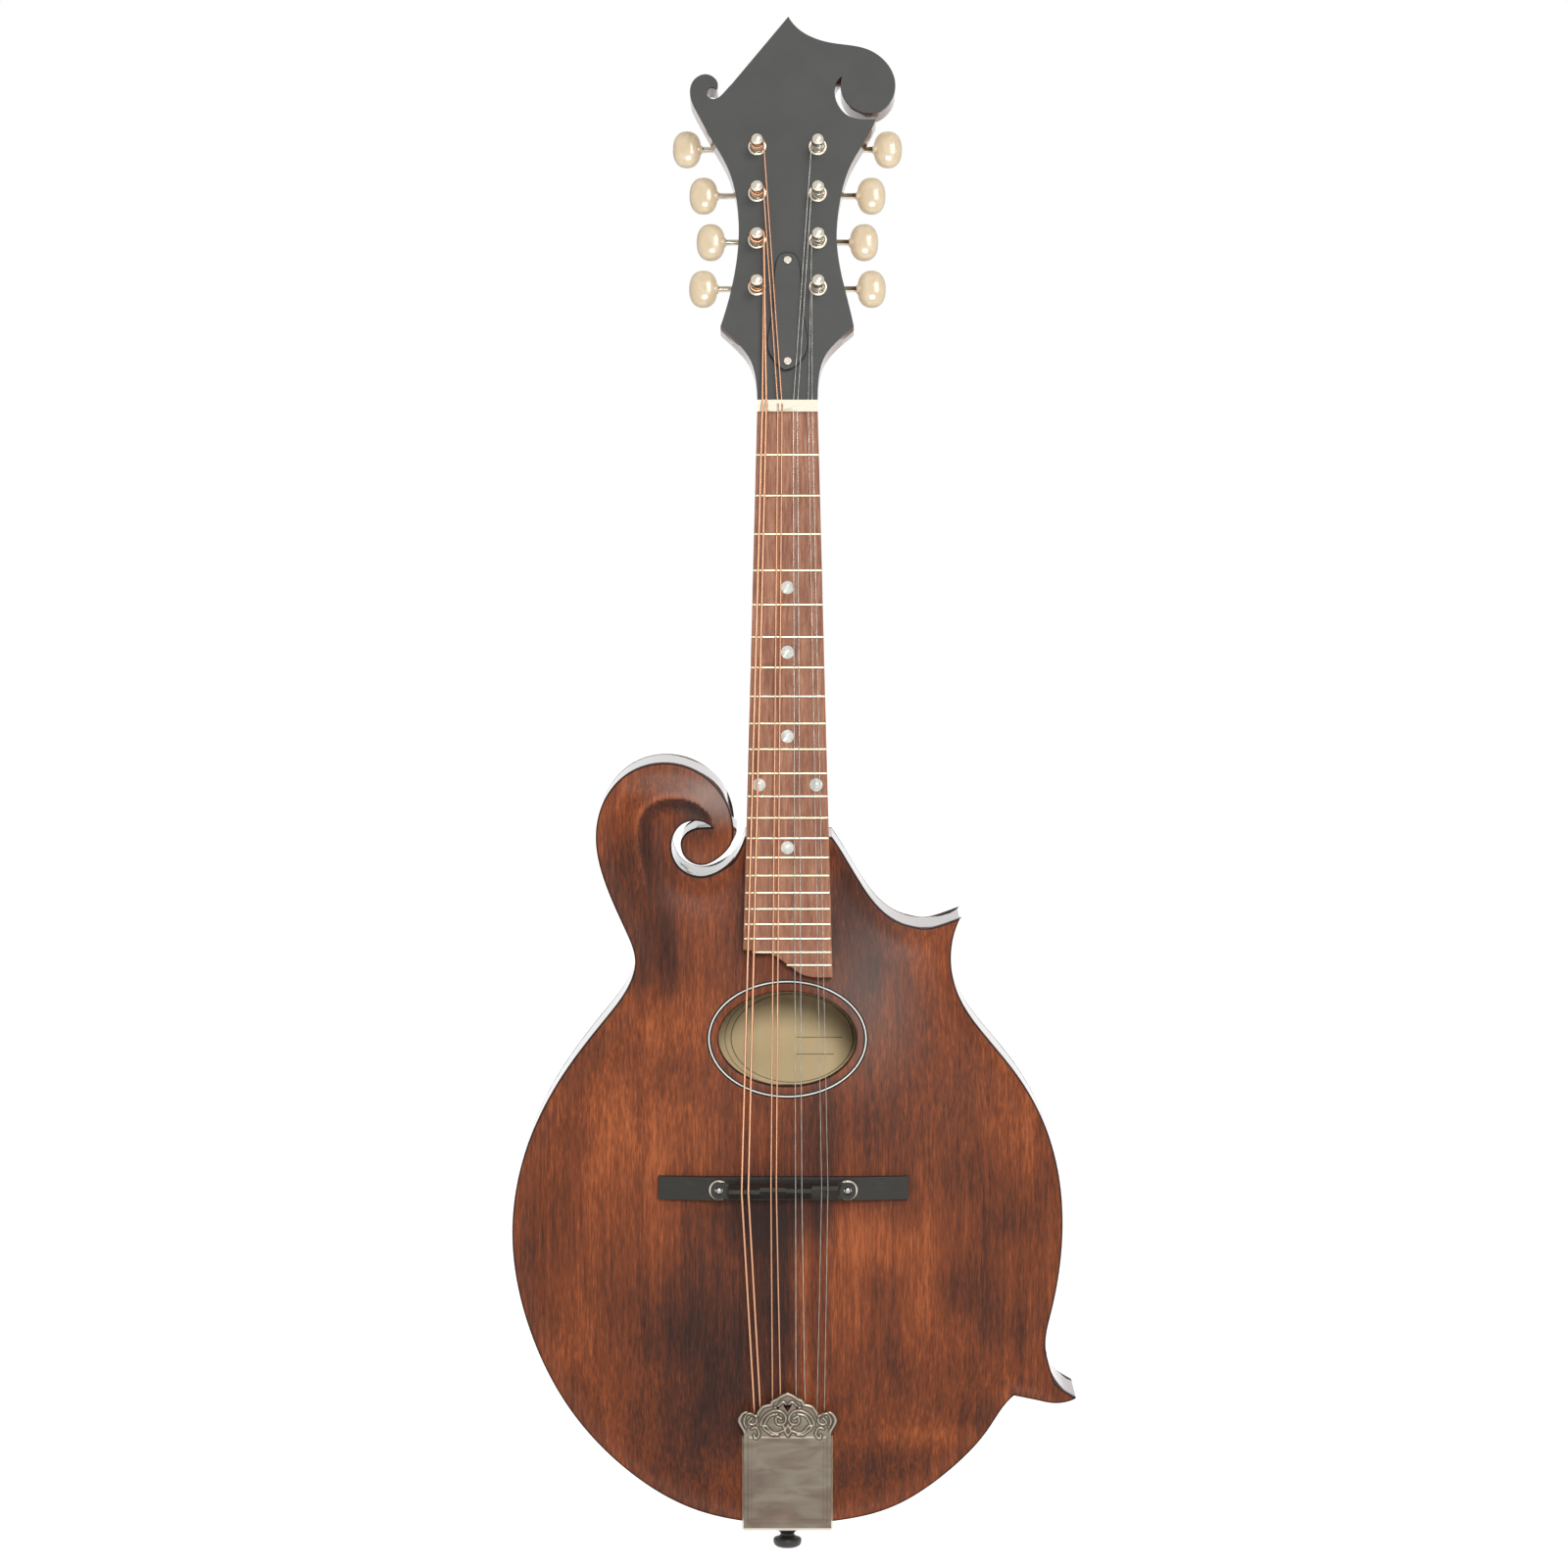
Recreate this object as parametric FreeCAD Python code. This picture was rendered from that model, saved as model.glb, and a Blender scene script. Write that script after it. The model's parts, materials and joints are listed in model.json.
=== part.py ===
import FreeCAD, Part
import math
import os

os.makedirs("parts", exist_ok=True)

V = FreeCAD.Vector
Placement = FreeCAD.Placement
Rotation = FreeCAD.Rotation

# Driving sizes, in millimetres and degrees. X is to the right as the player's
# audience sees it, Y points away from the audience, Z points from tail to head.
# The origin is the centre of the end pin's outer face.
SCALE_LENGTH = 352.4
SADDLE_SETBACK = 4.0
BODY_LENGTH = 354.1
BODY_HALF_WIDTH = 127.1
RIB_DEPTH = 42.0
NECK_TILT = 5.0
HEAD_TILT = 14.0
NUT_TO_JOINT = 195.75
NUT_HALF_WIDTH = 13.9
BOARD_END_HALF_WIDTH = 20.65
HEAD_LENGTH = 186.8
HEAD_HALF_WIDTH = 50.1
FRET_COUNT = 22
STUD_HALF_SPACING = 29.5
STRING_HEIGHT_AT_SADDLE = 52.5

# Body plates and sides.
EDGE_THICKNESS = 5.0
TOP_RISE = 11.0
BACK_RISE = 9.2
RISE_REACH = 46.0
RECURVE_DIP = 1.2
RECURVE_REACH = 8.0
TOP_THICKNESS = 4.4
BACK_THICKNESS = 4.2
HOLLOW_INSET = 9.0
HOLLOW_COVE = 14.0
HOLLOW_SINK = 3.0
HOLLOW_TOP_SHARE = 0.78
RIDGE_RISE = 4.6
RIDGE_OUTER_REACH = 11.0
RIDGE_INNER_REACH = 5.0
RIB_THICKNESS = 2.3
LINING_WIDTH = 4.5
LINING_DEPTH = 6.5
NECK_TAPER_SHARE = 0.55
BACK_TAPER_SHARE = 0.35
TAPER_START_SHARE = 0.48
SCROLL_GRID_SHARES = (-0.74, -0.12, 0.78, 1.01)
RIDGE_FADE_SHARES = (7.0, 0.25, 1.9)
NECK_JOINT_SHARE = 0.9031
SURFACE_STEP = 9.0
SCROLL_STEP = 4.0
SURFACE_MARGIN = 12.0
EDGE_SAMPLE_STEP = 3.0

# Sound hole and its ring, label and brace.
HOLE_HALF_WIDTH = 31.7
HOLE_HALF_HEIGHT = 21.6
RING_HALF_WIDTH = 37.1
RING_HALF_HEIGHT = 27.3
RING_WIDTH = 2.0
RING_DEPTH = 1.3
HOLE_CENTRE_SHARE = 0.642
LABEL_HALF_WIDTH = 42.0
LABEL_HALF_HEIGHT = 29.0
LABEL_THICKNESS = 0.3
GLUE_LINE = 0.3
BRACE_HALF_LENGTH = 84.0
BRACE_WIDTH = 7.0
BRACE_HEIGHT = 9.0
BRACE_SHARE = 0.55

# Blocks inside the body.
TAIL_BLOCK_HALF_WIDTH = 28.0
TAIL_BLOCK_HEIGHT = 20.0
POINT_BLOCK_RADIUS = 25.0
TENON_HALF_WIDTH = 9.0
TENON_LENGTH = 16.0

# Fingerboard, frets, dots and nut.
BOARD_THICKNESS = 5.0
BOARD_LENGTH = 259.1
BOARD_END_DROP = 12.6
RISER_HEIGHT = 1.6
RISER_LENGTH = 44.0
FRET_WIDTH = 1.3
FRET_HEIGHT = 1.0
TANG_WIDTH = 0.5
TANG_DEPTH = 1.6
DOT_RADIUS = 3.0
DOT_DEPTH = 1.2
TWIN_DOT_OFFSET = 13.1
NUT_LENGTH = 5.4
NUT_PROUD = 1.9
NUT_STRING_GAP = 0.3

# Neck and head.
SHAFT_DEPTH_AT_NUT = 12.5
SHAFT_DEPTH_AT_JOINT = 15.5
HEEL_HALF_WIDTH = 11.5
HEEL_LENGTH = 13.0
HEEL_TOP_LENGTH = 30.0
BUTTON_LENGTH = 7.0
HEAD_THICKNESS = 14.5
HEAD_PLATE_THICKNESS = 1.8
HEAD_DROP = 2.0
ROD_RADIUS = 2.4
ROD_DEPTH = 8.5
ROD_NUT_RADIUS = 3.2
ROD_NUT_LENGTH = 6.5
ROD_NUT_START = 23.5
POCKET_HALF_WIDTH = 4.4
POCKET_MARGIN = 1.2
COVER_PLATE_BOTTOM = 14.1
COVER_PLATE_LENGTH = 56.8
COVER_PLATE_HALF_WIDTH = 9.0
COVER_PLATE_THICKNESS = 1.8
COVER_SCREW_MARGIN = 4.0
COVER_SCREW_HEAD_RADIUS = 1.8
COVER_SCREW_HEAD_HEIGHT = 0.9
COVER_SCREW_RADIUS = 0.9
COVER_SCREW_LENGTH = 3.5

# Tuners. Places along the head are measured from the nut's back.
FIRST_POST = 54.4
POST_SPACING = 22.75
POST_OFFSET = 14.0
POST_RADIUS = 2.9
POST_WAIST_RADIUS = 2.4
POST_CAP_HEIGHT = 2.2
POST_PROUD = 12.4
POST_COLLAR_HEIGHT = 1.4
RUNNING_GAP = 0.05
SEAT_GAP = 0.02
BUSHING_FLANGE_RADIUS = 4.45
BUSHING_FLANGE_HEIGHT = 1.2
BUSHING_SLEEVE_RADIUS = 3.9
BUSHING_SLEEVE_LENGTH = 7.0
POST_HOLE_CLEARANCE = 0.3
PLATE_HALF_WIDTH = 6.0
PLATE_BELOW = 13.0
PLATE_ABOVE = 16.0
PLATE_SCREW_SHARE = 0.58
PLATE_THICKNESS = 1.2
GEAR_TEETH = 16
GEAR_PITCH_RADIUS = 3.6
WORM_PITCH_RADIUS = 1.8
TOOTH_HEIGHT = 0.4
GEAR_ROOT_DEPTH = 0.55
WORM_CORE_DEPTH = 0.55
WORM_CREST_HEIGHT = 0.35
THREAD_ROOT_WIDTH = 0.52
THREAD_CREST_WIDTH = 0.26
TOOTH_ROOT_WIDTH = 0.6
TOOTH_CREST_WIDTH = 0.3
GEAR_THICKNESS = 2.4
GEAR_STANDOFF = 3.6
GEAR_SEAT_RADIUS = 1.7
GEAR_SCREW_HEAD_RADIUS = 2.3
GEAR_SCREW_HEAD_HEIGHT = 1.1
GEAR_SCREW_RADIUS = 0.9
GEAR_SCREW_LENGTH = 5.0
THREAD_HALF_LENGTH = 2.4
THREAD_LOOPS = 6
EAR_START = 2.9
EAR_THICKNESS = 1.2
EAR_HALF_WIDTH = 2.3
SHAFT_RADIUS = 1.5
SHAFT_INNER_OVERRUN = 0.6
BUTTON_HALF_WIDTH = 6.3
BUTTON_HALF_HEIGHT = 8.4
BUTTON_HALF_THICKNESS = 3.7
BUTTON_COLLAR_RADIUS = 2.3
BUTTON_COLLAR_LENGTH = 2.6
BUTTON_GRIP = 7.0
BUTTON_OFFSETS = (38.2, 34.8, 38.2, 46.0)
PLATE_SCREW_HEAD_RADIUS = 1.7
PLATE_SCREW_HEAD_HEIGHT = 0.7
PLATE_SCREW_RADIUS = 0.8
PLATE_SCREW_LENGTH = 7.0

# Bridge.
BRIDGE_OFFSET = -1.9
BRIDGE_SADDLE_LEAD = 1.2
BASE_HALF_LENGTH = 57.6
BASE_WIDTH = 10.7
BASE_HEIGHT = 4.9
BASE_FLAT_HALF_LENGTH = 35.0
BASE_END_HEIGHT = 3.2
STUD_RADIUS = 1.45
STUD_SINK = 3.6
WHEEL_RADIUS = 4.6
WHEEL_THICKNESS = 2.0
WHEEL_LIFT = 1.8
WHEEL_SEAT_GAP = 0.05
SADDLE_WIDTH = 7.2
SADDLE_END_RADIUS = 3.9
SADDLE_END_HEIGHT = 3.4
SADDLE_SHOULDER_HEIGHT = 2.6
SADDLE_CREST_WIDTH = 1.8
SADDLE_CREST_STEP = 0.9
SADDLE_CREST_HALF_LENGTH = 25.0
STUD_RECESS = 0.6
STUD_HOLE_GAP = 0.4

# Tailpiece and end pin.
PIN_PROUD = 15.8
PIN_LAND_RADIUS = 6.6
PIN_FACE_RADIUS = 4.6
PIN_LAND_START = 2.4
PIN_LAND_LENGTH = 1.6
PIN_NECK_RADIUS = 3.0
PIN_NECK_AT = 6.0
PIN_COLLAR_RADIUS = 5.15
PIN_COLLAR_AT = 8.4
PIN_SHANK_RADIUS = 2.5
PIN_SHANK_LENGTH = 21.0
TAILPIECE_HALF_WIDTH = 21.15
TAILPIECE_LENGTH = 66.6
SHEET = 0.8
BASE_PLATE_THICKNESS = 1.2
BASE_PLATE_HALF_WIDTH = 19.0
BASE_PLATE_HEIGHT = 20.0
BASE_PLATE_STANDOFF = 2.2
END_PLATE_DEPTH = 14.0
END_PLATE_HALF_WIDTH = 17.0
COMB_HALF_WIDTH = 18.4
COMB_THICKNESS = 1.2
COMB_HEIGHT = 3.0
COMB_AT = 16.0
STRING_TAIL = 2.5
COVER_STANDOFF = 8.2
COVER_TILT = 4.4
COVER_GAP = 0.3
COVER_SIDE_LENGTH = 43.0
COVER_PANEL_HALF_WIDTH = 18.1
COVER_PANEL_MARGIN = 2.6
COVER_PANEL_HEIGHT = 0.4
TAIL_SCREW_RADIUS = 1.4
TAIL_SCREW_HEAD_RADIUS = 2.8
TAIL_SCREW_HEAD_HEIGHT = 1.3
TAIL_SCREW_LENGTH = 14.0
TAIL_SCREW_HALF_SPACING = 13.0
TAIL_SCREW_DEPTH = 8.0
MIDDLE_SCREW_DEPTH = 10.4
COVER_OPENING_LENGTH = 3.6
COVER_OPENING_HALF_WIDTH = 2.3

# Strings: radius of each of the eight, from bass to treble, and the turns that
# each makes on its post.
STRING_RADII = (0.5, 0.5, 0.33, 0.33, 0.19, 0.19, 0.14, 0.14)
STRING_TURNS = (1.5, 2.5, 3.0, 3.0, 3.0, 3.0, 3.5, 3.5)
STRING_POSTS = (0, 1, 2, 3, 3, 2, 1, 0)
TURN_GAP = 0.5
TURN_STARTS = (5.0, 8.4, 7.8, 7.8, 7.8, 7.8, 8.0, 6.4)
STRING_CLEARANCE = 0.2
POST_STRING_GAP = 0.2
NUT_BEND_RADIUS = 4.0
SADDLE_BEND_RADIUS = 6.0
OVERRUN = 30.0
OVAL_STEPS = 8

# Outlines as shares, chosen by hand. Body points are shares of the half width
# and the length, measured from the tail, and run clockwise as seen in front.
BASS_SHARES = (
    (0.0, 0.0), (-0.17, 0.0046), (-0.343, 0.0201), (-0.585, 0.072), (-0.788, 0.15), (-0.934, 0.2536),
    (-1.0, 0.3827), (-0.957, 0.4857), (-0.821, 0.5888), (-0.66, 0.6659), (-0.566, 0.717),
    (-0.552, 0.7402), (-0.584, 0.7794), (-0.66, 0.8435), (-0.693, 0.9006), (-0.666, 0.9486),
    (-0.571, 0.9876), (-0.431, 1.0), (-0.323, 0.9887), (-0.222, 0.9511), (-0.196, 0.9167),
    (-0.208, 0.8916),
)
SCROLL_EYE_SHARES = (
    (-0.208, 0.8916), (-0.266, 0.8721), (-0.311, 0.8667), (-0.378, 0.8811), (-0.378, 0.9031),
    (-0.33, 0.9144), (-0.272, 0.9158),
)
SLOT_SHARES = (
    (-0.272, 0.9158), (-0.317, 0.9243), (-0.381, 0.9201), (-0.419, 0.8961), (-0.393, 0.8642),
    (-0.311, 0.8515), (-0.222, 0.8642), (-0.161, 0.8961), (-0.154, NECK_JOINT_SHARE),
)
CUTAWAY_SHARES = (
    (0.161, NECK_JOINT_SHARE), (0.223, 0.8681), (0.266, 0.8424), (0.347, 0.8057),
    (0.411, 0.791), (0.47, 0.7854), (0.524, 0.7854), (0.624, 0.7967),
)
WAIST_SHARES = (
    (0.624, 0.7967), (0.597, 0.7665), (0.592, 0.7453), (0.62, 0.6964), (0.725, 0.6402),
    (0.839, 0.5888), (0.921, 0.5374), (0.971, 0.4857), (1.0, 0.3948), (0.959, 0.2793),
    (0.94, 0.2321), (0.96, 0.2008), (1.011, 0.1754), (1.051, 0.1666),
)
POINT_SHARES = ((1.051, 0.1666), (0.97, 0.1601), (0.9, 0.1647), (0.826, 0.1706))
TREBLE_SHARES = (
    (0.826, 0.1706), (0.733, 0.1265), (0.592, 0.072), (0.364, 0.0201), (0.18, 0.0046),
    (0.0, 0.0),
)
RIDGE_SHARES = (
    (-0.272, 0.9235), (-0.297, 0.9396), (-0.355, 0.952), (-0.406, 0.9548), (-0.47, 0.9511),
    (-0.52, 0.9373), (-0.54, 0.9189), (-0.537, 0.8961), (-0.527, 0.8757), (-0.507, 0.8435),
    (-0.476, 0.8071),
)
HEAD_BLOCK_SHARES = (
    (-0.8, 0.83), (-0.45, 0.8), (0.0, 0.82), (0.2, 0.815), (0.34, 0.835), (0.34, 1.1),
    (-0.8, 1.1),
)
UPPER_POINT_SHARES = (0.66, 0.79)
LOWER_POINT_SHARES = (1.02, 0.165)

# Head points are shares of its half width and its length from the nut's back.
HEAD_TREBLE_LOWER_SHARES = ((0.277, 0.0), (0.283, 0.0493), (0.343, 0.1151), (0.501, 0.1654),
                            (0.609, 0.1906))
HEAD_TREBLE_SIDE_SHARES = (
    (0.609, 0.1906), (0.559, 0.2521), (0.503, 0.3164), (0.453, 0.4309), (0.475, 0.5),
    (0.575, 0.606), (0.75, 0.6916), (0.818, 0.7297),
)
HEAD_TREBLE_SLOT_SHARES = (
    (0.818, 0.7297), (0.679, 0.7297), (0.563, 0.7388), (0.491, 0.7575), (0.437, 0.7998),
    (0.455, 0.8271), (0.509, 0.8426),
)
HEAD_TREBLE_CURL_SHARES = (
    (0.509, 0.8426), (0.495, 0.8105), (0.577, 0.7655), (0.679, 0.7489), (0.78, 0.7457),
    (0.946, 0.7741), (1.0, 0.818), (0.954, 0.864), (0.752, 0.9127), (0.405, 0.9309),
    (0.188, 0.9513), (0.008, 1.0),
)
HEAD_BASS_GAP_SHARES = (
    (-0.519, 0.8212), (-0.615, 0.7923), (-0.681, 0.7827), (-0.743, 0.7918), (-0.737, 0.8089),
    (-0.657, 0.8094),
)
HEAD_BASS_CURL_SHARES = (
    (-0.657, 0.8094), (-0.645, 0.8228), (-0.681, 0.8394), (-0.758, 0.848), (-0.87, 0.8319),
    (-0.902, 0.7944), (-0.838, 0.7489), (-0.693, 0.6756), (-0.547, 0.6012), (-0.467, 0.5155),
    (-0.449, 0.4277), (-0.487, 0.3271), (-0.573, 0.227), (-0.615, 0.1906),
)
HEAD_BASS_LOWER_SHARES = ((-0.615, 0.1906), (-0.499, 0.1606), (-0.341, 0.106),
                          (-0.287, 0.0493), (-0.277, 0.0))

# The fingerboard's end, in shares of its half width and of the end's drop.
BOARD_END_SHARES = (
    (-0.66, 0.05), (-0.31, 0.18), (-0.135, 0.38), (0.08, 0.63), (0.3, 0.88), (0.55, 0.99),
    (1.0, 1.0),
)
# The rod cover, one side, in shares of its half width and length from the bottom.
ROD_COVER_SHARES = ((0.0, 0.0), (0.62, 0.06), (1.0, 0.17), (0.86, 0.42), (0.7, 0.7),
                    (0.62, 0.9), (0.36, 0.985), (0.0, 1.0))
# The tailpiece cover's lobed end, one side, in shares of its half width and length.
LOBE_SHARES = (
    ((0.956, 0.6786), (1.046, 0.7356), (1.085, 0.7722), (1.033, 0.8129), (0.854, 0.8349),
     (0.687, 0.8154)),
    ((0.687, 0.8154), (0.61, 0.8577), (0.5, 0.8830), (0.379, 0.8919)),
    ((0.379, 0.8919), (0.33, 0.918), (0.264, 0.9269), (0.123, 0.9554), (0.0, 0.9733)),
)
# String places across the nut, the saddle and the hooks, as shares of the nut's
# half width, of the stud spacing's half and of the tailpiece's half width.
CREST_SHIFT_SHARES = (-1.0, -1.0, 0.2, 0.2, -0.4, -0.4, 1.0, 1.0)
COVER_OPENING_SHARES = ((0.0, 0.858, 1.0), (-0.208, 0.862, 0.42), (0.208, 0.862, 0.42))
NUT_STRING_SHARES = (-0.827, -0.698, -0.317, -0.18, 0.187, 0.324, 0.683, 0.813)
SADDLE_STRING_SHARES = (-0.646, -0.543, -0.192, -0.109, 0.19, 0.287, 0.595, 0.692)
HOOK_STRING_SHARES = (-0.62, -0.49, -0.31, -0.11, 0.19, 0.41, 0.61, 0.78)

GLUE_PLANE = RIB_DEPTH / 2
TAIL_Z = PIN_PROUD
JOINT_Z = TAIL_Z + NECK_JOINT_SHARE * BODY_LENGTH
BOARD_FACE_AT_JOINT = -(GLUE_PLANE + EDGE_THICKNESS + RISER_HEIGHT + BOARD_THICKNESS)
TILT = math.radians(NECK_TILT)
NUT_Y = BOARD_FACE_AT_JOINT + NUT_TO_JOINT * math.sin(TILT)
NUT_Z = JOINT_Z + NUT_TO_JOINT * math.cos(TILT)
NECK_FRAME = Placement(V(0, NUT_Y, NUT_Z), Rotation(V(1, 0, 0), -NECK_TILT))
HEAD_FRAME = Placement(NECK_FRAME.multVec(V(0, HEAD_DROP, NUT_LENGTH)),
                       Rotation(V(1, 0, 0), -NECK_TILT - HEAD_TILT))
STRING_DROP = STRING_HEIGHT_AT_SADDLE + NUT_Y
SADDLE_Z = NUT_Z - math.sqrt((SCALE_LENGTH + SADDLE_SETBACK) ** 2 - STRING_DROP ** 2)
BRIDGE_Z = SADDLE_Z - BRIDGE_SADDLE_LEAD
HOLE_Z = TAIL_Z + HOLE_CENTRE_SHARE * BODY_LENGTH


def placed(shape, frame):
    """A copy of the shape, carried into a tilted frame."""
    moved = shape.copy()
    moved.Placement = frame.multiply(moved.Placement)
    return moved


def joined(shapes):
    """One shape made of overlapping or touching solids."""
    whole = shapes[0].multiFuse(shapes[1:])
    return whole.removeSplitter()


def group(shapes):
    """Separate solids kept together as one compound."""
    solids = []
    for shape in shapes:
        solids.extend(shape.Solids)
    return Part.makeCompound(solids)


def box(x_low, x_high, y_low, y_high, z_low, z_high):
    """A block between two corners."""
    return Part.makeBox(x_high - x_low, y_high - y_low, z_high - z_low, V(x_low, y_low, z_low))


def spline_edge(points, start=None, end=None):
    """A smooth edge through points, with its end directions where they are given."""
    curve = Part.BSplineCurve()
    if start is not None and end is not None:
        curve.interpolate(Points=points, InitialTangent=start, FinalTangent=end)
    else:
        curve.interpolate(Points=points)
    return curve.toShape()


def line_edge(first, second):
    """A straight edge."""
    return Part.LineSegment(first, second).toShape()


def prism(edges, y_low, y_high):
    """The solid between two depths whose front view is the closed outline."""
    wire = Part.Wire(edges)
    wire.translate(V(0, y_low, 0))
    return Part.Face(wire).extrude(V(0, y_high - y_low, 0))


def body_points(shares):
    """Body points in the front view, from shares of its half width and length."""
    return [V(x * BODY_HALF_WIDTH, 0, TAIL_Z + z * BODY_LENGTH) for x, z in shares]


def head_points(shares):
    """Head points in the head's own frame, from shares of its half width and length."""
    return [V(x * HEAD_HALF_WIDTH, 0, z * HEAD_LENGTH) for x, z in shares]


SCROLL_TURN = V(-1, 0, -1.6)
BODY_EDGES = {
    "bass": spline_edge(body_points(BASS_SHARES), V(-1, 0, 0), SCROLL_TURN),
    "eye": spline_edge(body_points(SCROLL_EYE_SHARES), SCROLL_TURN, V(1, 0, 0.1)),
    "slot": spline_edge(body_points(SLOT_SHARES)),
    "joint": line_edge(*body_points((SLOT_SHARES[-1], CUTAWAY_SHARES[0]))),
    "cutaway": spline_edge(body_points(CUTAWAY_SHARES)),
    "waist": spline_edge(body_points(WAIST_SHARES)),
    "point": spline_edge(body_points(POINT_SHARES)),
    "treble": spline_edge(body_points(TREBLE_SHARES), V(-1, 0, -0.8), V(-1, 0, 0)),
}


def body_prism(y_low, y_high):
    """The whole body outline between two depths."""
    return prism([edge.copy() for edge in BODY_EDGES.values()], y_low, y_high)


def edge_samples():
    """Points along the body's edge, each with the length of edge it stands for."""
    samples = []
    for edge in BODY_EDGES.values():
        count = max(2, int(edge.Length / EDGE_SAMPLE_STEP))
        length = edge.Length / count
        first = edge.FirstParameter
        span = edge.LastParameter - first
        for index in range(count):
            point = edge.valueAt(first + span * (index + 0.5) / count)
            samples.append((point.x, point.z, length))
    return samples


def ridge_samples():
    """Points along the crest carved round the scroll, each with its share of the way."""
    edge = spline_edge(body_points(RIDGE_SHARES))
    count = 4 * len(RIDGE_SHARES)
    first = edge.FirstParameter
    span = edge.LastParameter - first
    points = []
    for index in range(count + 1):
        at = first + span * index / count
        points.append((edge.valueAt(at), edge.tangentAt(at), index / count))
    return points


EDGE_SAMPLES = edge_samples()
RIDGE_SAMPLES = ridge_samples()


def inset(x, z):
    """How far a place is from the edge, smoothed: two over the sum of length by cubed distance."""
    total = 0.0
    for sample_x, sample_z, length in EDGE_SAMPLES:
        reach = math.hypot(x - sample_x, z - sample_z) / EDGE_SAMPLE_STEP
        total += length / EDGE_SAMPLE_STEP / max(reach, 0.05) ** 3
    return EDGE_SAMPLE_STEP * math.sqrt(2 / total)


def smooth_step(share):
    """Zero to one with level ends."""
    held = min(1.0, max(0.0, share))
    return held * held * (3 - 2 * held)


def ridge_height(x, z):
    """Height of the crest round the scroll: a bell across it, steeper towards the eye."""
    nearest = min(RIDGE_SAMPLES, key=lambda sample: math.hypot(x - sample[0].x, z - sample[0].z))
    point, tangent, share = nearest
    gap = math.hypot(x - point.x, z - point.z)
    side = tangent.x * (z - point.z) - tangent.z * (x - point.x)
    reach = RIDGE_INNER_REACH if side > 0 else RIDGE_OUTER_REACH
    fade = smooth_step(share * RIDGE_FADE_SHARES[0] + RIDGE_FADE_SHARES[1])
    fade *= smooth_step((1 - share) * RIDGE_FADE_SHARES[2])
    return RIDGE_RISE * fade * math.exp(-(gap / reach) ** 2)


def arch_height(x, z, rise, taper_share):
    """Height of a carved plate over its glue plane.

    The plate keeps its edge thickness, dips to a recurve and climbs as one minus a
    bell curve of the inset. The climb fades towards the neck, and the scroll's
    crest is added on top.
    """
    gap = inset(x, z)
    start = TAIL_Z + TAPER_START_SHARE * BODY_LENGTH
    fade = 1 - taper_share * smooth_step((z - start) / (JOINT_Z - start))
    climb = rise * fade * (1 - math.exp(-(gap / RISE_REACH) ** 2))
    dip = RECURVE_DIP * (gap / RECURVE_REACH) ** 2 * math.exp(1 - (gap / RECURVE_REACH) ** 2)
    return EDGE_THICKNESS + climb - dip + ridge_height(x, z)


def steps(low, high, dense_low, dense_high):
    """Places from low to high, closer together between the two dense limits."""
    places = [low]
    while places[-1] < high:
        dense = dense_low <= places[-1] < dense_high
        places.append(places[-1] + (SCROLL_STEP if dense else SURFACE_STEP))
    return places


def hollow_height(x, z, height, thickness):
    """Height of the hollow inside a plate, which sinks past the glue plane near the edge."""
    inward = smooth_step((inset(x, z) - HOLLOW_INSET) / HOLLOW_COVE)
    inward *= smooth_step((TAIL_Z + HOLLOW_TOP_SHARE * BODY_LENGTH - z) / HOLLOW_COVE)
    return inward * (height - thickness + HOLLOW_SINK) - HOLLOW_SINK


def smooth_face(grid):
    """One smooth face through a grid of points."""
    surface = Part.BSplineSurface()
    surface.interpolate(grid)
    return surface.toShape()


def plate_faces(rise, taper_share, thickness, side):
    """A plate's carved face and its hollow's face: side is -1 for the front, 1 for the back."""
    wide = BODY_HALF_WIDTH + SURFACE_MARGIN
    left, right, low, high = SCROLL_GRID_SHARES
    columns = steps(-wide, wide + SURFACE_MARGIN, left * BODY_HALF_WIDTH,
                    right * BODY_HALF_WIDTH)
    rows = steps(TAIL_Z - SURFACE_MARGIN, TAIL_Z + BODY_LENGTH + SURFACE_MARGIN,
                 TAIL_Z + low * BODY_LENGTH, TAIL_Z + high * BODY_LENGTH)
    carved, hollow = [], []
    for x in columns:
        heights = [arch_height(x, z, rise, taper_share) for z in rows]
        inside = [hollow_height(x, z, height, thickness) for z, height in zip(rows, heights)]
        carved.append([V(x, side * (GLUE_PLANE + y), z) for y, z in zip(heights, rows)])
        hollow.append([V(x, side * (GLUE_PLANE + y), z) for y, z in zip(inside, rows)])
    return smooth_face(carved), smooth_face(hollow)


TOP_FACE, TOP_HOLLOW_FACE = plate_faces(TOP_RISE, NECK_TAPER_SHARE, TOP_THICKNESS, -1)
BACK_FACE, BACK_HOLLOW_FACE = plate_faces(BACK_RISE, BACK_TAPER_SHARE, BACK_THICKNESS, 1)


def inwards(face, offset, side):
    """Everything on the inner side of a plate's face, moved in by an offset."""
    moved = face.copy()
    moved.translate(V(0, -side * offset, 0))
    return moved.extrude(V(0, -side * (OVERRUN + RIB_DEPTH), 0))


def behind_top(offset):
    """Everything behind the soundboard's outer surface, moved in by an offset."""
    return inwards(TOP_FACE, offset, -1)


def before_back(offset):
    """Everything in front of the back's outer surface, moved in by an offset."""
    return inwards(BACK_FACE, offset, 1)


def top_y(x, z):
    """Depth of the soundboard's outer surface at a place."""
    return -(GLUE_PLANE + arch_height(x, z, TOP_RISE, NECK_TAPER_SHARE))


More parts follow.
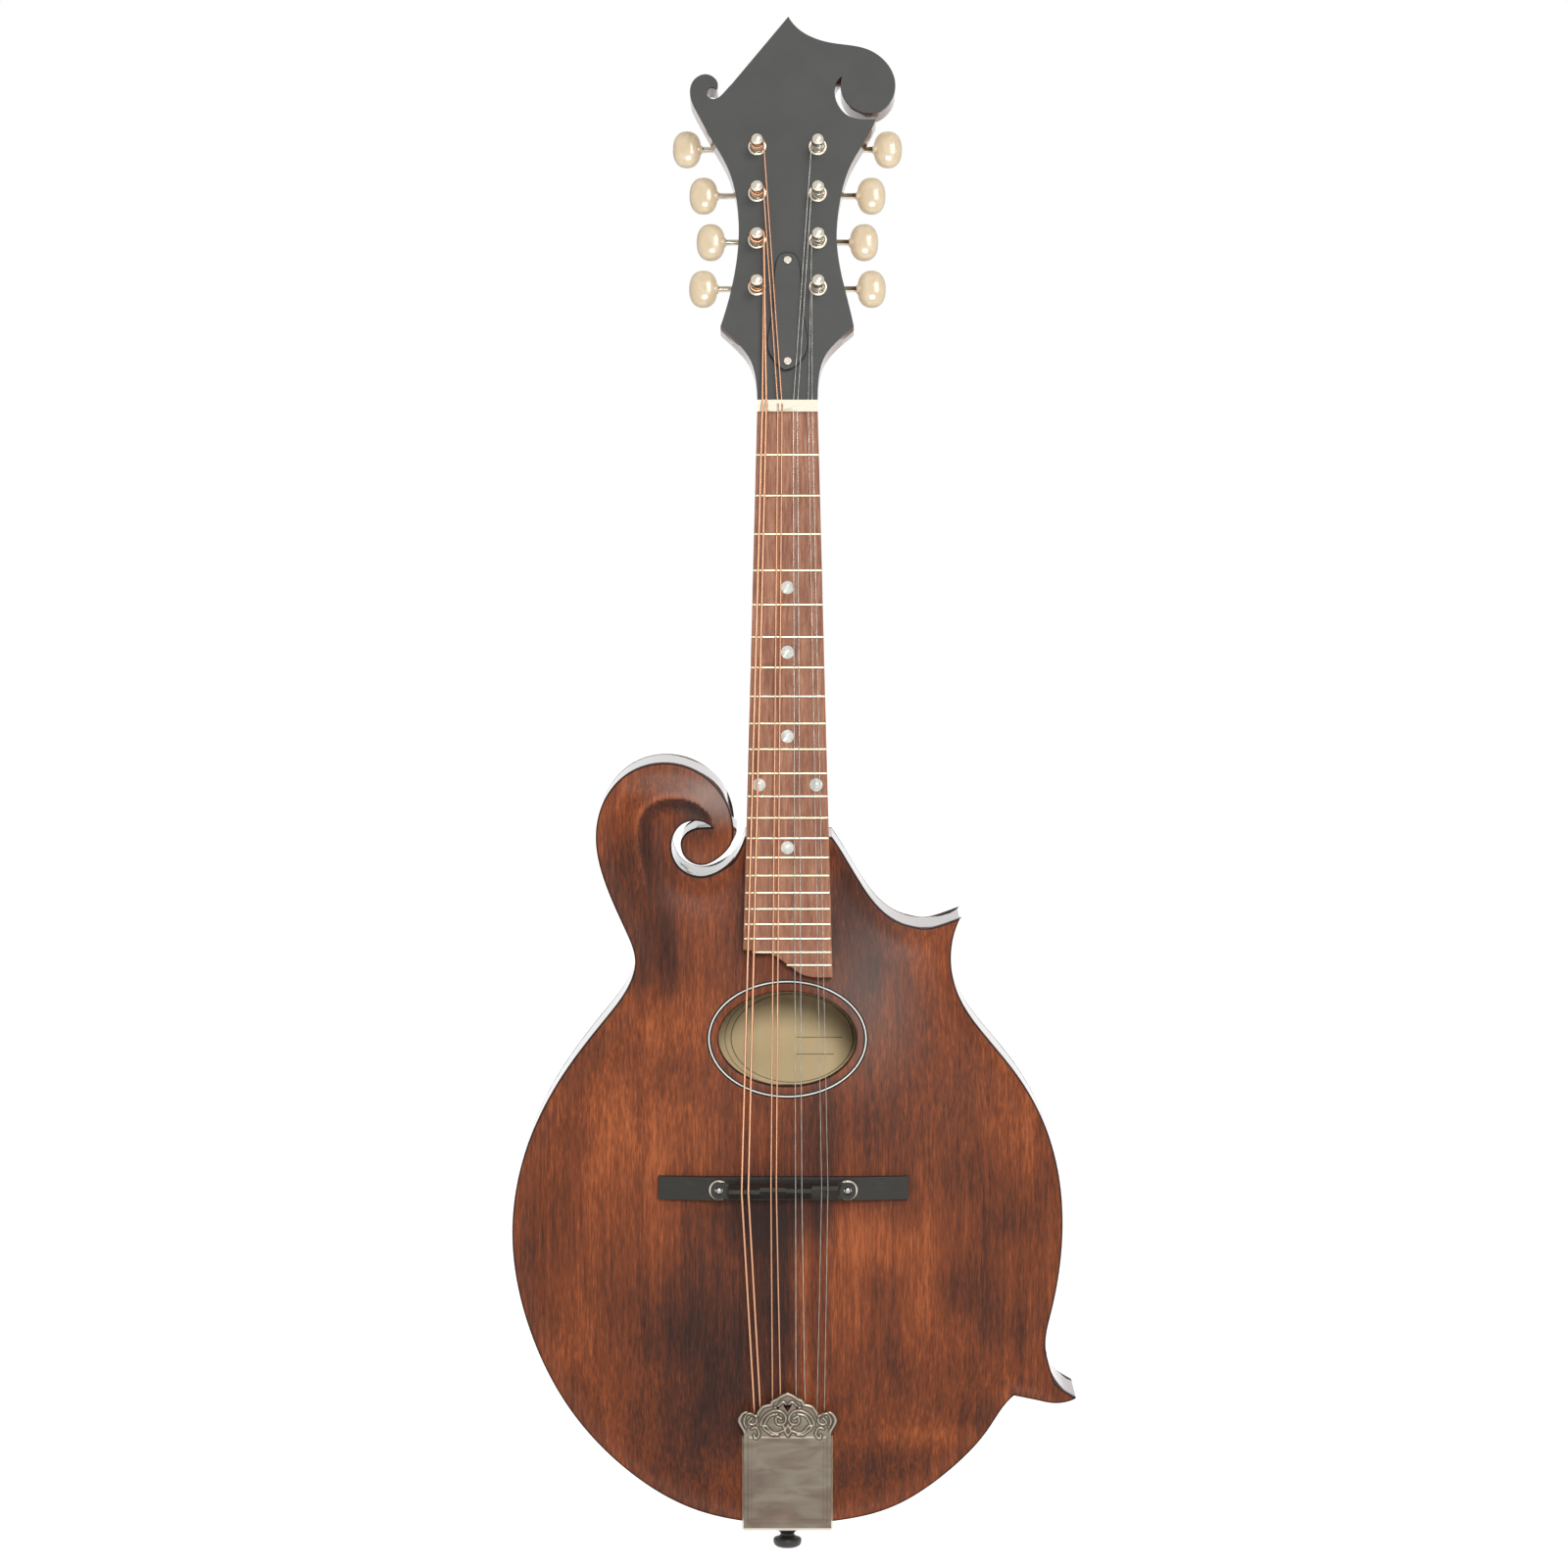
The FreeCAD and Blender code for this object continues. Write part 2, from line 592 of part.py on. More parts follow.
def ellipse_prism(half_width, half_height, y_low, y_high):
    """An oval column through the body at the sound hole."""
    centre = V(0, y_low, HOLE_Z)
    oval = Part.Ellipse(centre + V(half_width, 0, 0), centre + V(0, 0, half_height), centre)
    return Part.Face(Part.Wire(oval.toShape())).extrude(V(0, y_high - y_low, 0))


def ellipse_ring(depth):
    """The sound hole's inlaid ring, following the arch to a depth under its surface."""
    outer = ellipse_prism(RING_HALF_WIDTH, RING_HALF_HEIGHT, -OVERRUN - GLUE_PLANE, -GLUE_PLANE)
    inner = ellipse_prism(RING_HALF_WIDTH - RING_WIDTH, RING_HALF_HEIGHT - RING_WIDTH,
                          -OVERRUN - GLUE_PLANE, -GLUE_PLANE)
    return outer.cut(inner).common(behind_top(0)).cut(behind_top(depth))


def make_soundboard(ring):
    """The carved front: arched outside and inside, with an oval hole and a ring channel."""
    blank = body_prism(-OVERRUN - GLUE_PLANE, -GLUE_PLANE).common(behind_top(0))
    hollow = inwards(TOP_HOLLOW_FACE, 0, -1)
    hole = ellipse_prism(HOLE_HALF_WIDTH, HOLE_HALF_HEIGHT, -OVERRUN - GLUE_PLANE, 0)
    return blank.cut(hollow).cut(hole).cut(ring)


def make_back():
    """The carved back, with the small button that covers the neck's heel."""
    blank = body_prism(GLUE_PLANE, GLUE_PLANE + OVERRUN).common(before_back(0))
    hollow = inwards(BACK_HOLLOW_FACE, 0, 1)
    oval = half_oval(V(0, 0, JOINT_Z), V(HEEL_HALF_WIDTH, 0, 0), V(0, 0, BUTTON_LENGTH))
    button = prism(oval.Edges, GLUE_PLANE, GLUE_PLANE + EDGE_THICKNESS)
    return joined([blank.cut(hollow), button])


def offset_points(edge, distance):
    """Points beside a body edge, moved inwards by a distance."""
    count = max(6, int(edge.Length / SURFACE_STEP))
    first = edge.FirstParameter
    span = edge.LastParameter - first
    points = []
    for index in range(count + 1):
        at = first + span * index / count
        tangent = edge.tangentAt(at)
        points.append(edge.valueAt(at) + V(tangent.z, 0, -tangent.x) * distance)
    return points


def band(name, near, far, y_low, y_high):
    """A strip that follows a body edge between two insets."""
    edge = BODY_EDGES[name]
    outer = edge.copy() if near == 0 else spline_edge(offset_points(edge, near))
    inner = spline_edge(offset_points(edge, far))
    outer_ends = [outer.valueAt(outer.FirstParameter), outer.valueAt(outer.LastParameter)]
    inner_ends = [inner.valueAt(inner.FirstParameter), inner.valueAt(inner.LastParameter)]
    return prism([outer, line_edge(outer_ends[1], inner_ends[1]), inner,
                  line_edge(inner_ends[0], outer_ends[0])], y_low, y_high)


def make_ribs(outline):
    """Four bent sides: bass, cutaway, waist and treble."""
    waist = band("waist", 0, RIB_THICKNESS, -GLUE_PLANE, GLUE_PLANE).common(outline)
    cutaway = band("cutaway", 0, RIB_THICKNESS, -GLUE_PLANE, GLUE_PLANE).common(outline)
    treble = band("treble", 0, RIB_THICKNESS, -GLUE_PLANE, GLUE_PLANE).common(outline)
    bass = band("bass", 0, RIB_THICKNESS, -GLUE_PLANE, GLUE_PLANE).common(outline)
    return [bass, cutaway.cut(waist), waist, treble]


def disc_zone(shares):
    """A round region of the body, from its centre's shares."""
    centre = body_points((shares,))[0]
    return Part.makeCylinder(POINT_BLOCK_RADIUS, RIB_DEPTH, centre - V(0, GLUE_PLANE, 0),
                             V(0, 1, 0))


def without(shape, others):
    """The shape with several others taken out of it."""
    for other in others:
        shape = shape.cut(other)
    return shape


def largest(shape):
    """The biggest solid of a shape."""
    return max(shape.Solids, key=lambda solid: solid.Volume)


def lining_strip(name, y_low, y_high):
    """A strip along the inside of a rib, as far as the head block."""
    limit = TAIL_Z + HEAD_BLOCK_SHARES[1][1] * BODY_LENGTH
    near, far = [], []
    start = RIB_THICKNESS + GLUE_LINE
    for close, deep in zip(offset_points(BODY_EDGES[name], start),
                           offset_points(BODY_EDGES[name], start + LINING_WIDTH)):
        if close.z < limit and deep.z > TAIL_Z:
            near.append(close)
            far.append(deep)
    return prism([spline_edge(near), line_edge(near[-1], far[-1]), spline_edge(far),
                  line_edge(far[0], near[0])], y_low, y_high)


def make_linings(blocks):
    """Glue strips along the sides, at the front and the back."""
    strips = []
    for name in ("bass", "waist", "treble"):
        for low, high in ((-GLUE_PLANE, LINING_DEPTH - GLUE_PLANE),
                          (GLUE_PLANE - LINING_DEPTH, GLUE_PLANE)):
            strips.append(largest(without(lining_strip(name, low, high), blocks)))
    return strips


def tenon():
    """The neck's tongue that is glued into the head block."""
    return box(-TENON_HALF_WIDTH, TENON_HALF_WIDTH, -GLUE_PLANE, GLUE_PLANE - EDGE_THICKNESS,
               JOINT_Z - TENON_LENGTH, JOINT_Z)


def head_edges():
    """The head's outline in its own frame, clockwise from the treble side of the nut."""
    bass_tip = head_points((HEAD_TREBLE_CURL_SHARES[-1], HEAD_BASS_GAP_SHARES[0]))
    edges = []
    for shares in (HEAD_TREBLE_LOWER_SHARES, HEAD_TREBLE_SIDE_SHARES, HEAD_TREBLE_SLOT_SHARES,
                   HEAD_TREBLE_CURL_SHARES):
        edges.append(spline_edge(head_points(shares)))
    edges.append(line_edge(*bass_tip))
    for shares in (HEAD_BASS_GAP_SHARES, HEAD_BASS_CURL_SHARES, HEAD_BASS_LOWER_SHARES):
        edges.append(spline_edge(head_points(shares)))
    nut_ends = head_points((HEAD_BASS_LOWER_SHARES[-1], HEAD_TREBLE_LOWER_SHARES[0]))
    edges.append(line_edge(*nut_ends))
    return edges


def board_half_width(distance):
    """Half the fingerboard's width at a distance from the nut."""
    return NUT_HALF_WIDTH + (BOARD_END_HALF_WIDTH - NUT_HALF_WIDTH) * distance / BOARD_LENGTH


def half_oval(centre, across, out):
    """A flat half-oval slice: straight across, and an oval of cosine and sine beyond it."""
    points = []
    for index in range(OVAL_STEPS + 1):
        angle = math.pi * index / OVAL_STEPS
        points.append(centre + across * math.cos(angle) + out * math.sin(angle))
    return Part.Wire([spline_edge(points, out, out * -1), line_edge(points[-1], points[0])])


def make_neck(cuts):
    """Shaft, heel, tenon and head in one piece of wood."""
    sections = []
    for distance in (-NUT_LENGTH, NUT_TO_JOINT / 2, NUT_TO_JOINT + TENON_LENGTH):
        part = distance / NUT_TO_JOINT
        depth = SHAFT_DEPTH_AT_NUT + (SHAFT_DEPTH_AT_JOINT - SHAFT_DEPTH_AT_NUT) * part
        half = board_half_width(distance)
        sections.append(half_oval(V(0, BOARD_THICKNESS, -distance), V(half, 0, 0),
                                  V(0, depth, 0)))
    shaft = placed(Part.makeLoft(sections, True), NECK_FRAME)
    below = box(-BODY_HALF_WIDTH, BODY_HALF_WIDTH, -BODY_HALF_WIDTH, BODY_HALF_WIDTH,
                JOINT_Z - BODY_HALF_WIDTH, JOINT_Z)
    shaft = shaft.cut(below)
    heel_start = BOARD_FACE_AT_JOINT + 2 * BOARD_THICKNESS
    wide = board_half_width(NUT_TO_JOINT) - RISER_HEIGHT
    heel = Part.makeLoft([
        half_oval(V(0, heel_start, JOINT_Z), V(wide, 0, 0), V(0, 0, HEEL_TOP_LENGTH)),
        half_oval(V(0, 0, JOINT_Z), V((wide + HEEL_HALF_WIDTH) / 2, 0, 0), V(0, 0, HEEL_LENGTH)),
        half_oval(V(0, GLUE_PLANE, JOINT_Z), V(HEEL_HALF_WIDTH, 0, 0), V(0, 0, BUTTON_LENGTH)),
    ], True)
    head = placed(prism(head_edges(), HEAD_PLATE_THICKNESS, HEAD_THICKNESS), HEAD_FRAME)
    return without(joined([shaft, heel, tenon(), head]), cuts)


def truss_rod():
    """The steel rod buried in the neck, and the hex nut that tensions it at the head."""
    start = NUT_LENGTH + ROD_NUT_START + ROD_NUT_LENGTH
    length = start + NUT_TO_JOINT - TENON_LENGTH
    rod = Part.makeCylinder(ROD_RADIUS, length, V(0, BOARD_THICKNESS + ROD_DEPTH, start - length))
    return placed(rod, NECK_FRAME)


def truss_rod_nut():
    """A six-sided nut with a bore that runs on the rod's end."""
    corners = []
    for index in range(7):
        angle = math.pi * index / 3
        corners.append(V(ROD_NUT_RADIUS * math.cos(angle),
                         BOARD_THICKNESS + ROD_DEPTH + ROD_NUT_RADIUS * math.sin(angle),
                         NUT_LENGTH + ROD_NUT_START))
    body = Part.Face(Part.makePolygon(corners)).extrude(V(0, 0, ROD_NUT_LENGTH))
    bore = Part.makeCylinder(ROD_RADIUS + RUNNING_GAP, ROD_NUT_LENGTH + OVERRUN,
                             V(0, BOARD_THICKNESS + ROD_DEPTH, 0))
    return placed(body.cut(bore), NECK_FRAME)


def rod_pocket():
    """The open pocket at the head where the rod's nut is reached."""
    low = NUT_LENGTH + ROD_NUT_START - POCKET_MARGIN
    high = NUT_LENGTH + ROD_NUT_START + ROD_NUT_LENGTH + 2 * POCKET_MARGIN
    deep = BOARD_THICKNESS + ROD_DEPTH + POCKET_HALF_WIDTH
    return placed(box(-POCKET_HALF_WIDTH, POCKET_HALF_WIDTH, -HEAD_DROP, deep, low, high),
                  NECK_FRAME)


def rod_cover_screw_places():
    """Heights of the rod cover's two screws along the head."""
    return (COVER_PLATE_BOTTOM + COVER_SCREW_MARGIN,
            COVER_PLATE_BOTTOM + COVER_PLATE_LENGTH - COVER_SCREW_MARGIN)


def head_screw(x, z, radius, length, head_radius, head_height, face, way):
    """A round-headed screw in the head: its shank goes into the wood, its head stays proud."""
    shank = Part.makeCylinder(radius, length, V(x, face, z), V(0, -way, 0))
    dome = Part.makeCylinder(head_radius, head_height, V(x, face, z), V(0, way, 0))
    return placed(joined([shank, dome]), HEAD_FRAME)


def make_rod_cover(screws):
    """The bell-shaped plate over the rod's pocket."""
    half = [V(x * COVER_PLATE_HALF_WIDTH, 0, COVER_PLATE_BOTTOM + z * COVER_PLATE_LENGTH)
            for x, z in ROD_COVER_SHARES]
    other = [V(-point.x, 0, point.z) for point in reversed(half[1:-1])]
    curve = Part.BSplineCurve()
    curve.interpolate(Points=half + other, PeriodicFlag=True)
    plate = placed(prism([curve.toShape()], -COVER_PLATE_THICKNESS, 0), HEAD_FRAME)
    return without(plate, screws)


def fret_distance(number):
    """Distance of a fret from the nut: each step shortens the string by a twelfth root of two."""
    return SCALE_LENGTH * (1 - 2 ** (-number / 12))


def board_prism(y_low, y_high):
    """The fingerboard's outline between two depths, in the neck's frame."""
    left_end = -(BOARD_LENGTH - BOARD_END_DROP)
    left = -board_half_width(-left_end)
    curve = [V(left, 0, left_end)]
    for x, z in BOARD_END_SHARES:
        curve.append(V(x * BOARD_END_HALF_WIDTH, 0, left_end - z * BOARD_END_DROP))
    edges = [line_edge(V(NUT_HALF_WIDTH, 0, 0), curve[-1]),
             spline_edge(list(reversed(curve))),
             line_edge(curve[0], V(-NUT_HALF_WIDTH, 0, 0)),
             line_edge(V(-NUT_HALF_WIDTH, 0, 0), V(NUT_HALF_WIDTH, 0, 0))]
    return prism(edges, y_low, y_high)


def make_frets():
    """Frets with a round crown and a tang, trimmed to the fingerboard's outline."""
    trim = board_prism(-OVERRUN, BOARD_THICKNESS)
    frets = []
    wide = BOARD_END_HALF_WIDTH + SHEET
    for number in range(1, FRET_COUNT + 1):
        at = -fret_distance(number)
        low, high = at - FRET_WIDTH / 2, at + FRET_WIDTH / 2
        tang_low, tang_high = at - TANG_WIDTH / 2, at + TANG_WIDTH / 2
        crown = Part.Arc(V(-wide, 0, high), V(-wide, -FRET_HEIGHT, at), V(-wide, 0, low))
        path = [V(-wide, 0, low), V(-wide, 0, tang_low), V(-wide, TANG_DEPTH, tang_low),
                V(-wide, TANG_DEPTH, tang_high), V(-wide, 0, tang_high), V(-wide, 0, high)]
        edges = [crown.toShape()]
        for first, second in zip(path, path[1:]):
            edges.append(line_edge(first, second))
        bar = Part.Face(Part.Wire(edges)).extrude(V(2 * wide, 0, 0))
        frets.append(bar.common(trim))
    return frets


def make_dots():
    """Round inlays between frets: one at most places, two at the octave."""
    dots = []
    for number, sides in ((5, (0,)), (7, (0,)), (10, (0,)), (12, (-1, 1)), (15, (0,))):
        at = -(fret_distance(number - 1) + fret_distance(number)) / 2
        for side in sides:
            dots.append(Part.makeCylinder(DOT_RADIUS, DOT_DEPTH, V(side * TWIN_DOT_OFFSET, 0, at),
                                          V(0, 1, 0)))
    return dots


def make_riser():
    """The wedge that carries the fingerboard over the soundboard."""
    low, high = -(NUT_TO_JOINT + RISER_LENGTH), -NUT_TO_JOINT + NUT_LENGTH
    wide, narrow = board_half_width(-low), board_half_width(-high)
    corners = [V(-wide, 0, low), V(-narrow, 0, high), V(narrow, 0, high), V(wide, 0, low)]
    edges = [line_edge(first, second) for first, second in zip(corners, corners[1:] + corners[:1])]
    block = placed(prism(edges, BOARD_THICKNESS, BOARD_THICKNESS + OVERRUN / 3), NECK_FRAME)
    front = box(-BODY_HALF_WIDTH, BODY_HALF_WIDTH, -BODY_HALF_WIDTH, -GLUE_PLANE, TAIL_Z, JOINT_Z)
    wedge = block.common(front).cut(behind_top(0))
    return max(wedge.Solids, key=lambda solid: solid.Volume)


def post_place(number):
    """Height of a post along the head, counted from the nut."""
    return FIRST_POST + number * POST_SPACING


WORM_OFFSET = GEAR_PITCH_RADIUS + WORM_PITCH_RADIUS
PITCH = 2 * math.pi * GEAR_PITCH_RADIUS / GEAR_TEETH
GEAR_Y = HEAD_THICKNESS + PLATE_THICKNESS + GEAR_STANDOFF


def turned(points, base, axis):
    """A solid of revolution from a closed profile of radius and height pairs."""
    flat = [V(radius, 0, height) for radius, height in points]
    face = Part.Face(Part.makePolygon(flat + flat[:1]))
    solid = face.revolve(V(0, 0, 0), V(0, 0, 1), 360)
    solid.Placement = Placement(base, Rotation(V(0, 0, 1), axis))
    return solid


def make_post(x, z):
    """Post, gear and gear screw of one tuner, in the head's frame, cap to the front."""
    cap_low = POST_PROUD - POST_CAP_HEIGHT
    gear_low = -(GEAR_Y - GEAR_THICKNESS / 2)
    gear_high = -(GEAR_Y + GEAR_THICKNESS / 2)
    profile = [
        (0, gear_high), (GEAR_SEAT_RADIUS, gear_high), (GEAR_SEAT_RADIUS, gear_low),
        (POST_RADIUS, gear_low), (POST_RADIUS, POST_COLLAR_HEIGHT),
        (POST_WAIST_RADIUS, POST_COLLAR_HEIGHT + SHEET), (POST_WAIST_RADIUS, cap_low - SHEET),
        (POST_WAIST_RADIUS - SHEET / 2, cap_low), (POST_RADIUS, cap_low + SHEET),
        (POST_RADIUS, POST_PROUD - SHEET), (POST_RADIUS - SHEET, POST_PROUD), (0, POST_PROUD),
    ]
    post = turned(profile, V(x, 0, z), V(0, -1, 0))
    hole = Part.makeCylinder(GEAR_SCREW_RADIUS + SEAT_GAP, GEAR_SCREW_LENGTH,
                             V(x, -gear_high, z), V(0, -1, 0))
    screw = joined([
        Part.makeCylinder(GEAR_SCREW_RADIUS, GEAR_SCREW_LENGTH, V(x, -gear_high, z), V(0, -1, 0)),
        Part.makeCylinder(GEAR_SCREW_HEAD_RADIUS, GEAR_SCREW_HEAD_HEIGHT, V(x, -gear_high, z),
                          V(0, 1, 0)),
    ])
    return [post.cut(hole), make_gear(x, z), screw]


def make_gear(x, z):
    """A straight-cut gear with a gap facing the worm."""
    root = GEAR_PITCH_RADIUS - GEAR_ROOT_DEPTH
    tip = GEAR_PITCH_RADIUS + TOOTH_HEIGHT
    points = []
    for index in range(GEAR_TEETH):
        middle = math.pi / 2 + math.pi * (2 * index + 1) / GEAR_TEETH
        for radius, width in ((root, -TOOTH_ROOT_WIDTH), (tip, -TOOTH_CREST_WIDTH),
                              (tip, TOOTH_CREST_WIDTH), (root, TOOTH_ROOT_WIDTH)):
            angle = middle + width / 2 / radius
            points.append(V(x + radius * math.cos(angle), GEAR_Y - GEAR_THICKNESS / 2,
                            z + radius * math.sin(angle)))
    disc = Part.Face(Part.makePolygon(points + points[:1])).extrude(V(0, GEAR_THICKNESS, 0))
    bore = Part.makeCylinder(GEAR_SEAT_RADIUS + SEAT_GAP, OVERRUN, V(x, 0, z), V(0, 1, 0))
    return disc.cut(bore)


def worm_place(side, number):
    """Frame of a worm: its own axis runs along X, above the gear of its post."""
    centre = V(side * POST_OFFSET, GEAR_Y, post_place(number) + WORM_OFFSET)
    return HEAD_FRAME.multiply(Placement(centre, Rotation(V(0, 0, 1), V(1, 0, 0))))


def make_worm(side, number):
    """A worm and its shaft, with one ridge of its thread facing the gear's gap."""
    core = WORM_PITCH_RADIUS - WORM_CORE_DEPTH
    crest = WORM_PITCH_RADIUS + WORM_CREST_HEIGHT
    root = core - WORM_CREST_HEIGHT
    slope = (THREAD_ROOT_WIDTH - THREAD_CREST_WIDTH) / (crest - core) / 2
    half_crest = THREAD_CREST_WIDTH / 2
    half_root = half_crest + slope * (crest - root)
    profile = Part.makePolygon([V(root, 0, -half_root), V(crest, 0, -half_crest),
                                V(crest, 0, half_crest), V(root, 0, half_root),
                                V(root, 0, -half_root)])
    helix = Part.Wire(Part.makeHelix(PITCH, THREAD_LOOPS * PITCH, root))
    thread = helix.makePipeShell([profile], True, True)
    rod = Part.makeCylinder(core, (THREAD_LOOPS + 2) * PITCH, V(0, 0, -PITCH))
    screw = rod.fuse(thread)
    screw.translate(V(0, 0, -THREAD_LOOPS / 2 * PITCH))
    screw = screw.common(Part.makeCylinder(2 * crest, 2 * THREAD_HALF_LENGTH,
                                           V(0, 0, -THREAD_HALF_LENGTH)))
    inner = EAR_START + EAR_THICKNESS + SHAFT_INNER_OVERRUN
    outer = BUTTON_OFFSETS[number] - POST_OFFSET + BUTTON_GRIP
    short = Part.makeCylinder(SHAFT_RADIUS, inner - THREAD_HALF_LENGTH,
                              V(0, 0, -side * THREAD_HALF_LENGTH), V(0, 0, -side))
    long = Part.makeCylinder(SHAFT_RADIUS, outer - THREAD_HALF_LENGTH,
                             V(0, 0, side * THREAD_HALF_LENGTH), V(0, 0, side))
    return placed(joined([screw, short, long]), worm_place(side, number))


def make_button(side, number):
    """A flat oval knob with a short collar, bored for the shaft."""
    matrix = FreeCAD.Matrix()
    matrix.scale(BUTTON_HALF_HEIGHT / BUTTON_HALF_THICKNESS, 1,
                 BUTTON_HALF_WIDTH / BUTTON_HALF_THICKNESS)
    knob = Part.makeSphere(BUTTON_HALF_THICKNESS).transformGeometry(matrix)
    collar = Part.makeCylinder(BUTTON_COLLAR_RADIUS, BUTTON_HALF_WIDTH,
                               V(0, 0, -side * (BUTTON_HALF_WIDTH + BUTTON_COLLAR_LENGTH)),
                               V(0, 0, side))
    button = knob.fuse(collar)
    button.translate(V(0, 0, side * (BUTTON_OFFSETS[number] - POST_OFFSET)))
    reach = BUTTON_OFFSETS[number] - POST_OFFSET + BUTTON_GRIP
    bore = Part.makeCylinder(SHAFT_RADIUS + SEAT_GAP, reach, V(0, 0, 0), V(0, 0, side))
    return placed(button.cut(bore), worm_place(side, number))


def plate_screw_places():
    """Heights of the mounting screws of one strip."""
    return [post_place(number + PLATE_SCREW_SHARE) for number in range(-1, 4)]


def make_plate_screws(side):
    """Screws that hold one mounting strip to the back of the head."""
    back = HEAD_THICKNESS + PLATE_THICKNESS
    return [head_screw(side * POST_OFFSET, z, PLATE_SCREW_RADIUS, PLATE_SCREW_LENGTH,
                       PLATE_SCREW_HEAD_RADIUS, PLATE_SCREW_HEAD_HEIGHT, back, 1)
            for z in plate_screw_places()]


def make_tuner_plate(side, screws):
    """A strip on the back of the head, with two ears for each worm and a hole for each post."""
    x = side * POST_OFFSET
    back = HEAD_THICKNESS + PLATE_THICKNESS
    parts = [box(x - PLATE_HALF_WIDTH, x + PLATE_HALF_WIDTH, HEAD_THICKNESS, back,
                 post_place(0) - PLATE_BELOW, post_place(3) + PLATE_ABOVE)]
    bores = []
    for number in range(4):
        z = post_place(number)
        axis_z = z + WORM_OFFSET
        for start in (x + EAR_START, x - EAR_START - EAR_THICKNESS):
            parts.append(box(start, start + EAR_THICKNESS, back, GEAR_Y,
                             axis_z - EAR_HALF_WIDTH, axis_z + EAR_HALF_WIDTH))
            parts.append(Part.makeCylinder(EAR_HALF_WIDTH, EAR_THICKNESS, V(start, GEAR_Y, axis_z),
                                           V(1, 0, 0)))
        bores.append(Part.makeCylinder(SHAFT_RADIUS + RUNNING_GAP, 2 * PLATE_HALF_WIDTH,
                                       V(x - PLATE_HALF_WIDTH, GEAR_Y, axis_z), V(1, 0, 0)))
        bores.append(Part.makeCylinder(POST_RADIUS + RUNNING_GAP, OVERRUN, V(x, 0, z), V(0, 1, 0)))
    plate = without(joined(parts), bores)
    return without(placed(plate, HEAD_FRAME), screws)


def make_bushing(x, z):
    """A flanged sleeve round a post at the front of the head."""
    outer = joined([
        Part.makeCylinder(BUSHING_SLEEVE_RADIUS, BUSHING_SLEEVE_LENGTH, V(x, 0, z), V(0, 1, 0)),
        Part.makeCylinder(BUSHING_FLANGE_RADIUS, BUSHING_FLANGE_HEIGHT, V(x, 0, z), V(0, -1, 0)),
    ])
    bore = Part.makeCylinder(POST_RADIUS + RUNNING_GAP, 2 * OVERRUN, V(x, -OVERRUN, z), V(0, 1, 0))
    return placed(outer.cut(bore), HEAD_FRAME)


def post_holes():
    """Stepped holes through the head for the posts and their bushings."""
    holes = []
    for side in (-1, 1):
        for number in range(4):
            x, z = side * POST_OFFSET, post_place(number)
            seat = Part.makeCylinder(BUSHING_SLEEVE_RADIUS + SEAT_GAP, BUSHING_SLEEVE_LENGTH,
                                     V(x, 0, z), V(0, 1, 0))
            through = Part.makeCylinder(POST_RADIUS + POST_HOLE_CLEARANCE, HEAD_THICKNESS,
                                        V(x, 0, z), V(0, 1, 0))
            holes.append(placed(joined([seat, through]), HEAD_FRAME))
    return holes


BRIDGE_FRONT = top_y(BRIDGE_OFFSET, BRIDGE_Z) - BASE_HEIGHT
WHEEL_BACK = BRIDGE_FRONT - WHEEL_LIFT
SADDLE_BACK = WHEEL_BACK - WHEEL_THICKNESS - WHEEL_SEAT_GAP


def stud_places():
    """Sideways places of the two bridge studs."""
    return (BRIDGE_OFFSET - STUD_HALF_SPACING, BRIDGE_OFFSET + STUD_HALF_SPACING)


def forward_rod(radius, x, z, y_back, y_front):
    """A round column from a back plane towards the front."""
    return Part.makeCylinder(radius, y_back - y_front, V(x, y_back, z), V(0, -1, 0))


def make_bridge_base(studs):
    """The foot of the bridge: flat in the middle, sloping to both ends, fitted to the arch."""
    end = BASE_HALF_LENGTH
    flat = BASE_FLAT_HALF_LENGTH
    left = top_y(BRIDGE_OFFSET - end, BRIDGE_Z) - BASE_END_HEIGHT
    right = top_y(BRIDGE_OFFSET + end, BRIDGE_Z) - BASE_END_HEIGHT
    outline = [(-end, -GLUE_PLANE), (-end, left), (-flat, BRIDGE_FRONT), (flat, BRIDGE_FRONT),
               (end, right), (end, -GLUE_PLANE)]
    low = BRIDGE_Z - BASE_WIDTH / 2
    corners = [V(BRIDGE_OFFSET + x, y, low) for x, y in outline]
    block = Part.Face(Part.makePolygon(corners + corners[:1])).extrude(V(0, 0, BASE_WIDTH))
    foot = block.cut(behind_top(0))
    return without(max(foot.Solids, key=lambda solid: solid.Volume), studs)


def make_studs():
    """Two threaded posts, drawn plain, from the base up into the saddle."""
    front = SADDLE_BACK - SADDLE_END_HEIGHT + STUD_RECESS
    return [forward_rod(STUD_RADIUS, x, BRIDGE_Z, BRIDGE_FRONT + STUD_SINK, front)
            for x in stud_places()]


def make_wheel(x):
    """A thumbwheel that runs on its stud."""
    disc = forward_rod(WHEEL_RADIUS, x, BRIDGE_Z, WHEEL_BACK, WHEEL_BACK - WHEEL_THICKNESS)
    return disc.cut(forward_rod(STUD_RADIUS + RUNNING_GAP, x, BRIDGE_Z, 0, -2 * OVERRUN))


def crest_shift(index):
    """How far a string's resting place is moved along the string."""
    return CREST_SHIFT_SHARES[index] * SADDLE_CREST_STEP


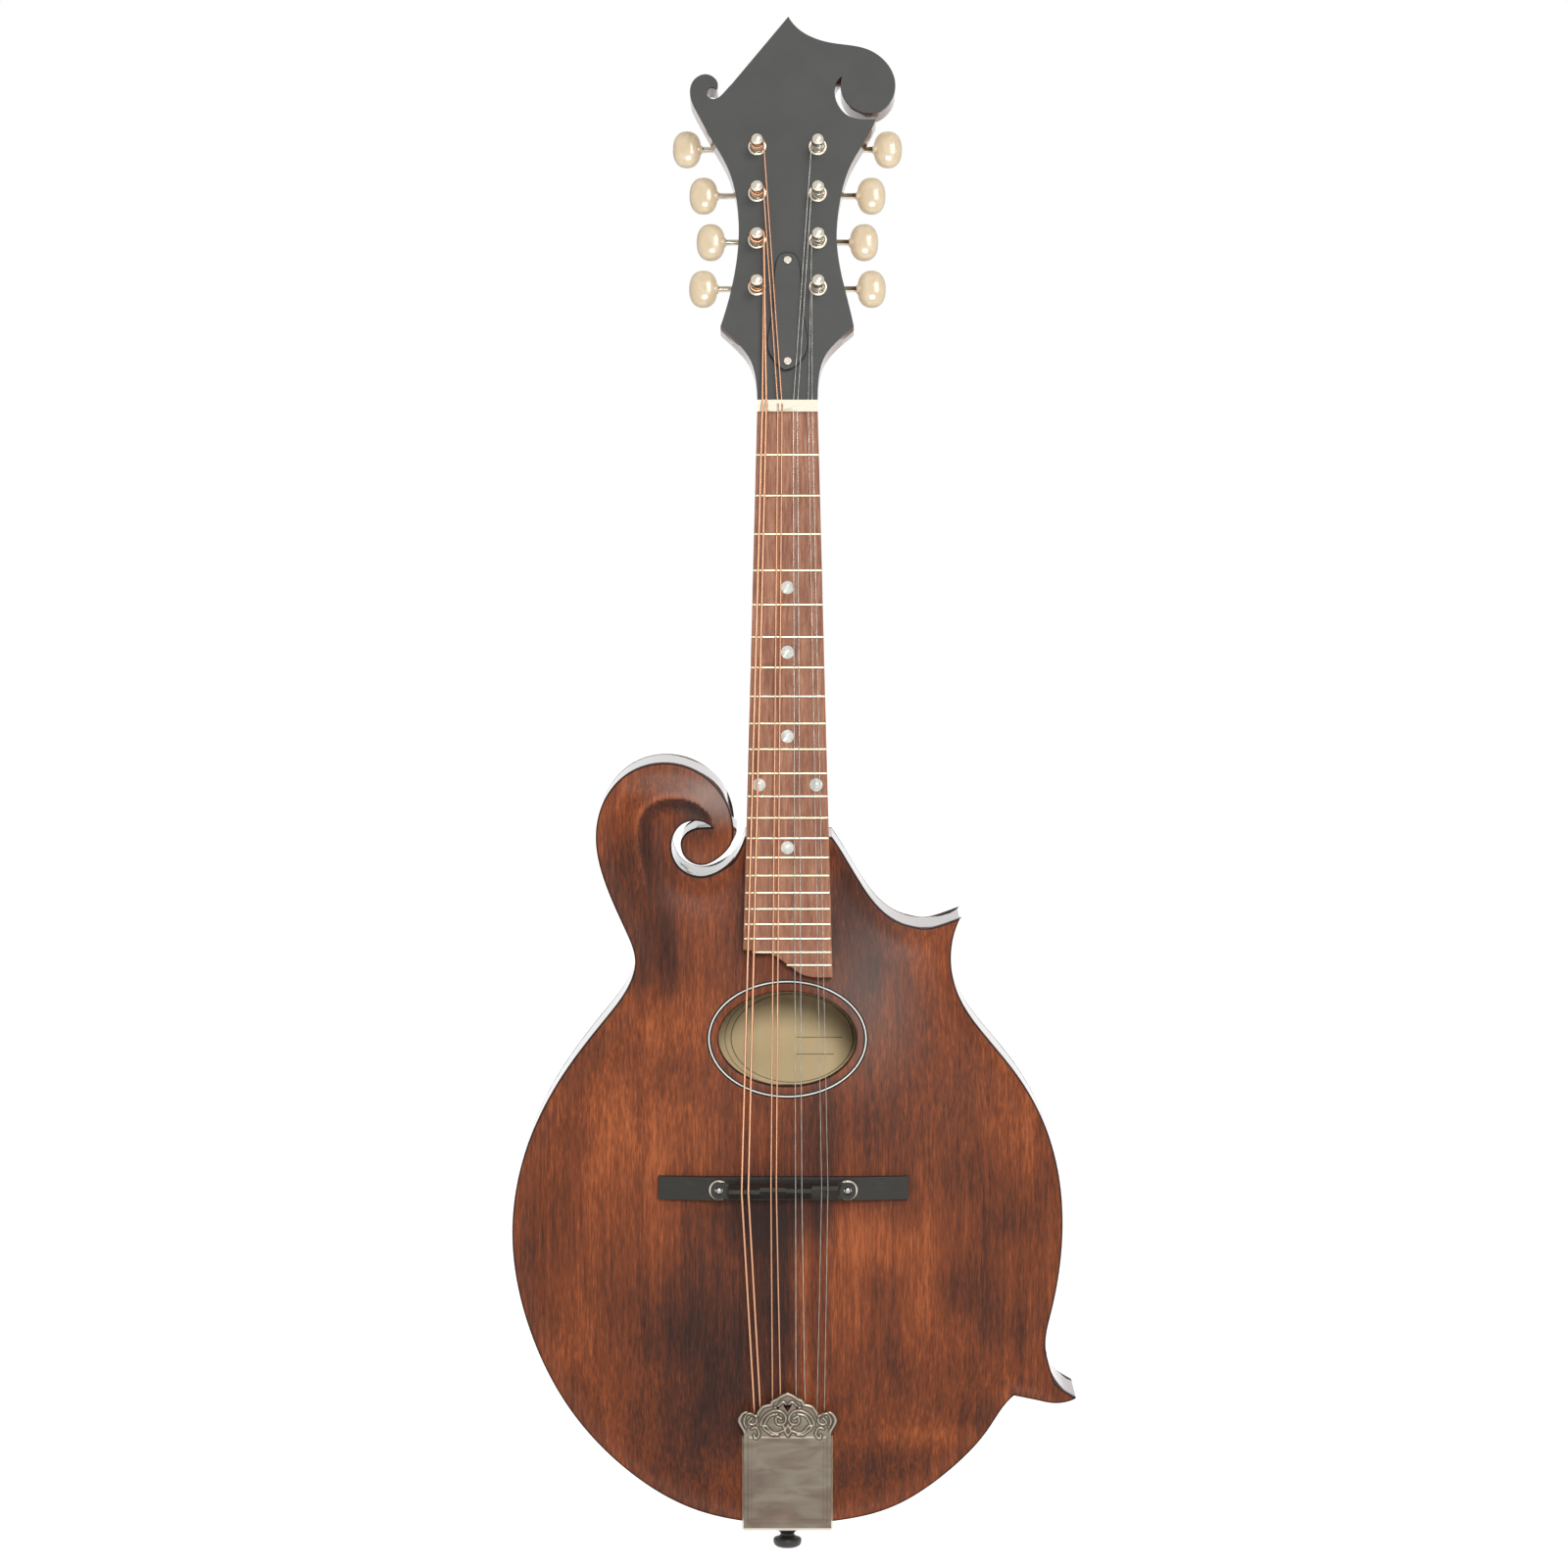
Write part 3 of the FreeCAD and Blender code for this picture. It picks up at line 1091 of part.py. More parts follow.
def make_saddle(tools):
    """The saddle: a beam with two round ends and a stepped crest, notched for the strings."""
    left, right = stud_places()
    parts = [box(left, right, SADDLE_BACK - SADDLE_SHOULDER_HEIGHT, SADDLE_BACK,
                 BRIDGE_Z - SADDLE_WIDTH / 2, BRIDGE_Z + SADDLE_WIDTH / 2)]
    edges = [-SADDLE_CREST_HALF_LENGTH]
    for index in (1, 3, 5):
        middle = (SADDLE_STRING_SHARES[index] + SADDLE_STRING_SHARES[index + 1]) / 2
        edges.append(middle * STUD_HALF_SPACING)
    edges.append(SADDLE_CREST_HALF_LENGTH)
    half, narrow = SADDLE_WIDTH / 2, SADDLE_CREST_WIDTH / 2
    for index in range(4):
        crest_z = SADDLE_Z + crest_shift(2 * index)
        low, high = edges[index] + BRIDGE_OFFSET, edges[index + 1] + BRIDGE_OFFSET
        corners = [V(low, SADDLE_BACK - SADDLE_SHOULDER_HEIGHT, BRIDGE_Z - half),
                   V(low, -STRING_HEIGHT_AT_SADDLE, crest_z - narrow),
                   V(low, -STRING_HEIGHT_AT_SADDLE, crest_z + narrow),
                   V(low, SADDLE_BACK - SADDLE_SHOULDER_HEIGHT, BRIDGE_Z + half)]
        parts.append(Part.Face(Part.makePolygon(corners + corners[:1])).extrude(V(high - low, 0, 0)))
    for x in (left, right):
        parts.append(forward_rod(SADDLE_END_RADIUS, x, BRIDGE_Z, SADDLE_BACK,
                                 SADDLE_BACK - SADDLE_END_HEIGHT))
    holes = [forward_rod(STUD_RADIUS + STUD_HOLE_GAP, x, BRIDGE_Z, 0, -2 * OVERRUN)
             for x in (left, right)]
    return without(joined(parts), holes + tools)


PLATE_BACK_Y = -(GLUE_PLANE + EDGE_THICKNESS + BASE_PLATE_STANDOFF)
PLATE_FRONT_Y = PLATE_BACK_Y - BASE_PLATE_THICKNESS
STRING_START = V(0, PLATE_FRONT_Y - COMB_HEIGHT / 2, TAIL_Z + COMB_AT)


def make_end_plate():
    """The part of the tailpiece that follows the rim round the tail."""
    outside = body_prism(PLATE_FRONT_Y, END_PLATE_DEPTH)
    lowered = outside.copy()
    lowered.translate(V(0, 0, -BASE_PLATE_THICKNESS))
    zone = box(-END_PLATE_HALF_WIDTH, END_PLATE_HALF_WIDTH, PLATE_FRONT_Y, END_PLATE_DEPTH,
               TAIL_Z - 2 * BASE_PLATE_THICKNESS, TAIL_Z + COMB_AT)
    return zone.cut(outside).common(lowered)


def make_tailpiece_base(tools, cuts):
    """Front plate, end plate and a comb with a hole for each string."""
    front = box(-BASE_PLATE_HALF_WIDTH, BASE_PLATE_HALF_WIDTH, PLATE_FRONT_Y, PLATE_BACK_Y,
                TAIL_Z - BASE_PLATE_THICKNESS / 2, TAIL_Z + BASE_PLATE_HEIGHT)
    comb = box(-COMB_HALF_WIDTH, COMB_HALF_WIDTH, PLATE_FRONT_Y - COMB_HEIGHT, PLATE_FRONT_Y,
               TAIL_Z + COMB_AT - COMB_THICKNESS / 2, TAIL_Z + COMB_AT + COMB_THICKNESS / 2)
    return without(joined([front, comb, make_end_plate()]), tools + cuts)


def tail_screw_blanks():
    """Three screws up into the tail block, before the end plate is taken out of them."""
    screws = []
    for x, y in ((-TAIL_SCREW_HALF_SPACING, TAIL_SCREW_DEPTH), (0, MIDDLE_SCREW_DEPTH),
                 (TAIL_SCREW_HALF_SPACING, TAIL_SCREW_DEPTH)):
        base = TAIL_Z - BASE_PLATE_THICKNESS
        shank = Part.makeCylinder(TAIL_SCREW_RADIUS, TAIL_SCREW_LENGTH, V(x, y, base))
        head = Part.makeCylinder(TAIL_SCREW_HEAD_RADIUS, 2 * TAIL_SCREW_HEAD_HEIGHT,
                                 V(x, y, base - TAIL_SCREW_HEAD_HEIGHT))
        screws.append((shank, head))
    return screws


def make_end_pin():
    """The strap pin at the tail: a round face, a land, a neck and a collar on its shank."""
    base = TAIL_Z - BASE_PLATE_THICKNESS
    profile = [
        (0, 0), (PIN_FACE_RADIUS, 0), (PIN_LAND_RADIUS, PIN_LAND_START),
        (PIN_LAND_RADIUS, PIN_LAND_START + PIN_LAND_LENGTH), (PIN_NECK_RADIUS, PIN_NECK_AT),
        (PIN_COLLAR_RADIUS, PIN_COLLAR_AT), (PIN_COLLAR_RADIUS, base), (PIN_SHANK_RADIUS, base),
        (PIN_SHANK_RADIUS, base + PIN_SHANK_LENGTH), (0, base + PIN_SHANK_LENGTH),
    ]
    return turned(profile, V(0, 0, 0), V(0, 0, 1))


COVER_FRAME = Placement(V(0, -(GLUE_PLANE + EDGE_THICKNESS + COVER_STANDOFF), TAIL_Z),
                        Rotation(V(1, 0, 0), COVER_TILT))


def cover_points(shares):
    """Cover points in its own frame, from shares of the tailpiece's half width and length."""
    return [V(x * TAILPIECE_HALF_WIDTH, 0, z * TAILPIECE_LENGTH) for x, z in shares]


def cover_opening(x_share, z_share, size_share):
    """A small three-cornered opening with its point down."""
    centre = cover_points(((x_share, z_share),))[0]
    across = V(COVER_OPENING_HALF_WIDTH * size_share, 0, 0)
    up = V(0, 0, COVER_OPENING_LENGTH * size_share / 2)
    ahead = V(0, -OVERRUN, 0)
    corners = [centre + ahead + up - across, centre + ahead + up + across, centre + ahead - up]
    return Part.Face(Part.makePolygon(corners + corners[:1])).extrude(ahead * -2)


def make_cover():
    """The engraved cover: a lobed sheet with a raised panel, two side walls and a bottom wall."""
    bottom = -(BASE_PLATE_THICKNESS + COVER_GAP + SHEET)
    half = LOBE_SHARES[0][0][0] * TAILPIECE_HALF_WIDTH
    right = [V(half, 0, bottom), cover_points(LOBE_SHARES[0])[0]]
    edges = [line_edge(*right)]
    left = [line_edge(V(-half, 0, bottom), V(-half, 0, right[1].z))]
    for shares in LOBE_SHARES:
        points = cover_points(shares)
        edges.append(spline_edge(points))
        left.append(spline_edge([V(-point.x, 0, point.z) for point in points]))
    edges += list(reversed(left))
    edges.append(line_edge(V(-half, 0, bottom), V(half, 0, bottom)))
    sheet = prism(edges, -SHEET, 0)
    panel = box(-COVER_PANEL_HALF_WIDTH, COVER_PANEL_HALF_WIDTH, -SHEET - COVER_PANEL_HEIGHT,
                -SHEET, COVER_PANEL_MARGIN, COVER_SIDE_LENGTH)
    deep = COVER_STANDOFF + EDGE_THICKNESS
    walls = [box(-half, SHEET - half, 0, deep, bottom, COVER_SIDE_LENGTH),
             box(half - SHEET, half, 0, deep, bottom, COVER_SIDE_LENGTH),
             box(-half, half, 0, deep, bottom, bottom + SHEET)]
    openings = [cover_opening(*shares) for shares in COVER_OPENING_SHARES]
    cover = placed(without(joined([sheet, panel] + walls), openings), COVER_FRAME)
    rim = box(-BODY_HALF_WIDTH, BODY_HALF_WIDTH, -(GLUE_PLANE + EDGE_THICKNESS + COVER_GAP),
              GLUE_PLANE, 0, BODY_LENGTH)
    reach = BASE_PLATE_HALF_WIDTH + COVER_GAP
    base_way = box(-reach, reach, PLATE_FRONT_Y - COVER_GAP, GLUE_PLANE, 0, BODY_LENGTH)
    return without(cover, [rim, base_way, behind_top(-COVER_GAP)])


def arc_edge(start, corner, end):
    """The arc that leaves and arrives along the two sides of a corner."""
    middle = (start + end) * 0.5
    lean = (end - start).Length / 2 / (corner - start).Length
    return Part.Arc(start, middle + (corner - middle) * (lean / (1 + lean)), end).toShape()


def two_arcs(start, leaving, end, arriving):
    """Two arcs with equal sides from one place and direction to another."""
    across = end - start
    bend = 2 * (1 - leaving.dot(arriving))
    along = 2 * across.dot(leaving + arriving)
    side = 2 * across.dot(across) / (along + math.sqrt(along ** 2 + 4 * bend * across.dot(across)))
    first = start + leaving * side
    second = end - arriving * side
    meeting = (first + second) * 0.5
    return [arc_edge(start, first, meeting), arc_edge(meeting, second, end)]


def direction(first, second):
    """Unit vector from one place to another."""
    return (second - first) * (1 / (second - first).Length)


def bend(corner, before, after, radius):
    """The rounded corner of a string: its start, its end and the arc between them."""
    arriving, leaving = direction(before, corner), direction(corner, after)
    reach = radius * math.tan(arriving.getAngle(leaving) / 2)
    start, end = corner - arriving * reach, corner + leaving * reach
    return start, end, arc_edge(start, corner, end)


def string_places(index):
    """Comb, saddle and nut places of one string."""
    radius = STRING_RADII[index]
    comb = STRING_START + V(HOOK_STRING_SHARES[index] * TAILPIECE_HALF_WIDTH, 0, 0)
    saddle = V(BRIDGE_OFFSET + SADDLE_STRING_SHARES[index] * STUD_HALF_SPACING,
               -STRING_HEIGHT_AT_SADDLE, SADDLE_Z + crest_shift(index))
    nut = NECK_FRAME.multVec(V(NUT_STRING_SHARES[index] * NUT_HALF_WIDTH,
                               -(FRET_HEIGHT + NUT_STRING_GAP + radius), NUT_LENGTH / 2))
    return comb, saddle, nut


def winding_place(index, turn):
    """Place and direction on a string's winding, in the head's frame, after some turns."""
    side = -1 if index < 4 else 1
    radius = POST_WAIST_RADIUS + POST_STRING_GAP + STRING_RADII[index]
    pitch = 2 * STRING_RADII[index] + TURN_GAP
    centre = V(side * POST_OFFSET, 0, post_place(STRING_POSTS[index]))
    nut = HEAD_FRAME.inverse().multVec(string_places(index)[2])
    away = V(nut.x - centre.x, 0, nut.z - centre.z)
    start = math.atan2(away.z, away.x) - side * math.acos(radius / away.Length)
    angle = start - side * 2 * math.pi * turn
    place = centre + V(radius * math.cos(angle), pitch * turn - TURN_STARTS[index],
                       radius * math.sin(angle))
    rise = pitch / (2 * math.pi * radius)
    way = V(side * math.sin(angle), rise, -side * math.cos(angle))
    return place, way * (1 / way.Length)


def string_path(index):
    """A string's centre line, from the comb over saddle and nut and round its post."""
    comb, saddle, nut = string_places(index)
    tail = comb - direction(comb, saddle) * STRING_TAIL
    place = winding_place(index, 0)[0]
    post = HEAD_FRAME.multVec(place)
    over_saddle = bend(saddle, comb, nut, SADDLE_BEND_RADIUS)
    over_nut = bend(nut, saddle, post, NUT_BEND_RADIUS)
    edges = [line_edge(tail, over_saddle[0]), over_saddle[2],
             line_edge(over_saddle[1], over_nut[0]), over_nut[2],
             line_edge(over_nut[1], post)]
    leaving = direction(over_nut[1], post)
    for quarter in range(int(4 * STRING_TURNS[index])):
        end, way = winding_place(index, (quarter + 1) / 4)
        end, way = HEAD_FRAME.multVec(end), HEAD_FRAME.Rotation.multVec(way)
        edges += two_arcs(post, leaving, end, way)
        post, leaving = end, way
    return edges


def make_string(index):
    """One string as a single tube along its path."""
    edges = string_path(index)
    start = edges[0].valueAt(edges[0].FirstParameter)
    heading = edges[0].tangentAt(edges[0].FirstParameter)
    circle = Part.Wire(Part.Circle(start, heading, STRING_RADII[index]).toShape())
    path = Part.Wire(edges)
    tube = path.makePipeShell([circle], True)
    least = 2 * STRING_RADII[index] + TURN_GAP
    rise = least * math.cos(math.atan(least / (2 * math.pi * POST_WAIST_RADIUS)))
    print("string", index, "least gap of the winding to itself",
          round(rise - 2 * STRING_RADII[index], 3), "valid", tube.isValid(),
          "volume share", round(tube.Volume / path.Length / math.pi / STRING_RADII[index] ** 2, 3))
    return tube


def string_tools(index):
    """Round cutters along a string at its comb, its saddle and its nut."""
    comb, saddle, nut = string_places(index)
    post = HEAD_FRAME.multVec(winding_place(index, 0)[0])
    radius = STRING_RADII[index] + STRING_CLEARANCE
    back, ahead = direction(saddle, comb), direction(saddle, nut)
    up = direction(nut, post)
    at_comb = Part.makeCylinder(radius, OVERRUN, comb + back * (OVERRUN / 2), back * -1)
    at_saddle = [Part.makeCylinder(radius, OVERRUN, saddle - way * radius, way)
                 for way in (back, ahead)]
    at_nut = [Part.makeCylinder(radius, OVERRUN, nut - way * radius, way)
              for way in (ahead * -1, up)]
    return at_comb, at_saddle, at_nut


def make_label():
    """A paper label glued inside the back, under the sound hole."""
    sheet = box(-LABEL_HALF_WIDTH, LABEL_HALF_WIDTH, 0, GLUE_PLANE + OVERRUN,
                HOLE_Z - LABEL_HALF_HEIGHT, HOLE_Z + LABEL_HALF_HEIGHT)
    sheet = sheet.common(inwards(BACK_HOLLOW_FACE, GLUE_LINE, 1))
    return sheet.cut(inwards(BACK_HOLLOW_FACE, GLUE_LINE + LABEL_THICKNESS, 1))


def make_brace():
    """A spruce bar across the inside of the soundboard."""
    z = TAIL_Z + BRACE_SHARE * BODY_LENGTH
    deep = top_y(0, z) + TOP_THICKNESS + BRACE_HEIGHT
    bar = box(-BRACE_HALF_LENGTH, BRACE_HALF_LENGTH, -GLUE_PLANE - OVERRUN, deep,
              z - BRACE_WIDTH / 2, z + BRACE_WIDTH / 2)
    return bar.common(inwards(TOP_HOLLOW_FACE, GLUE_LINE, -1))


def make_tail_block(cuts):
    """The block at the tail that takes the end pin and the tailpiece's screws."""
    block = box(-TAIL_BLOCK_HALF_WIDTH, TAIL_BLOCK_HALF_WIDTH, -GLUE_PLANE, GLUE_PLANE, TAIL_Z,
                TAIL_Z + TAIL_BLOCK_HEIGHT)
    return largest(without(block, cuts))


def make_head_block(inner, cuts):
    """The block that fills the scroll and takes the neck's tenon."""
    corners = body_points(HEAD_BLOCK_SHARES)
    edges = [line_edge(first, second) for first, second in zip(corners, corners[1:] + corners[:1])]
    block = without(prism(edges, -GLUE_PLANE, GLUE_PLANE).common(inner), cuts)
    return max(block.Solids, key=lambda solid: solid.Volume)


tools = [string_tools(index) for index in range(8)]
comb_tools = [tool[0] for tool in tools]
saddle_tools = [part for tool in tools for part in tool[1]]
nut_tools = [part for tool in tools for part in tool[2]]

outline = body_prism(-GLUE_PLANE, GLUE_PLANE)
ring = ellipse_ring(RING_DEPTH)
pin = make_end_pin()
end_plate = make_end_plate()
pin_bore = Part.makeCylinder(PIN_SHANK_RADIUS + SEAT_GAP, PIN_SHANK_LENGTH,
                             V(0, 0, TAIL_Z - BASE_PLATE_THICKNESS))
shanks = [shank for shank, head in tail_screw_blanks()]
tail_screws = [joined([shank, head.cut(end_plate).cut(outline)]) for shank, head in
               tail_screw_blanks()]
ribs = [without(rib, shanks + [pin_bore]) for rib in make_ribs(outline)]
upper_block = largest(without(disc_zone(UPPER_POINT_SHARES).common(outline), ribs))
lower_block = largest(without(disc_zone(LOWER_POINT_SHARES).common(outline), ribs))
tail_block = make_tail_block(ribs + shanks + [pin_bore])
head_block = make_head_block(outline, ribs + [tenon(), upper_block])
blocks = [upper_block, lower_block, tail_block, head_block]

cover_screws = [head_screw(0, z, COVER_SCREW_RADIUS, COVER_SCREW_LENGTH, COVER_SCREW_HEAD_RADIUS,
                           COVER_SCREW_HEAD_HEIGHT, -COVER_PLATE_THICKNESS, -1)
                for z in rod_cover_screw_places()]
bass_screws, treble_screws = make_plate_screws(-1), make_plate_screws(1)
nut = placed(box(-NUT_HALF_WIDTH, NUT_HALF_WIDTH, -NUT_PROUD, BOARD_THICKNESS, 0, NUT_LENGTH),
             NECK_FRAME)
head_cuts = [nut, rod_pocket()] + post_holes() + cover_screws
head_face = placed(prism(head_edges(), 0, HEAD_PLATE_THICKNESS), HEAD_FRAME)
frets = make_frets()
dots = make_dots()
board = without(board_prism(0, BOARD_THICKNESS), frets + dots)
studs = make_studs()

NODES = {
    "soundboard": make_soundboard(ring),
    "back_plate": make_back(),
    "ribs": group(ribs),
    "head_block": head_block,
    "tail_block": tail_block,
    "point_blocks": group([upper_block, lower_block]),
    "linings": group(make_linings(blocks)),
    "cross_brace": make_brace(),
    "rosette": ring,
    "paper_label": make_label(),
    "neck": make_neck(head_cuts + bass_screws + treble_screws + [truss_rod()]),
    "head_plate": without(head_face, head_cuts),
    "nut": without(nut, nut_tools),
    "fingerboard": placed(board, NECK_FRAME),
    "fingerboard_riser": make_riser(),
    "frets": group([placed(fret, NECK_FRAME) for fret in frets]),
    "position_dots": group([placed(dot, NECK_FRAME) for dot in dots]),
    "truss_rod": truss_rod(),
    "truss_rod_nut": truss_rod_nut(),
    "truss_cover": make_rod_cover(cover_screws),
    "truss_cover_screws": group(cover_screws),
    "tuner_plate_bass": make_tuner_plate(-1, bass_screws),
    "tuner_plate_treble": make_tuner_plate(1, treble_screws),
    "post_bushings": group([make_bushing(side * POST_OFFSET, post_place(number))
                            for side in (-1, 1) for number in range(4)]),
    "tuner_plate_screws": group(bass_screws + treble_screws),
    "bridge_base": make_bridge_base(studs),
    "bridge_studs": group(studs),
    "thumbwheel_bass": make_wheel(stud_places()[0]),
    "thumbwheel_treble": make_wheel(stud_places()[1]),
    "bridge_saddle": make_saddle(saddle_tools),
    "tailpiece_base": make_tailpiece_base(comb_tools, shanks + [pin_bore]),
    "tailpiece_cover": make_cover(),
    "tailpiece_screws": group(tail_screws),
    "end_pin": pin,
    "wound_strings": group([make_string(index) for index in range(4)]),
    "plain_strings": group([make_string(index) for index in range(4, 8)]),
}
for side, name in ((-1, "bass"), (1, "treble")):
    for number in range(4):
        post = make_post(side * POST_OFFSET, post_place(number))
        label = f"{name}_{number + 1}"
        NODES["string_post_" + label] = group([placed(part, HEAD_FRAME) for part in post])
        NODES["worm_shaft_" + label] = make_worm(side, number)
        NODES["tuner_button_" + label] = make_button(side, number)

for name, shape in NODES.items():
    if shape.ShapeType == "Compound" and len(shape.Solids) == 1:
        shape = shape.Solids[0]
    shape.exportStep(f"parts/{name}.step")
    print(name, shape.ShapeType, len(shape.Solids), shape.isValid(), round(shape.Volume, 1))
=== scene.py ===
"""Surfaces, finishes and setting of a carved mandolin, fitted to its solid parts."""

import json
import math

import bmesh
import bpy
import numpy as np
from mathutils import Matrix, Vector
from mathutils.geometry import delaunay_2d_cdt

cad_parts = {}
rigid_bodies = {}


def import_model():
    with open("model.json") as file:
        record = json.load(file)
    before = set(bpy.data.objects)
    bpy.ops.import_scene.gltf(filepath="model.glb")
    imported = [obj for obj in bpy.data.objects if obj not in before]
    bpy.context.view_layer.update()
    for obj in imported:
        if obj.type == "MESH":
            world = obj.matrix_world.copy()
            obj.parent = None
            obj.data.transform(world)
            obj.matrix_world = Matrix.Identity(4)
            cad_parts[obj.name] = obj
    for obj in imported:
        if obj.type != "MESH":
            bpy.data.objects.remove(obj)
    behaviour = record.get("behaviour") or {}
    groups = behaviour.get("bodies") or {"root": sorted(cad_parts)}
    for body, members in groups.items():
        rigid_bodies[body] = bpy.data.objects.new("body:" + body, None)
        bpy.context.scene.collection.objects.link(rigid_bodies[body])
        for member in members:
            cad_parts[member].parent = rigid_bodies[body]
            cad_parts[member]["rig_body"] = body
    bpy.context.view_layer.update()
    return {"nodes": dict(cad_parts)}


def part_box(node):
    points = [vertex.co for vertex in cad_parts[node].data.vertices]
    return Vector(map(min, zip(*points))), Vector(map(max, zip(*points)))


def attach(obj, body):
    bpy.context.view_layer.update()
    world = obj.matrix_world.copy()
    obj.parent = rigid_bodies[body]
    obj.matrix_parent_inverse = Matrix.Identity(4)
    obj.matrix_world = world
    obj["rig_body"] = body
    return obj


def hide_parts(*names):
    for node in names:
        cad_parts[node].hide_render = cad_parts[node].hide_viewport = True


bl_info = {
    "name": "Carved Mandolin",
    "version": (1, 0, 0),
    "blender": (4, 5, 0),
    "location": "3D View > Sidebar > Mandolin",
    "description": "Woods, metals, strings and engraving of a carved mandolin with a scroll",
    "category": "Add Mesh",
}

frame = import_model()

MM = 0.001

# Places of the instrument, in millimetres. X is to the right as seen from the front, Y points
# away from the viewer, and Z from the tail to the head.
TAIL_Z = 15.8
BODY_LENGTH = 354.1
BODY_HALF_WIDTH = 127.1
GLUE_PLANE = 21.0
EDGE_THICKNESS = 5.0
JOINT_Z = TAIL_Z + 0.9031 * BODY_LENGTH
HOLE_Z = TAIL_Z + 0.642 * BODY_LENGTH
HOLE_HALF = np.array([31.7, 21.6])
RING_HALF = np.array([37.1, 27.3])
RING_WIDTH = 2.0
SCALE_LENGTH = 352.4
NUT_TO_JOINT = 195.75
NECK_TILT = 5.0
HEAD_TILT = 14.0
NUT_HALF_WIDTH = 13.9
NUT_LENGTH = 5.4
FRET_HEIGHT = 1.0
FRET_WIDTH = 1.3
BRIDGE_OFFSET = -1.9
STUD_HALF_SPACING = 29.5
STRING_HEIGHT_AT_SADDLE = 52.5
CREST_STEP = 0.9
FIRST_POST = 54.4
POST_SPACING = 22.75
POST_OFFSET = 14.0
POST_RADIUS = 2.9
WAIST_RADIUS = 2.4
HEAD_THICKNESS = 14.5
PLATE_THICKNESS = 1.2
GEAR_STANDOFF = 3.6
GEAR_THICKNESS = 2.4
GEAR_TEETH = 16
WORM_OFFSET = 5.4
COVER_HALF_WIDTH = 21.15
COVER_LENGTH = 66.6
COVER_BOTTOM = -2.3
COVER_FLARE = 2.3
COVER_THICKNESS = 0.8

# The body's outline in shares of its half width and length, clockwise as seen in front.
BASS_SHARES = (
    (0.0, 0.0), (-0.17, 0.0046), (-0.343, 0.0201), (-0.585, 0.072), (-0.788, 0.15),
    (-0.934, 0.2536), (-1.0, 0.3827), (-0.957, 0.4857), (-0.821, 0.5888), (-0.66, 0.6659),
    (-0.566, 0.717), (-0.552, 0.7402), (-0.584, 0.7794), (-0.66, 0.8435), (-0.693, 0.9006),
    (-0.666, 0.9486), (-0.571, 0.9876), (-0.431, 1.0), (-0.323, 0.9887), (-0.222, 0.9511),
    (-0.196, 0.9167), (-0.208, 0.8916),
)
EYE_SHARES = (
    (-0.208, 0.8916), (-0.266, 0.8721), (-0.311, 0.8667), (-0.378, 0.8811), (-0.378, 0.9031),
    (-0.33, 0.9144), (-0.272, 0.9158),
)
SLOT_SHARES = (
    (-0.272, 0.9158), (-0.317, 0.9243), (-0.381, 0.9201), (-0.419, 0.8961), (-0.393, 0.8642),
    (-0.311, 0.8515), (-0.222, 0.8642), (-0.161, 0.8961), (-0.154, 0.9031),
)
CUTAWAY_SHARES = (
    (0.161, 0.9031), (0.223, 0.8681), (0.266, 0.8424), (0.347, 0.8057), (0.411, 0.791),
    (0.47, 0.7854), (0.524, 0.7854), (0.624, 0.7967),
)
WAIST_SHARES = (
    (0.624, 0.7967), (0.597, 0.7665), (0.592, 0.7453), (0.62, 0.6964), (0.725, 0.6402),
    (0.839, 0.5888), (0.921, 0.5374), (0.971, 0.4857), (1.0, 0.3948), (0.959, 0.2793),
    (0.94, 0.2321), (0.96, 0.2008), (1.011, 0.1754), (1.051, 0.1666),
)
POINT_SHARES = ((1.051, 0.1666), (0.97, 0.1601), (0.9, 0.1647), (0.826, 0.1706))
TREBLE_SHARES = (
    (0.826, 0.1706), (0.733, 0.1265), (0.592, 0.072), (0.364, 0.0201), (0.18, 0.0046),
    (0.0, 0.0),
)
CREST_SHARES = (
    (-0.272, 0.9235), (-0.297, 0.9396), (-0.355, 0.952), (-0.406, 0.9548), (-0.47, 0.9511),
    (-0.52, 0.9373), (-0.54, 0.9189), (-0.537, 0.8961), (-0.527, 0.8757), (-0.507, 0.8435),
    (-0.476, 0.8071),
)
LOBE_SHARES = (
    ((0.956, 0.6786), (1.046, 0.7356), (1.085, 0.7722), (1.033, 0.8129), (0.854, 0.8349),
     (0.687, 0.8154)),
    ((0.687, 0.8154), (0.61, 0.8577), (0.5, 0.8830), (0.379, 0.8919)),
    ((0.379, 0.8919), (0.33, 0.918), (0.264, 0.9269), (0.123, 0.9554), (0.0, 0.9733)),
)

# The strings, from bass to treble: radius, turns round the post, height of the first turn,
# post, shift of the saddle's crest, and places across nut, saddle and comb.
STRING_RADII = (0.5, 0.5, 0.33, 0.33, 0.19, 0.19, 0.14, 0.14)
STRING_TURNS = (1.5, 2.5, 3.0, 3.0, 3.0, 3.0, 3.5, 3.5)
TURN_STARTS = (5.0, 8.4, 7.8, 7.8, 7.8, 7.8, 8.0, 6.4)
STRING_POSTS = (0, 1, 2, 3, 3, 2, 1, 0)
CREST_SHIFTS = (-1.0, -1.0, 0.2, 0.2, -0.4, -0.4, 1.0, 1.0)
NUT_STRING_SHARES = (-0.827, -0.698, -0.317, -0.18, 0.187, 0.324, 0.683, 0.813)
SADDLE_STRING_SHARES = (-0.646, -0.543, -0.192, -0.109, 0.19, 0.287, 0.595, 0.692)
COMB_STRING_SHARES = (-0.62, -0.49, -0.31, -0.11, 0.19, 0.41, 0.61, 0.78)


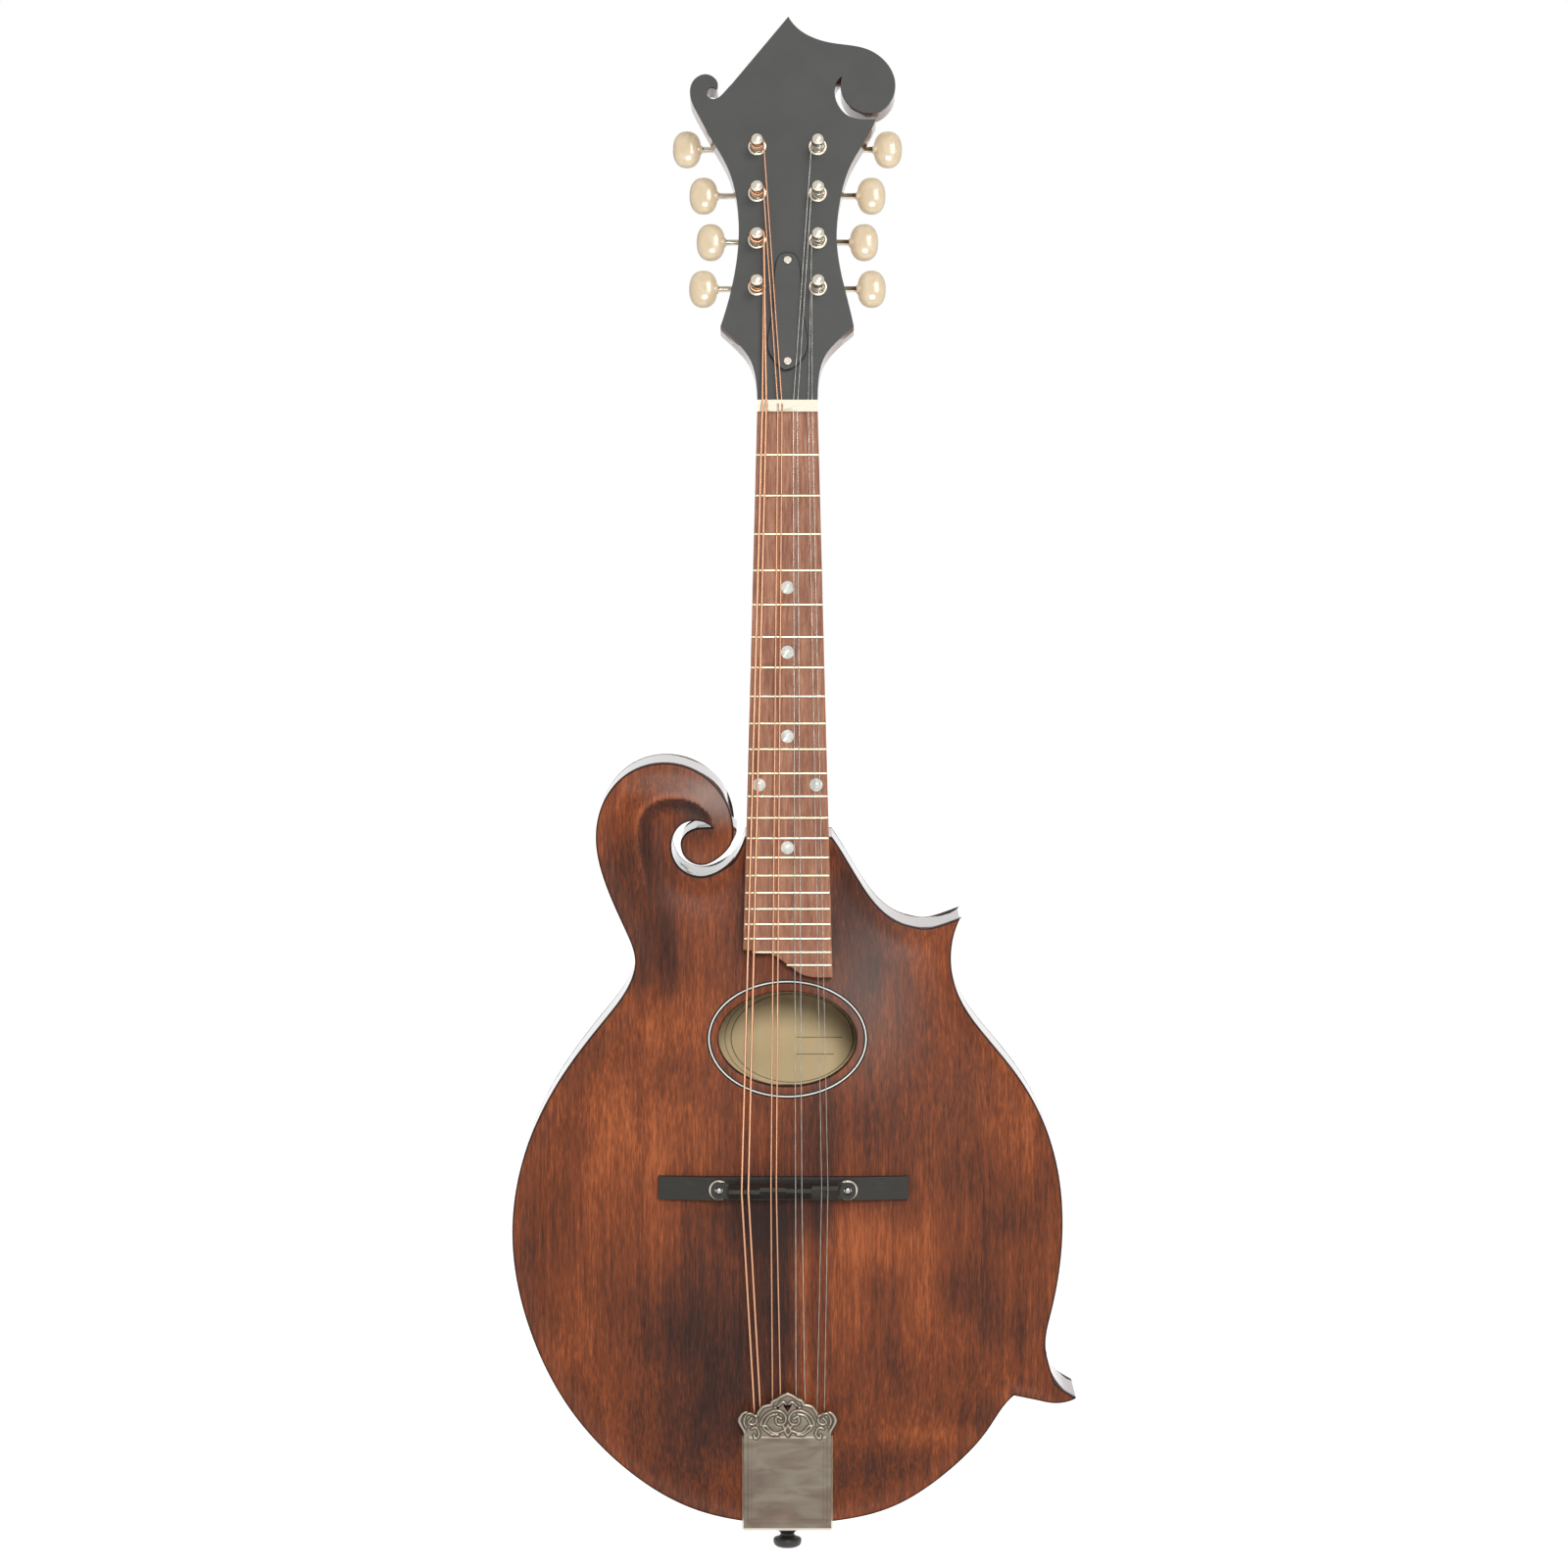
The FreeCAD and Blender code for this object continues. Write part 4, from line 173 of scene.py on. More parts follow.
class Slant:
    """A place and a turn about the X axis: points in it are turned, then moved to its origin."""

    def __init__(self, origin, degrees):
        angle = math.radians(degrees)
        cosine, sine = math.cos(angle), math.sin(angle)
        self.origin = np.array(origin, float)
        self.turn = np.array([[1, 0, 0], [0, cosine, -sine], [0, sine, cosine]])

    def out(self, points):
        """Points of this slant in the instrument's own axes."""
        return np.asarray(points, float) @ self.turn.T + self.origin

    def into(self, points):
        """Points of the instrument in this slant's axes."""
        return (np.asarray(points, float) - self.origin) @ self.turn


NECK = Slant((0, -32.6 + NUT_TO_JOINT * math.sin(math.radians(NECK_TILT)),
              JOINT_Z + NUT_TO_JOINT * math.cos(math.radians(NECK_TILT))), -NECK_TILT)
HEAD = Slant(NECK.out((0, 2.0, NUT_LENGTH)), -NECK_TILT - HEAD_TILT)
COVER = Slant((0, -34.2, TAIL_Z), 4.4)
SADDLE_Z = NECK.origin[2] - math.sqrt(
    (SCALE_LENGTH + 4.0) ** 2 - (STRING_HEIGHT_AT_SADDLE + NECK.origin[1]) ** 2)
BRIDGE_Z = SADDLE_Z - 1.2


def bell(distance, width):
    """One at a line, falling by the square of the distance in widths."""
    return np.exp(-(distance / width) ** 2)


def full_turn(count):
    """Angles of one whole turn, evenly spaced, the last one left open."""
    return np.linspace(0, 2 * math.pi, count, endpoint=False)


def unit(vectors):
    """Vectors divided by their own lengths."""
    return vectors / np.linalg.norm(vectors, axis=-1, keepdims=True)


def smooth_step(share):
    """Zero to one with level ends: three squares less two cubes of the held share."""
    held = np.clip(share, 0, 1)
    return held * held * (3 - 2 * held)


def lengths_along(line):
    """Length from a line's start to each of its points."""
    return np.concatenate([[0], np.cumsum(np.linalg.norm(np.diff(line, axis=0), axis=1))])


def first_slope(steps, points):
    """Slope at the first point of the cubic through the first four points."""
    count = min(4, len(points))
    powers = np.vander(steps[:count] - steps[0], count, increasing=True)
    return np.linalg.solve(powers, points[:count])[1]


def spline(points, start=None, end=None, density=24):
    """Points along a cubic spline by chord length: its slopes make the second derivative even.

    The end slopes are those of the cubic through the nearest four points, turned to a
    direction where one is given.
    """
    points = np.asarray(points, float)
    count = len(points)
    steps = lengths_along(points)
    gaps = np.linalg.norm(np.diff(points, axis=0), axis=1)
    rises = np.diff(points, axis=0) / gaps[:, None]
    ends = [first_slope(steps, points), first_slope(-steps[::-1], points[::-1])]
    for which, given in ((0, start), (1, end)):
        if given is not None:
            given = np.asarray(given, float)
            ends[which] = given / np.linalg.norm(given) * np.linalg.norm(ends[which])
    system = np.eye(count)
    inner = np.arange(1, count - 1)
    system[inner, inner - 1] = gaps[1:]
    system[inner, inner] = 2 * (gaps[:-1] + gaps[1:])
    system[inner, inner + 1] = gaps[:-1]
    known = np.zeros_like(points)
    known[0], known[-1] = ends
    known[1:-1] = 3 * (gaps[1:, None] * rises[:-1] + gaps[:-1, None] * rises[1:])
    slopes = np.linalg.solve(system, known)
    at = np.linspace(0, count - 1, (count - 1) * density + 1)
    low = np.minimum(at.astype(int), count - 2)
    share = (at - low)[:, None]
    wide = gaps[low][:, None]
    return (points[low] * (2 * share ** 3 - 3 * share ** 2 + 1)
            + slopes[low] * wide * (share ** 3 - 2 * share ** 2 + share)
            + points[low + 1] * (3 * share ** 2 - 2 * share ** 3)
            + slopes[low + 1] * wide * (share ** 3 - share ** 2))


def evenly(line, spacing):
    """Points a set distance apart along a line of points, both ends kept."""
    along = lengths_along(line)
    places = np.linspace(0, along[-1], max(3, round(along[-1] / spacing) + 1))
    return np.stack([np.interp(places, along, line[:, axis]) for axis in range(line.shape[1])], 1)


def on_body(shares):
    """Body places, X and Z, from shares of its half width and length."""
    return np.array(shares) * [BODY_HALF_WIDTH, BODY_LENGTH] + [0, TAIL_Z]


SCROLL_TURN = (-1, -1.6)
BODY_LINES = [
    spline(on_body(BASS_SHARES), (-1, 0), SCROLL_TURN),
    spline(on_body(EYE_SHARES), SCROLL_TURN, (1, 0.1)),
    spline(on_body(SLOT_SHARES)),
    on_body((SLOT_SHARES[-1], CUTAWAY_SHARES[0])),
    spline(on_body(CUTAWAY_SHARES)),
    spline(on_body(WAIST_SHARES)),
    spline(on_body(POINT_SHARES)),
    spline(on_body(TREBLE_SHARES), (-1, -0.8), (-1, 0)),
]
CREST_LINE = evenly(spline(on_body(CREST_SHARES)), 0.4)


def body_outline(spacing):
    """The body's closed outline with evenly spaced points and its corners kept."""
    return np.concatenate([evenly(line, spacing)[:-1] for line in BODY_LINES])


OUTLINE = body_outline(1.1)
EDGE_POINTS = body_outline(1.5)


def in_blocks(work, points, size=3000):
    """A function of many places, worked out a block of places at a time."""
    return np.concatenate([work(points[low:low + size]) for low in range(0, len(points), size)])


def soft_inset(points):
    """Smoothed distance from the edge.

    It is the root of two over the edge's sum of length by cubed distance.
    """
    lengths = np.linalg.norm(np.roll(EDGE_POINTS, -1, 0) - np.roll(EDGE_POINTS, 1, 0), axis=1) / 2

    def work(block):
        reach = np.linalg.norm(block[:, None] - EDGE_POINTS[None], axis=2)
        return np.sqrt(2 / (lengths / np.maximum(reach, 0.08) ** 3).sum(1))
    return in_blocks(work, points)


def edge_distance(points, line=OUTLINE):
    """Shortest distance from each place to the closed line's own straight pieces."""
    ahead = np.roll(line, -1, 0) - line
    squares = (ahead ** 2).sum(1)

    def work(block):
        away = block[:, None] - line[None]
        share = np.clip((away * ahead).sum(2) / squares, 0, 1)
        return np.linalg.norm(away - share[..., None] * ahead, axis=2).min(1)
    return in_blocks(work, points)


def inside(points, line):
    """Whether each place is in a closed line: an odd number of its pieces pass on the right."""
    ahead = np.roll(line, -1, 0)
    rise = ahead[:, 1] - line[:, 1]
    slope = (ahead[:, 0] - line[:, 0]) / np.where(rise == 0, 1, rise)

    def work(block):
        x, z = block[:, :1], block[:, 1:]
        across = (line[:, 1] > z) != (ahead[:, 1] > z)
        return (across & (x < line[:, 0] + (z - line[:, 1]) * slope)).sum(1) % 2 == 1
    return in_blocks(work, points)


def crest_place(points):
    """Distance to the scroll's crest, the share of the way along it, and the side."""
    ways = unit(np.gradient(CREST_LINE, axis=0))

    def work(block):
        away = block[:, None] - CREST_LINE[None]
        gaps = np.linalg.norm(away, axis=2)
        nearest = gaps.argmin(1)
        row = np.arange(len(block))
        away, way = away[row, nearest], ways[nearest]
        side = way[:, 0] * away[:, 1] - way[:, 1] * away[:, 0]
        return np.stack([gaps[row, nearest], nearest / (len(CREST_LINE) - 1), side], 1)
    return in_blocks(work, points).T


CREST_HEIGHT = 4.6
CREST_INNER_WIDTH = 5.2
CREST_OUTER_WIDTH = 11.0


def crest_rise(points):
    """Height of the scroll's crest: a bell outside it, a sharper fall towards the eye.

    Inside, the bell's power goes from a little over one at the scroll's top to two where
    the crest fades into the body, so the carved line is crisp and then softens.
    """
    gap, share, side = crest_place(points)
    fade = smooth_step(share * 7 + 0.25) * smooth_step((1 - share) * 1.9)
    power = 1.25 + 0.75 * smooth_step(share * 1.6 - 0.5)
    inner = np.exp(-(gap / CREST_INNER_WIDTH) ** power)
    outer = bell(gap, CREST_OUTER_WIDTH)
    return CREST_HEIGHT * fade * np.where(side > 0, inner, outer)


ARCH_FADE_START = 0.48
ARCH_WIDTH = 46.0
DIP_DEPTH = 1.2
DIP_WIDTH = 8.0


def arch(points, rise, taper):
    """Height of a carved plate over its glue plane.

    The edge's thickness, plus a climb of one minus a bell of the inset that fades towards
    the neck, less a small dip beside the edge, plus the scroll's crest.
    """
    inset = soft_inset(points)
    start = TAIL_Z + ARCH_FADE_START * BODY_LENGTH
    fade = 1 - taper * smooth_step((points[:, 1] - start) / (JOINT_Z - start))
    climb = rise * fade * (1 - bell(inset, ARCH_WIDTH))
    dip = DIP_DEPTH * (inset / DIP_WIDTH) ** 2 * np.exp(1 - (inset / DIP_WIDTH) ** 2)
    return EDGE_THICKNESS + climb - dip + crest_rise(points)


# Rise of each plate and the share of it that fades towards the neck.
TOP_ARCH = (11.0, 0.55)
BACK_ARCH = (9.2, 0.35)


def front_y(points):
    """Depth of the soundboard's outer surface at places in X and Z."""
    return -GLUE_PLANE - arch(np.atleast_2d(points), *TOP_ARCH)


def grid_faces(rows, columns, wrap_rows=False, wrap_columns=False):
    """Four-sided faces between neighbours of a grid, the last joined to the first on request."""
    row = np.arange(rows if wrap_rows else rows - 1)[:, None]
    column = np.arange(columns if wrap_columns else columns - 1)[None]
    beyond, beside = (row + 1) % rows, (column + 1) % columns
    corners = (row * columns + column, row * columns + beside,
               beyond * columns + beside, beyond * columns + column)
    return np.stack([np.broadcast_to(corner, corners[0].shape).ravel() for corner in corners], 1)


def sheet(points, **wrap):
    """A shell over a grid of points: its vertices and faces."""
    rows, columns = points.shape[:2]
    return points.reshape(-1, 3), [grid_faces(rows, columns, **wrap)]


def together(shells):
    """Several shells as one, each one's corner numbers moved past those before it."""
    vertices, faces, start = [], [], 0
    for points, groups in shells:
        vertices.append(points)
        faces += [group + start for group in groups]
        start += len(points)
    return np.concatenate(vertices), faces


def turned(profile, base, axis, segments=48):
    """A profile of radius and height pairs carried round an axis: radius by cosine and sine."""
    axis = unit(np.array(axis, float))
    across = unit(np.cross(axis, [0.31, 0.2, 0.93] if abs(axis[2]) < 0.9 else [0, 1, 0]))
    other = np.cross(axis, across)
    angle = full_turn(segments)
    ring = np.cos(angle)[:, None] * across + np.sin(angle)[:, None] * other
    profile = np.asarray(profile, float)
    points = (np.asarray(base, float) + profile[:, 1, None, None] * axis
              + profile[:, 0, None, None] * ring)
    return sheet(points, wrap_columns=True)


def rounded(corners, radius, count=4):
    """A profile whose inner corners are rounded by arcs that a fraction of each side holds.

    Each corner becomes the curve of a squared fade between the points before and after it.
    """
    corners = np.asarray(corners, float)
    before, middle, after = corners[:-2], corners[1:-1], corners[2:]
    back = np.minimum(radius, 0.45 * np.linalg.norm(before - middle, axis=1))[:, None]
    on = np.minimum(radius, 0.45 * np.linalg.norm(after - middle, axis=1))[:, None]
    first = middle + unit(before - middle) * back
    last = middle + unit(after - middle) * on
    share = np.linspace(0, 1, count)[None, :, None]
    arcs = (first[:, None] * (1 - share) ** 2 + 2 * middle[:, None] * share * (1 - share)
            + last[:, None] * share ** 2)
    return np.concatenate([corners[:1], arcs.reshape(-1, corners.shape[1]), corners[-1:]])


def ends_doubled(values):
    """Values with the first and the last one there twice."""
    return np.concatenate([values[:1], values, values[-1:]])


def tube(path, radius, sides, upright):
    """A round tube along a path, with both ends drawn to a point.

    The ring's two directions are the upright one, made square to the path, and the cross
    product of both.
    """
    ways = unit(np.gradient(path, axis=0))
    side = unit(upright - (ways @ upright)[:, None] * ways)
    other = np.cross(ways, side)
    angle = full_turn(sides)
    ring = (np.cos(angle)[None, :, None] * side[:, None]
            + np.sin(angle)[None, :, None] * other[:, None])
    radii = np.array([0, *[radius] * len(path), 0])[:, None, None]
    return sheet(ends_doubled(path)[:, None] + radii * ends_doubled(ring), wrap_columns=True)


def put_in(name, vertices, faces, attributes):
    """A mesh from arrays: places in millimetres, groups of faces, and one number a vertex."""
    mesh = bpy.data.meshes.new(name)
    mesh.vertices.add(len(vertices))
    mesh.vertices.foreach_set("co", (vertices * MM).astype(np.float32).ravel())
    corners = np.concatenate([group.ravel() for group in faces])
    sizes = np.concatenate([np.full(len(group), group.shape[1]) for group in faces])
    mesh.loops.add(len(corners))
    mesh.loops.foreach_set("vertex_index", corners.astype(np.int32))
    mesh.polygons.add(len(sizes))
    starts = np.concatenate([[0], np.cumsum(sizes)[:-1]])
    mesh.polygons.foreach_set("loop_start", starts.astype(np.int32))
    mesh.update(calc_edges=True)
    for label, values in attributes.items():
        layer = mesh.attributes.new(label, "FLOAT", "POINT")
        layer.data.foreach_set("value", np.asarray(values, np.float32))
    return mesh


def dress(piece, body, material, replaced, angle):
    """Shade, finish and mount a piece, link it into the scene and hide the parts it replaces."""
    mesh = piece.data
    mesh.shade_smooth()
    mesh.set_sharp_from_angle(angle=math.radians(angle))
    mesh.materials.clear()
    mesh.materials.append(material)
    bpy.context.scene.collection.objects.link(piece)
    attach(piece, body)
    if replaced:
        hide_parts(*replaced)
    return piece


def new_piece(name, shell, body, material, replaced=(), angle=40, attributes=None):
    """A finished piece from a shell: doubles merged, faces outwards, mounted on its body."""
    mesh = put_in(name, shell[0], shell[1], attributes or {})
    work = bmesh.new()
    work.from_mesh(mesh)
    bmesh.ops.remove_doubles(work, verts=work.verts, dist=2e-6)
    bmesh.ops.recalc_face_normals(work, faces=work.faces)
    work.to_mesh(mesh)
    work.free()
    return dress(bpy.data.objects.new(name, mesh), body, material, replaced, angle)


def refined(node, name, material, angle=28, bevel=0.0, clamp=True):
    """A smooth copy of a solid part: doubles merged, flat areas joined, edges eased."""
    work = bmesh.new()
    work.from_mesh(frame["nodes"][node].data)
    bmesh.ops.remove_doubles(work, verts=work.verts, dist=1e-6)
    if bevel:
        bmesh.ops.dissolve_limit(work, angle_limit=math.radians(1), verts=work.verts,
                                 edges=work.edges)
    mesh = bpy.data.meshes.new(name)
    work.to_mesh(mesh)
    work.free()
    piece = bpy.data.objects.new(name, mesh)
    dress(piece, frame["nodes"][node]["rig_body"], material, (node,), angle)
    if bevel:
        ease = piece.modifiers.new("eased edges", "BEVEL")
        ease.width = bevel * MM
        ease.segments = 2
        ease.limit_method = "ANGLE"
        ease.angle_limit = math.radians(max(angle, 32))
        ease.harden_normals = True
        ease.use_clamp_overlap = clamp
    return piece


def points_of(node, slant):
    """The corners of a solid part in a slant's axes, in millimetres."""
    mesh = frame["nodes"][node].data
    places = np.empty(len(mesh.vertices) * 3, np.float32)
    mesh.vertices.foreach_get("co", places)
    return slant.into(places.reshape(-1, 3) / MM)


def paint_node(node, material):
    """The finish of a solid part that keeps its own shape."""
    mesh = frame["nodes"][node].data
    mesh.materials.clear()
    mesh.materials.append(material)


def tone(red, green, blue):
    """A screen colour, 0 to 255, as the light it stands for."""
    shares = np.array([red, green, blue]) / 255
    light = np.where(shares <= 0.04045, shares / 12.92, ((shares + 0.055) / 1.055) ** 2.4)
    return (*(float(value) for value in light), 1.0)


class Signal:
    """A number in a finish: sums, products and comparisons of it add their own Math nodes."""

    def __init__(self, finish, socket):
        self.finish = finish
        self.socket = socket

    def step(self, operation, *values):
        """One Math node over this number and others."""
        return self.finish.node("ShaderNodeMath", {"operation": operation},
                                dict(enumerate((self, *values))))

    def __add__(self, other):
        return self.step("ADD", other)

    def __radd__(self, other):
        return self.step("ADD", other)

    def __sub__(self, other):
        return self.step("SUBTRACT", other)

    def __rsub__(self, other):
        return self.finish.node("ShaderNodeMath", {"operation": "SUBTRACT"}, {0: other, 1: self})

    def __mul__(self, other):
        return self.step("MULTIPLY", other)

    def __rmul__(self, other):
        return self.step("MULTIPLY", other)

    def __truediv__(self, other):
        return self.step("DIVIDE", other)

    def __pow__(self, other):
        return self.step("POWER", other)

    def __abs__(self):
        return self.step("ABSOLUTE")

    def held(self):
        """The number kept between zero and one."""
        return self.finish.node("ShaderNodeClamp", {}, {0: self, 1: 0.0, 2: 1.0})

    def band(self, low, high):
        """Zero at or under low, one at or over high, smooth between."""
        return self.finish.node("ShaderNodeMapRange", {"interpolation_type": "SMOOTHSTEP"},
                                {"Value": self, "From Min": low, "From Max": high})


class Finish:
    """A material under construction, with its shader and the few tools that finishes share."""

    def __init__(self, name):
        self.material = bpy.data.materials.new(name)
        self.material.use_nodes = True
        self.tree = self.material.node_tree
        self.shader = next(n for n in self.tree.nodes if n.type == "BSDF_PRINCIPLED")
        self.own = self.node("ShaderNodeTexCoord", {}, {}, "Object")

    def node(self, kind, settings, sockets, output=None):
        """A node of a kind: settings first, then values or links of its sockets."""
        made = self.tree.nodes.new(kind)
        for key, value in settings.items():
            if key == "stops":
                self.set_stops(made.color_ramp, value)
            else:
                setattr(made, key, value)
        for key, value in sockets.items():
            self.feed(made.inputs[key], value)
        if output is None:
            output = next(s.name for s in made.outputs if s.enabled)
        found = next(s for s in made.outputs if s.enabled and s.name == output)
        return Signal(self, found)

    def feed(self, socket, value):
        """Link a signal to a socket, or set the socket's own value."""
        if isinstance(value, Signal):
            self.tree.links.new(value.socket, socket)
        else:
            socket.default_value = value

    def set_stops(self, ramp, stops):
        """The places and colours of a ramp, from low to high."""
        while len(ramp.elements) < len(stops):
            ramp.elements.new(0.5)
        for element, (place, colour) in zip(ramp.elements, stops):
            element.position = place
            element.color = colour

    def ramp(self, value, *stops):
        """A colour by a number, through the given stops."""
        return self.node("ShaderNodeValToRGB", {"stops": stops}, {0: value})

    def mixed(self, share, first, second, blend="MIX"):
        """Two colours mixed by a share."""
        return self.node("ShaderNodeMix", {"data_type": "RGBA", "blend_type": blend},
                         {0: share, 6: first, 7: second}, "Result")

    def mapped(self, scale=(1, 1, 1), place=(0, 0, 0), turn=(0, 0, 0)):
        """The piece's own coordinates, moved, turned and scaled."""
        return self.node("ShaderNodeMapping", {},
                         {0: self.own, "Location": place, "Rotation": turn, "Scale": scale})

    def clouds(self, scale, detail=2.0, roughness=0.5, bend=0.0, place=(0, 0, 0), turn=(0, 0, 0)):
        """Soft noise, about a half, with the given number of cells a metre along each axis."""
        if not isinstance(scale, tuple):
            scale = (scale,) * 3
        return self.node("ShaderNodeTexNoise", {},
                         {"Vector": self.mapped(scale, place, turn), "Scale": 1.0,
                          "Detail": detail, "Roughness": roughness, "Distortion": bend})

    def parts(self, where=None):
        """The three coordinates as numbers."""
        split = self.tree.nodes.new("ShaderNodeSeparateXYZ")
        self.feed(split.inputs[0], where or self.own)
        return [Signal(self, socket) for socket in split.outputs]

    def marked(self, name):
        """A number kept in the mesh under a name."""
        return self.node("ShaderNodeAttribute", {"attribute_name": name}, {}, "Fac")

    def relief(self, height, metres, strength=1.0, over=None):
        """A bump whose full height is given in metres."""
        sockets = {"Height": height, "Distance": metres, "Strength": strength}
        if over is not None:
            sockets["Normal"] = over
        return self.node("ShaderNodeBump", {}, sockets)

    def done(self, **inputs):
        """Feed the shader's sockets, named with underscores for spaces, and hand over."""
        for key, value in inputs.items():
            self.feed(self.shader.inputs[key.replace("_", " ")], value)
        return self.material


def stained_wood(name, look, shade=0.0, plate=True, coat=0.0):
    """Stained wood: cloudy stain, bands, grain lines and flecks along Z, dark line at the edge; on
    plates also painted shadow, shade and highlight, and a painted grey sheen, from their
    attributes.
    """
    wood = Finish(name)
    broad = wood.clouds((26, 26, 15), 2.0, 0.5, 0.4)
    bands = wood.clouds((170, 170, 9), 2.0, 0.55, 0.3)
    streaks = wood.clouds((760, 760, 16), 2.0, 0.6, 0.2)
    flecks = wood.clouds((1500, 1500, 150), 2.0, 0.6)
    value = 0.52 - shade + (broad - 0.5) * 0.42 + (bands - 0.5) * 0.4
    value = value + (streaks - 0.5) * 0.5 + (flecks - 0.5) * 0.7
    if plate:
        # Painted shading: the plate's stain attribute also carries painted shadows, painted shade
        # in the scroll's hollow and a painted highlight on its crest.
        value = value + wood.marked("stain")
    colour = wood.ramp(value.held(),
                       (0.05, look.stain_black), (0.33, look.stain_dark),
                       (0.6, look.stain_red), (0.95, look.stain_light))
    if plate:
        # Painted reflection: the haze attribute mixes in a grey sheen standing for the lamps'
        # reflection.
        colour = wood.mixed(wood.marked("haze"), colour, tone(150, 138, 131))
        near = 1 - wood.marked("rim").band(0.25, 1.1)
        lip = 1 - wood.marked("lip").band(0.1, 0.8)
        colour = wood.mixed((near + lip).held() * 0.9, colour, look.edge_line)
    rough = 0.4 + (streaks - 0.5) * 0.14 + (broad - 0.5) * 0.08
    normal = wood.relief(streaks * 0.5 + flecks, 0.00005, 0.5)
    return wood.done(Base_Color=colour, Roughness=rough, Normal=normal,
                     Specular_IOR_Level=0.1, Coat_Weight=coat, Coat_Roughness=0.08)


def bare_wood(name, light, dark, turn=(0, 0, 0)):
    """Unfinished wood with straight grain: thin year lines from a stretched noise."""
    wood = Finish(name)
    lines = wood.clouds((420, 420, 12), 2.0, 0.5, 0.3, turn=turn)
    fine = wood.clouds((1500, 1500, 60), 2.0, 0.6, turn=turn)
    colour = wood.mixed((lines * 1.6 - 0.3).held(), dark, light)
    colour = wood.mixed(fine.band(0.3, 0.75) * 0.25, colour, dark)
    return wood.done(Base_Color=colour, Roughness=0.62 + (fine - 0.5) * 0.2,
                     Normal=wood.relief(fine, 0.00005, 0.5), Specular_IOR_Level=0.3)


def board_wood(name, look):
    """Fingerboard wood: pinkish brown with dark pore streaks along the strings."""
    wood = Finish(name)
    tilt = (math.radians(NECK_TILT), 0, 0)
    bands = wood.clouds((210, 210, 7), 2.0, 0.55, 0.2, turn=tilt)
    streaks = wood.clouds((900, 900, 36), 3.0, 0.65, 0.2, turn=tilt)
    pores = wood.clouds((2300, 2300, 170), 1.0, 0.5, turn=tilt)
    value = (0.55 + (bands - 0.5) * 0.7 + (streaks - 0.5) * 1.25).held()
    colour = wood.ramp(value, (0.0, look.board_dark), (0.45, tone(136, 88, 66)),
                       (1.0, look.board_light))
    colour = wood.mixed(pores.band(0.62, 0.74) * 0.5, colour, look.board_dark)
    return wood.done(Base_Color=colour, Roughness=0.55 - (streaks - 0.5) * 0.2,
                     Normal=wood.relief(streaks, 0.00008, 0.5), Specular_IOR_Level=0.25)


def black_wood(name, look):
    """Black bridge wood: grey-black, faint brown in the grain, low sheen."""
    wood = Finish(name)
    grain = wood.clouds((26, 700, 700), 2.0, 0.6, 0.3)
    fine = wood.clouds((160, 2400, 2400), 2.0, 0.6)
    colour = wood.ramp((grain * 0.7 + fine * 0.3).held(), (0.25, tone(31, 29, 26)),
                       (0.6, look.bridge_wood), (0.85, tone(78, 68, 54)))
    return wood.done(Base_Color=colour, Roughness=0.42 + (grain - 0.5) * 0.2,
                     Normal=wood.relief(grain + fine, 0.00004, 0.5), Specular_IOR_Level=0.3)


def head_black(name, look, face=None):
    """The head's satin charcoal lacquer: level, with faint dust and brush unevenness.

    A depth of the face in the head's axes, where given, paints near-black shade on what lies behind
    it, the sides of a part that stands off the face.
    """
    paint = Finish(name)
    soft = paint.clouds(60, 3.0, 0.55)
    dust = paint.clouds(2600, 1.0, 0.5)
    colour = paint.mixed(soft.band(0.3, 0.7) * 0.35, look.head_face, tone(54, 54, 53))
    colour = paint.mixed(dust.band(0.72, 0.8) * 0.12, colour, tone(150, 150, 146))
    if face is not None:
        _, y, z = paint.parts()
        origin, way = HEAD.origin * MM, HEAD.turn[:, 1]
        depth = (y - float(origin[1])) * float(way[1]) + (z - float(origin[2])) * float(way[2])
        # Painted shade: what lies behind the face, the sides of the rod cover, turns near black.
        behind = (depth - face * MM).band(0.02 * MM, 0.12 * MM)
        colour = paint.mixed(behind, colour, tone(10, 10, 10))
    return paint.done(Base_Color=colour, Roughness=0.46 + (soft - 0.5) * 0.14,
                      Normal=paint.relief(dust, 0.00001, 0.4), Specular_IOR_Level=0.3)


def bright_metal(name, colour, rough, wear=0.5):
    """Plated metal: cloudy polish and fine wiping marks in colour and roughness."""
    metal = Finish(name)
    haze = metal.clouds(240, 3.0, 0.6)
    wipes = metal.clouds((500, 2600, 900), 2.0, 0.6)
    darker = tuple(value * 0.62 for value in colour[:3]) + (1.0,)
    base = metal.mixed((haze.band(0.45, 0.8) * wear).held(), colour, darker)
    return metal.done(Base_Color=base, Metallic=1.0,
                      Roughness=rough + (haze - 0.5) * 0.16 + (wipes - 0.5) * 0.1,
                      Normal=metal.relief(wipes, 0.000008, 0.4))


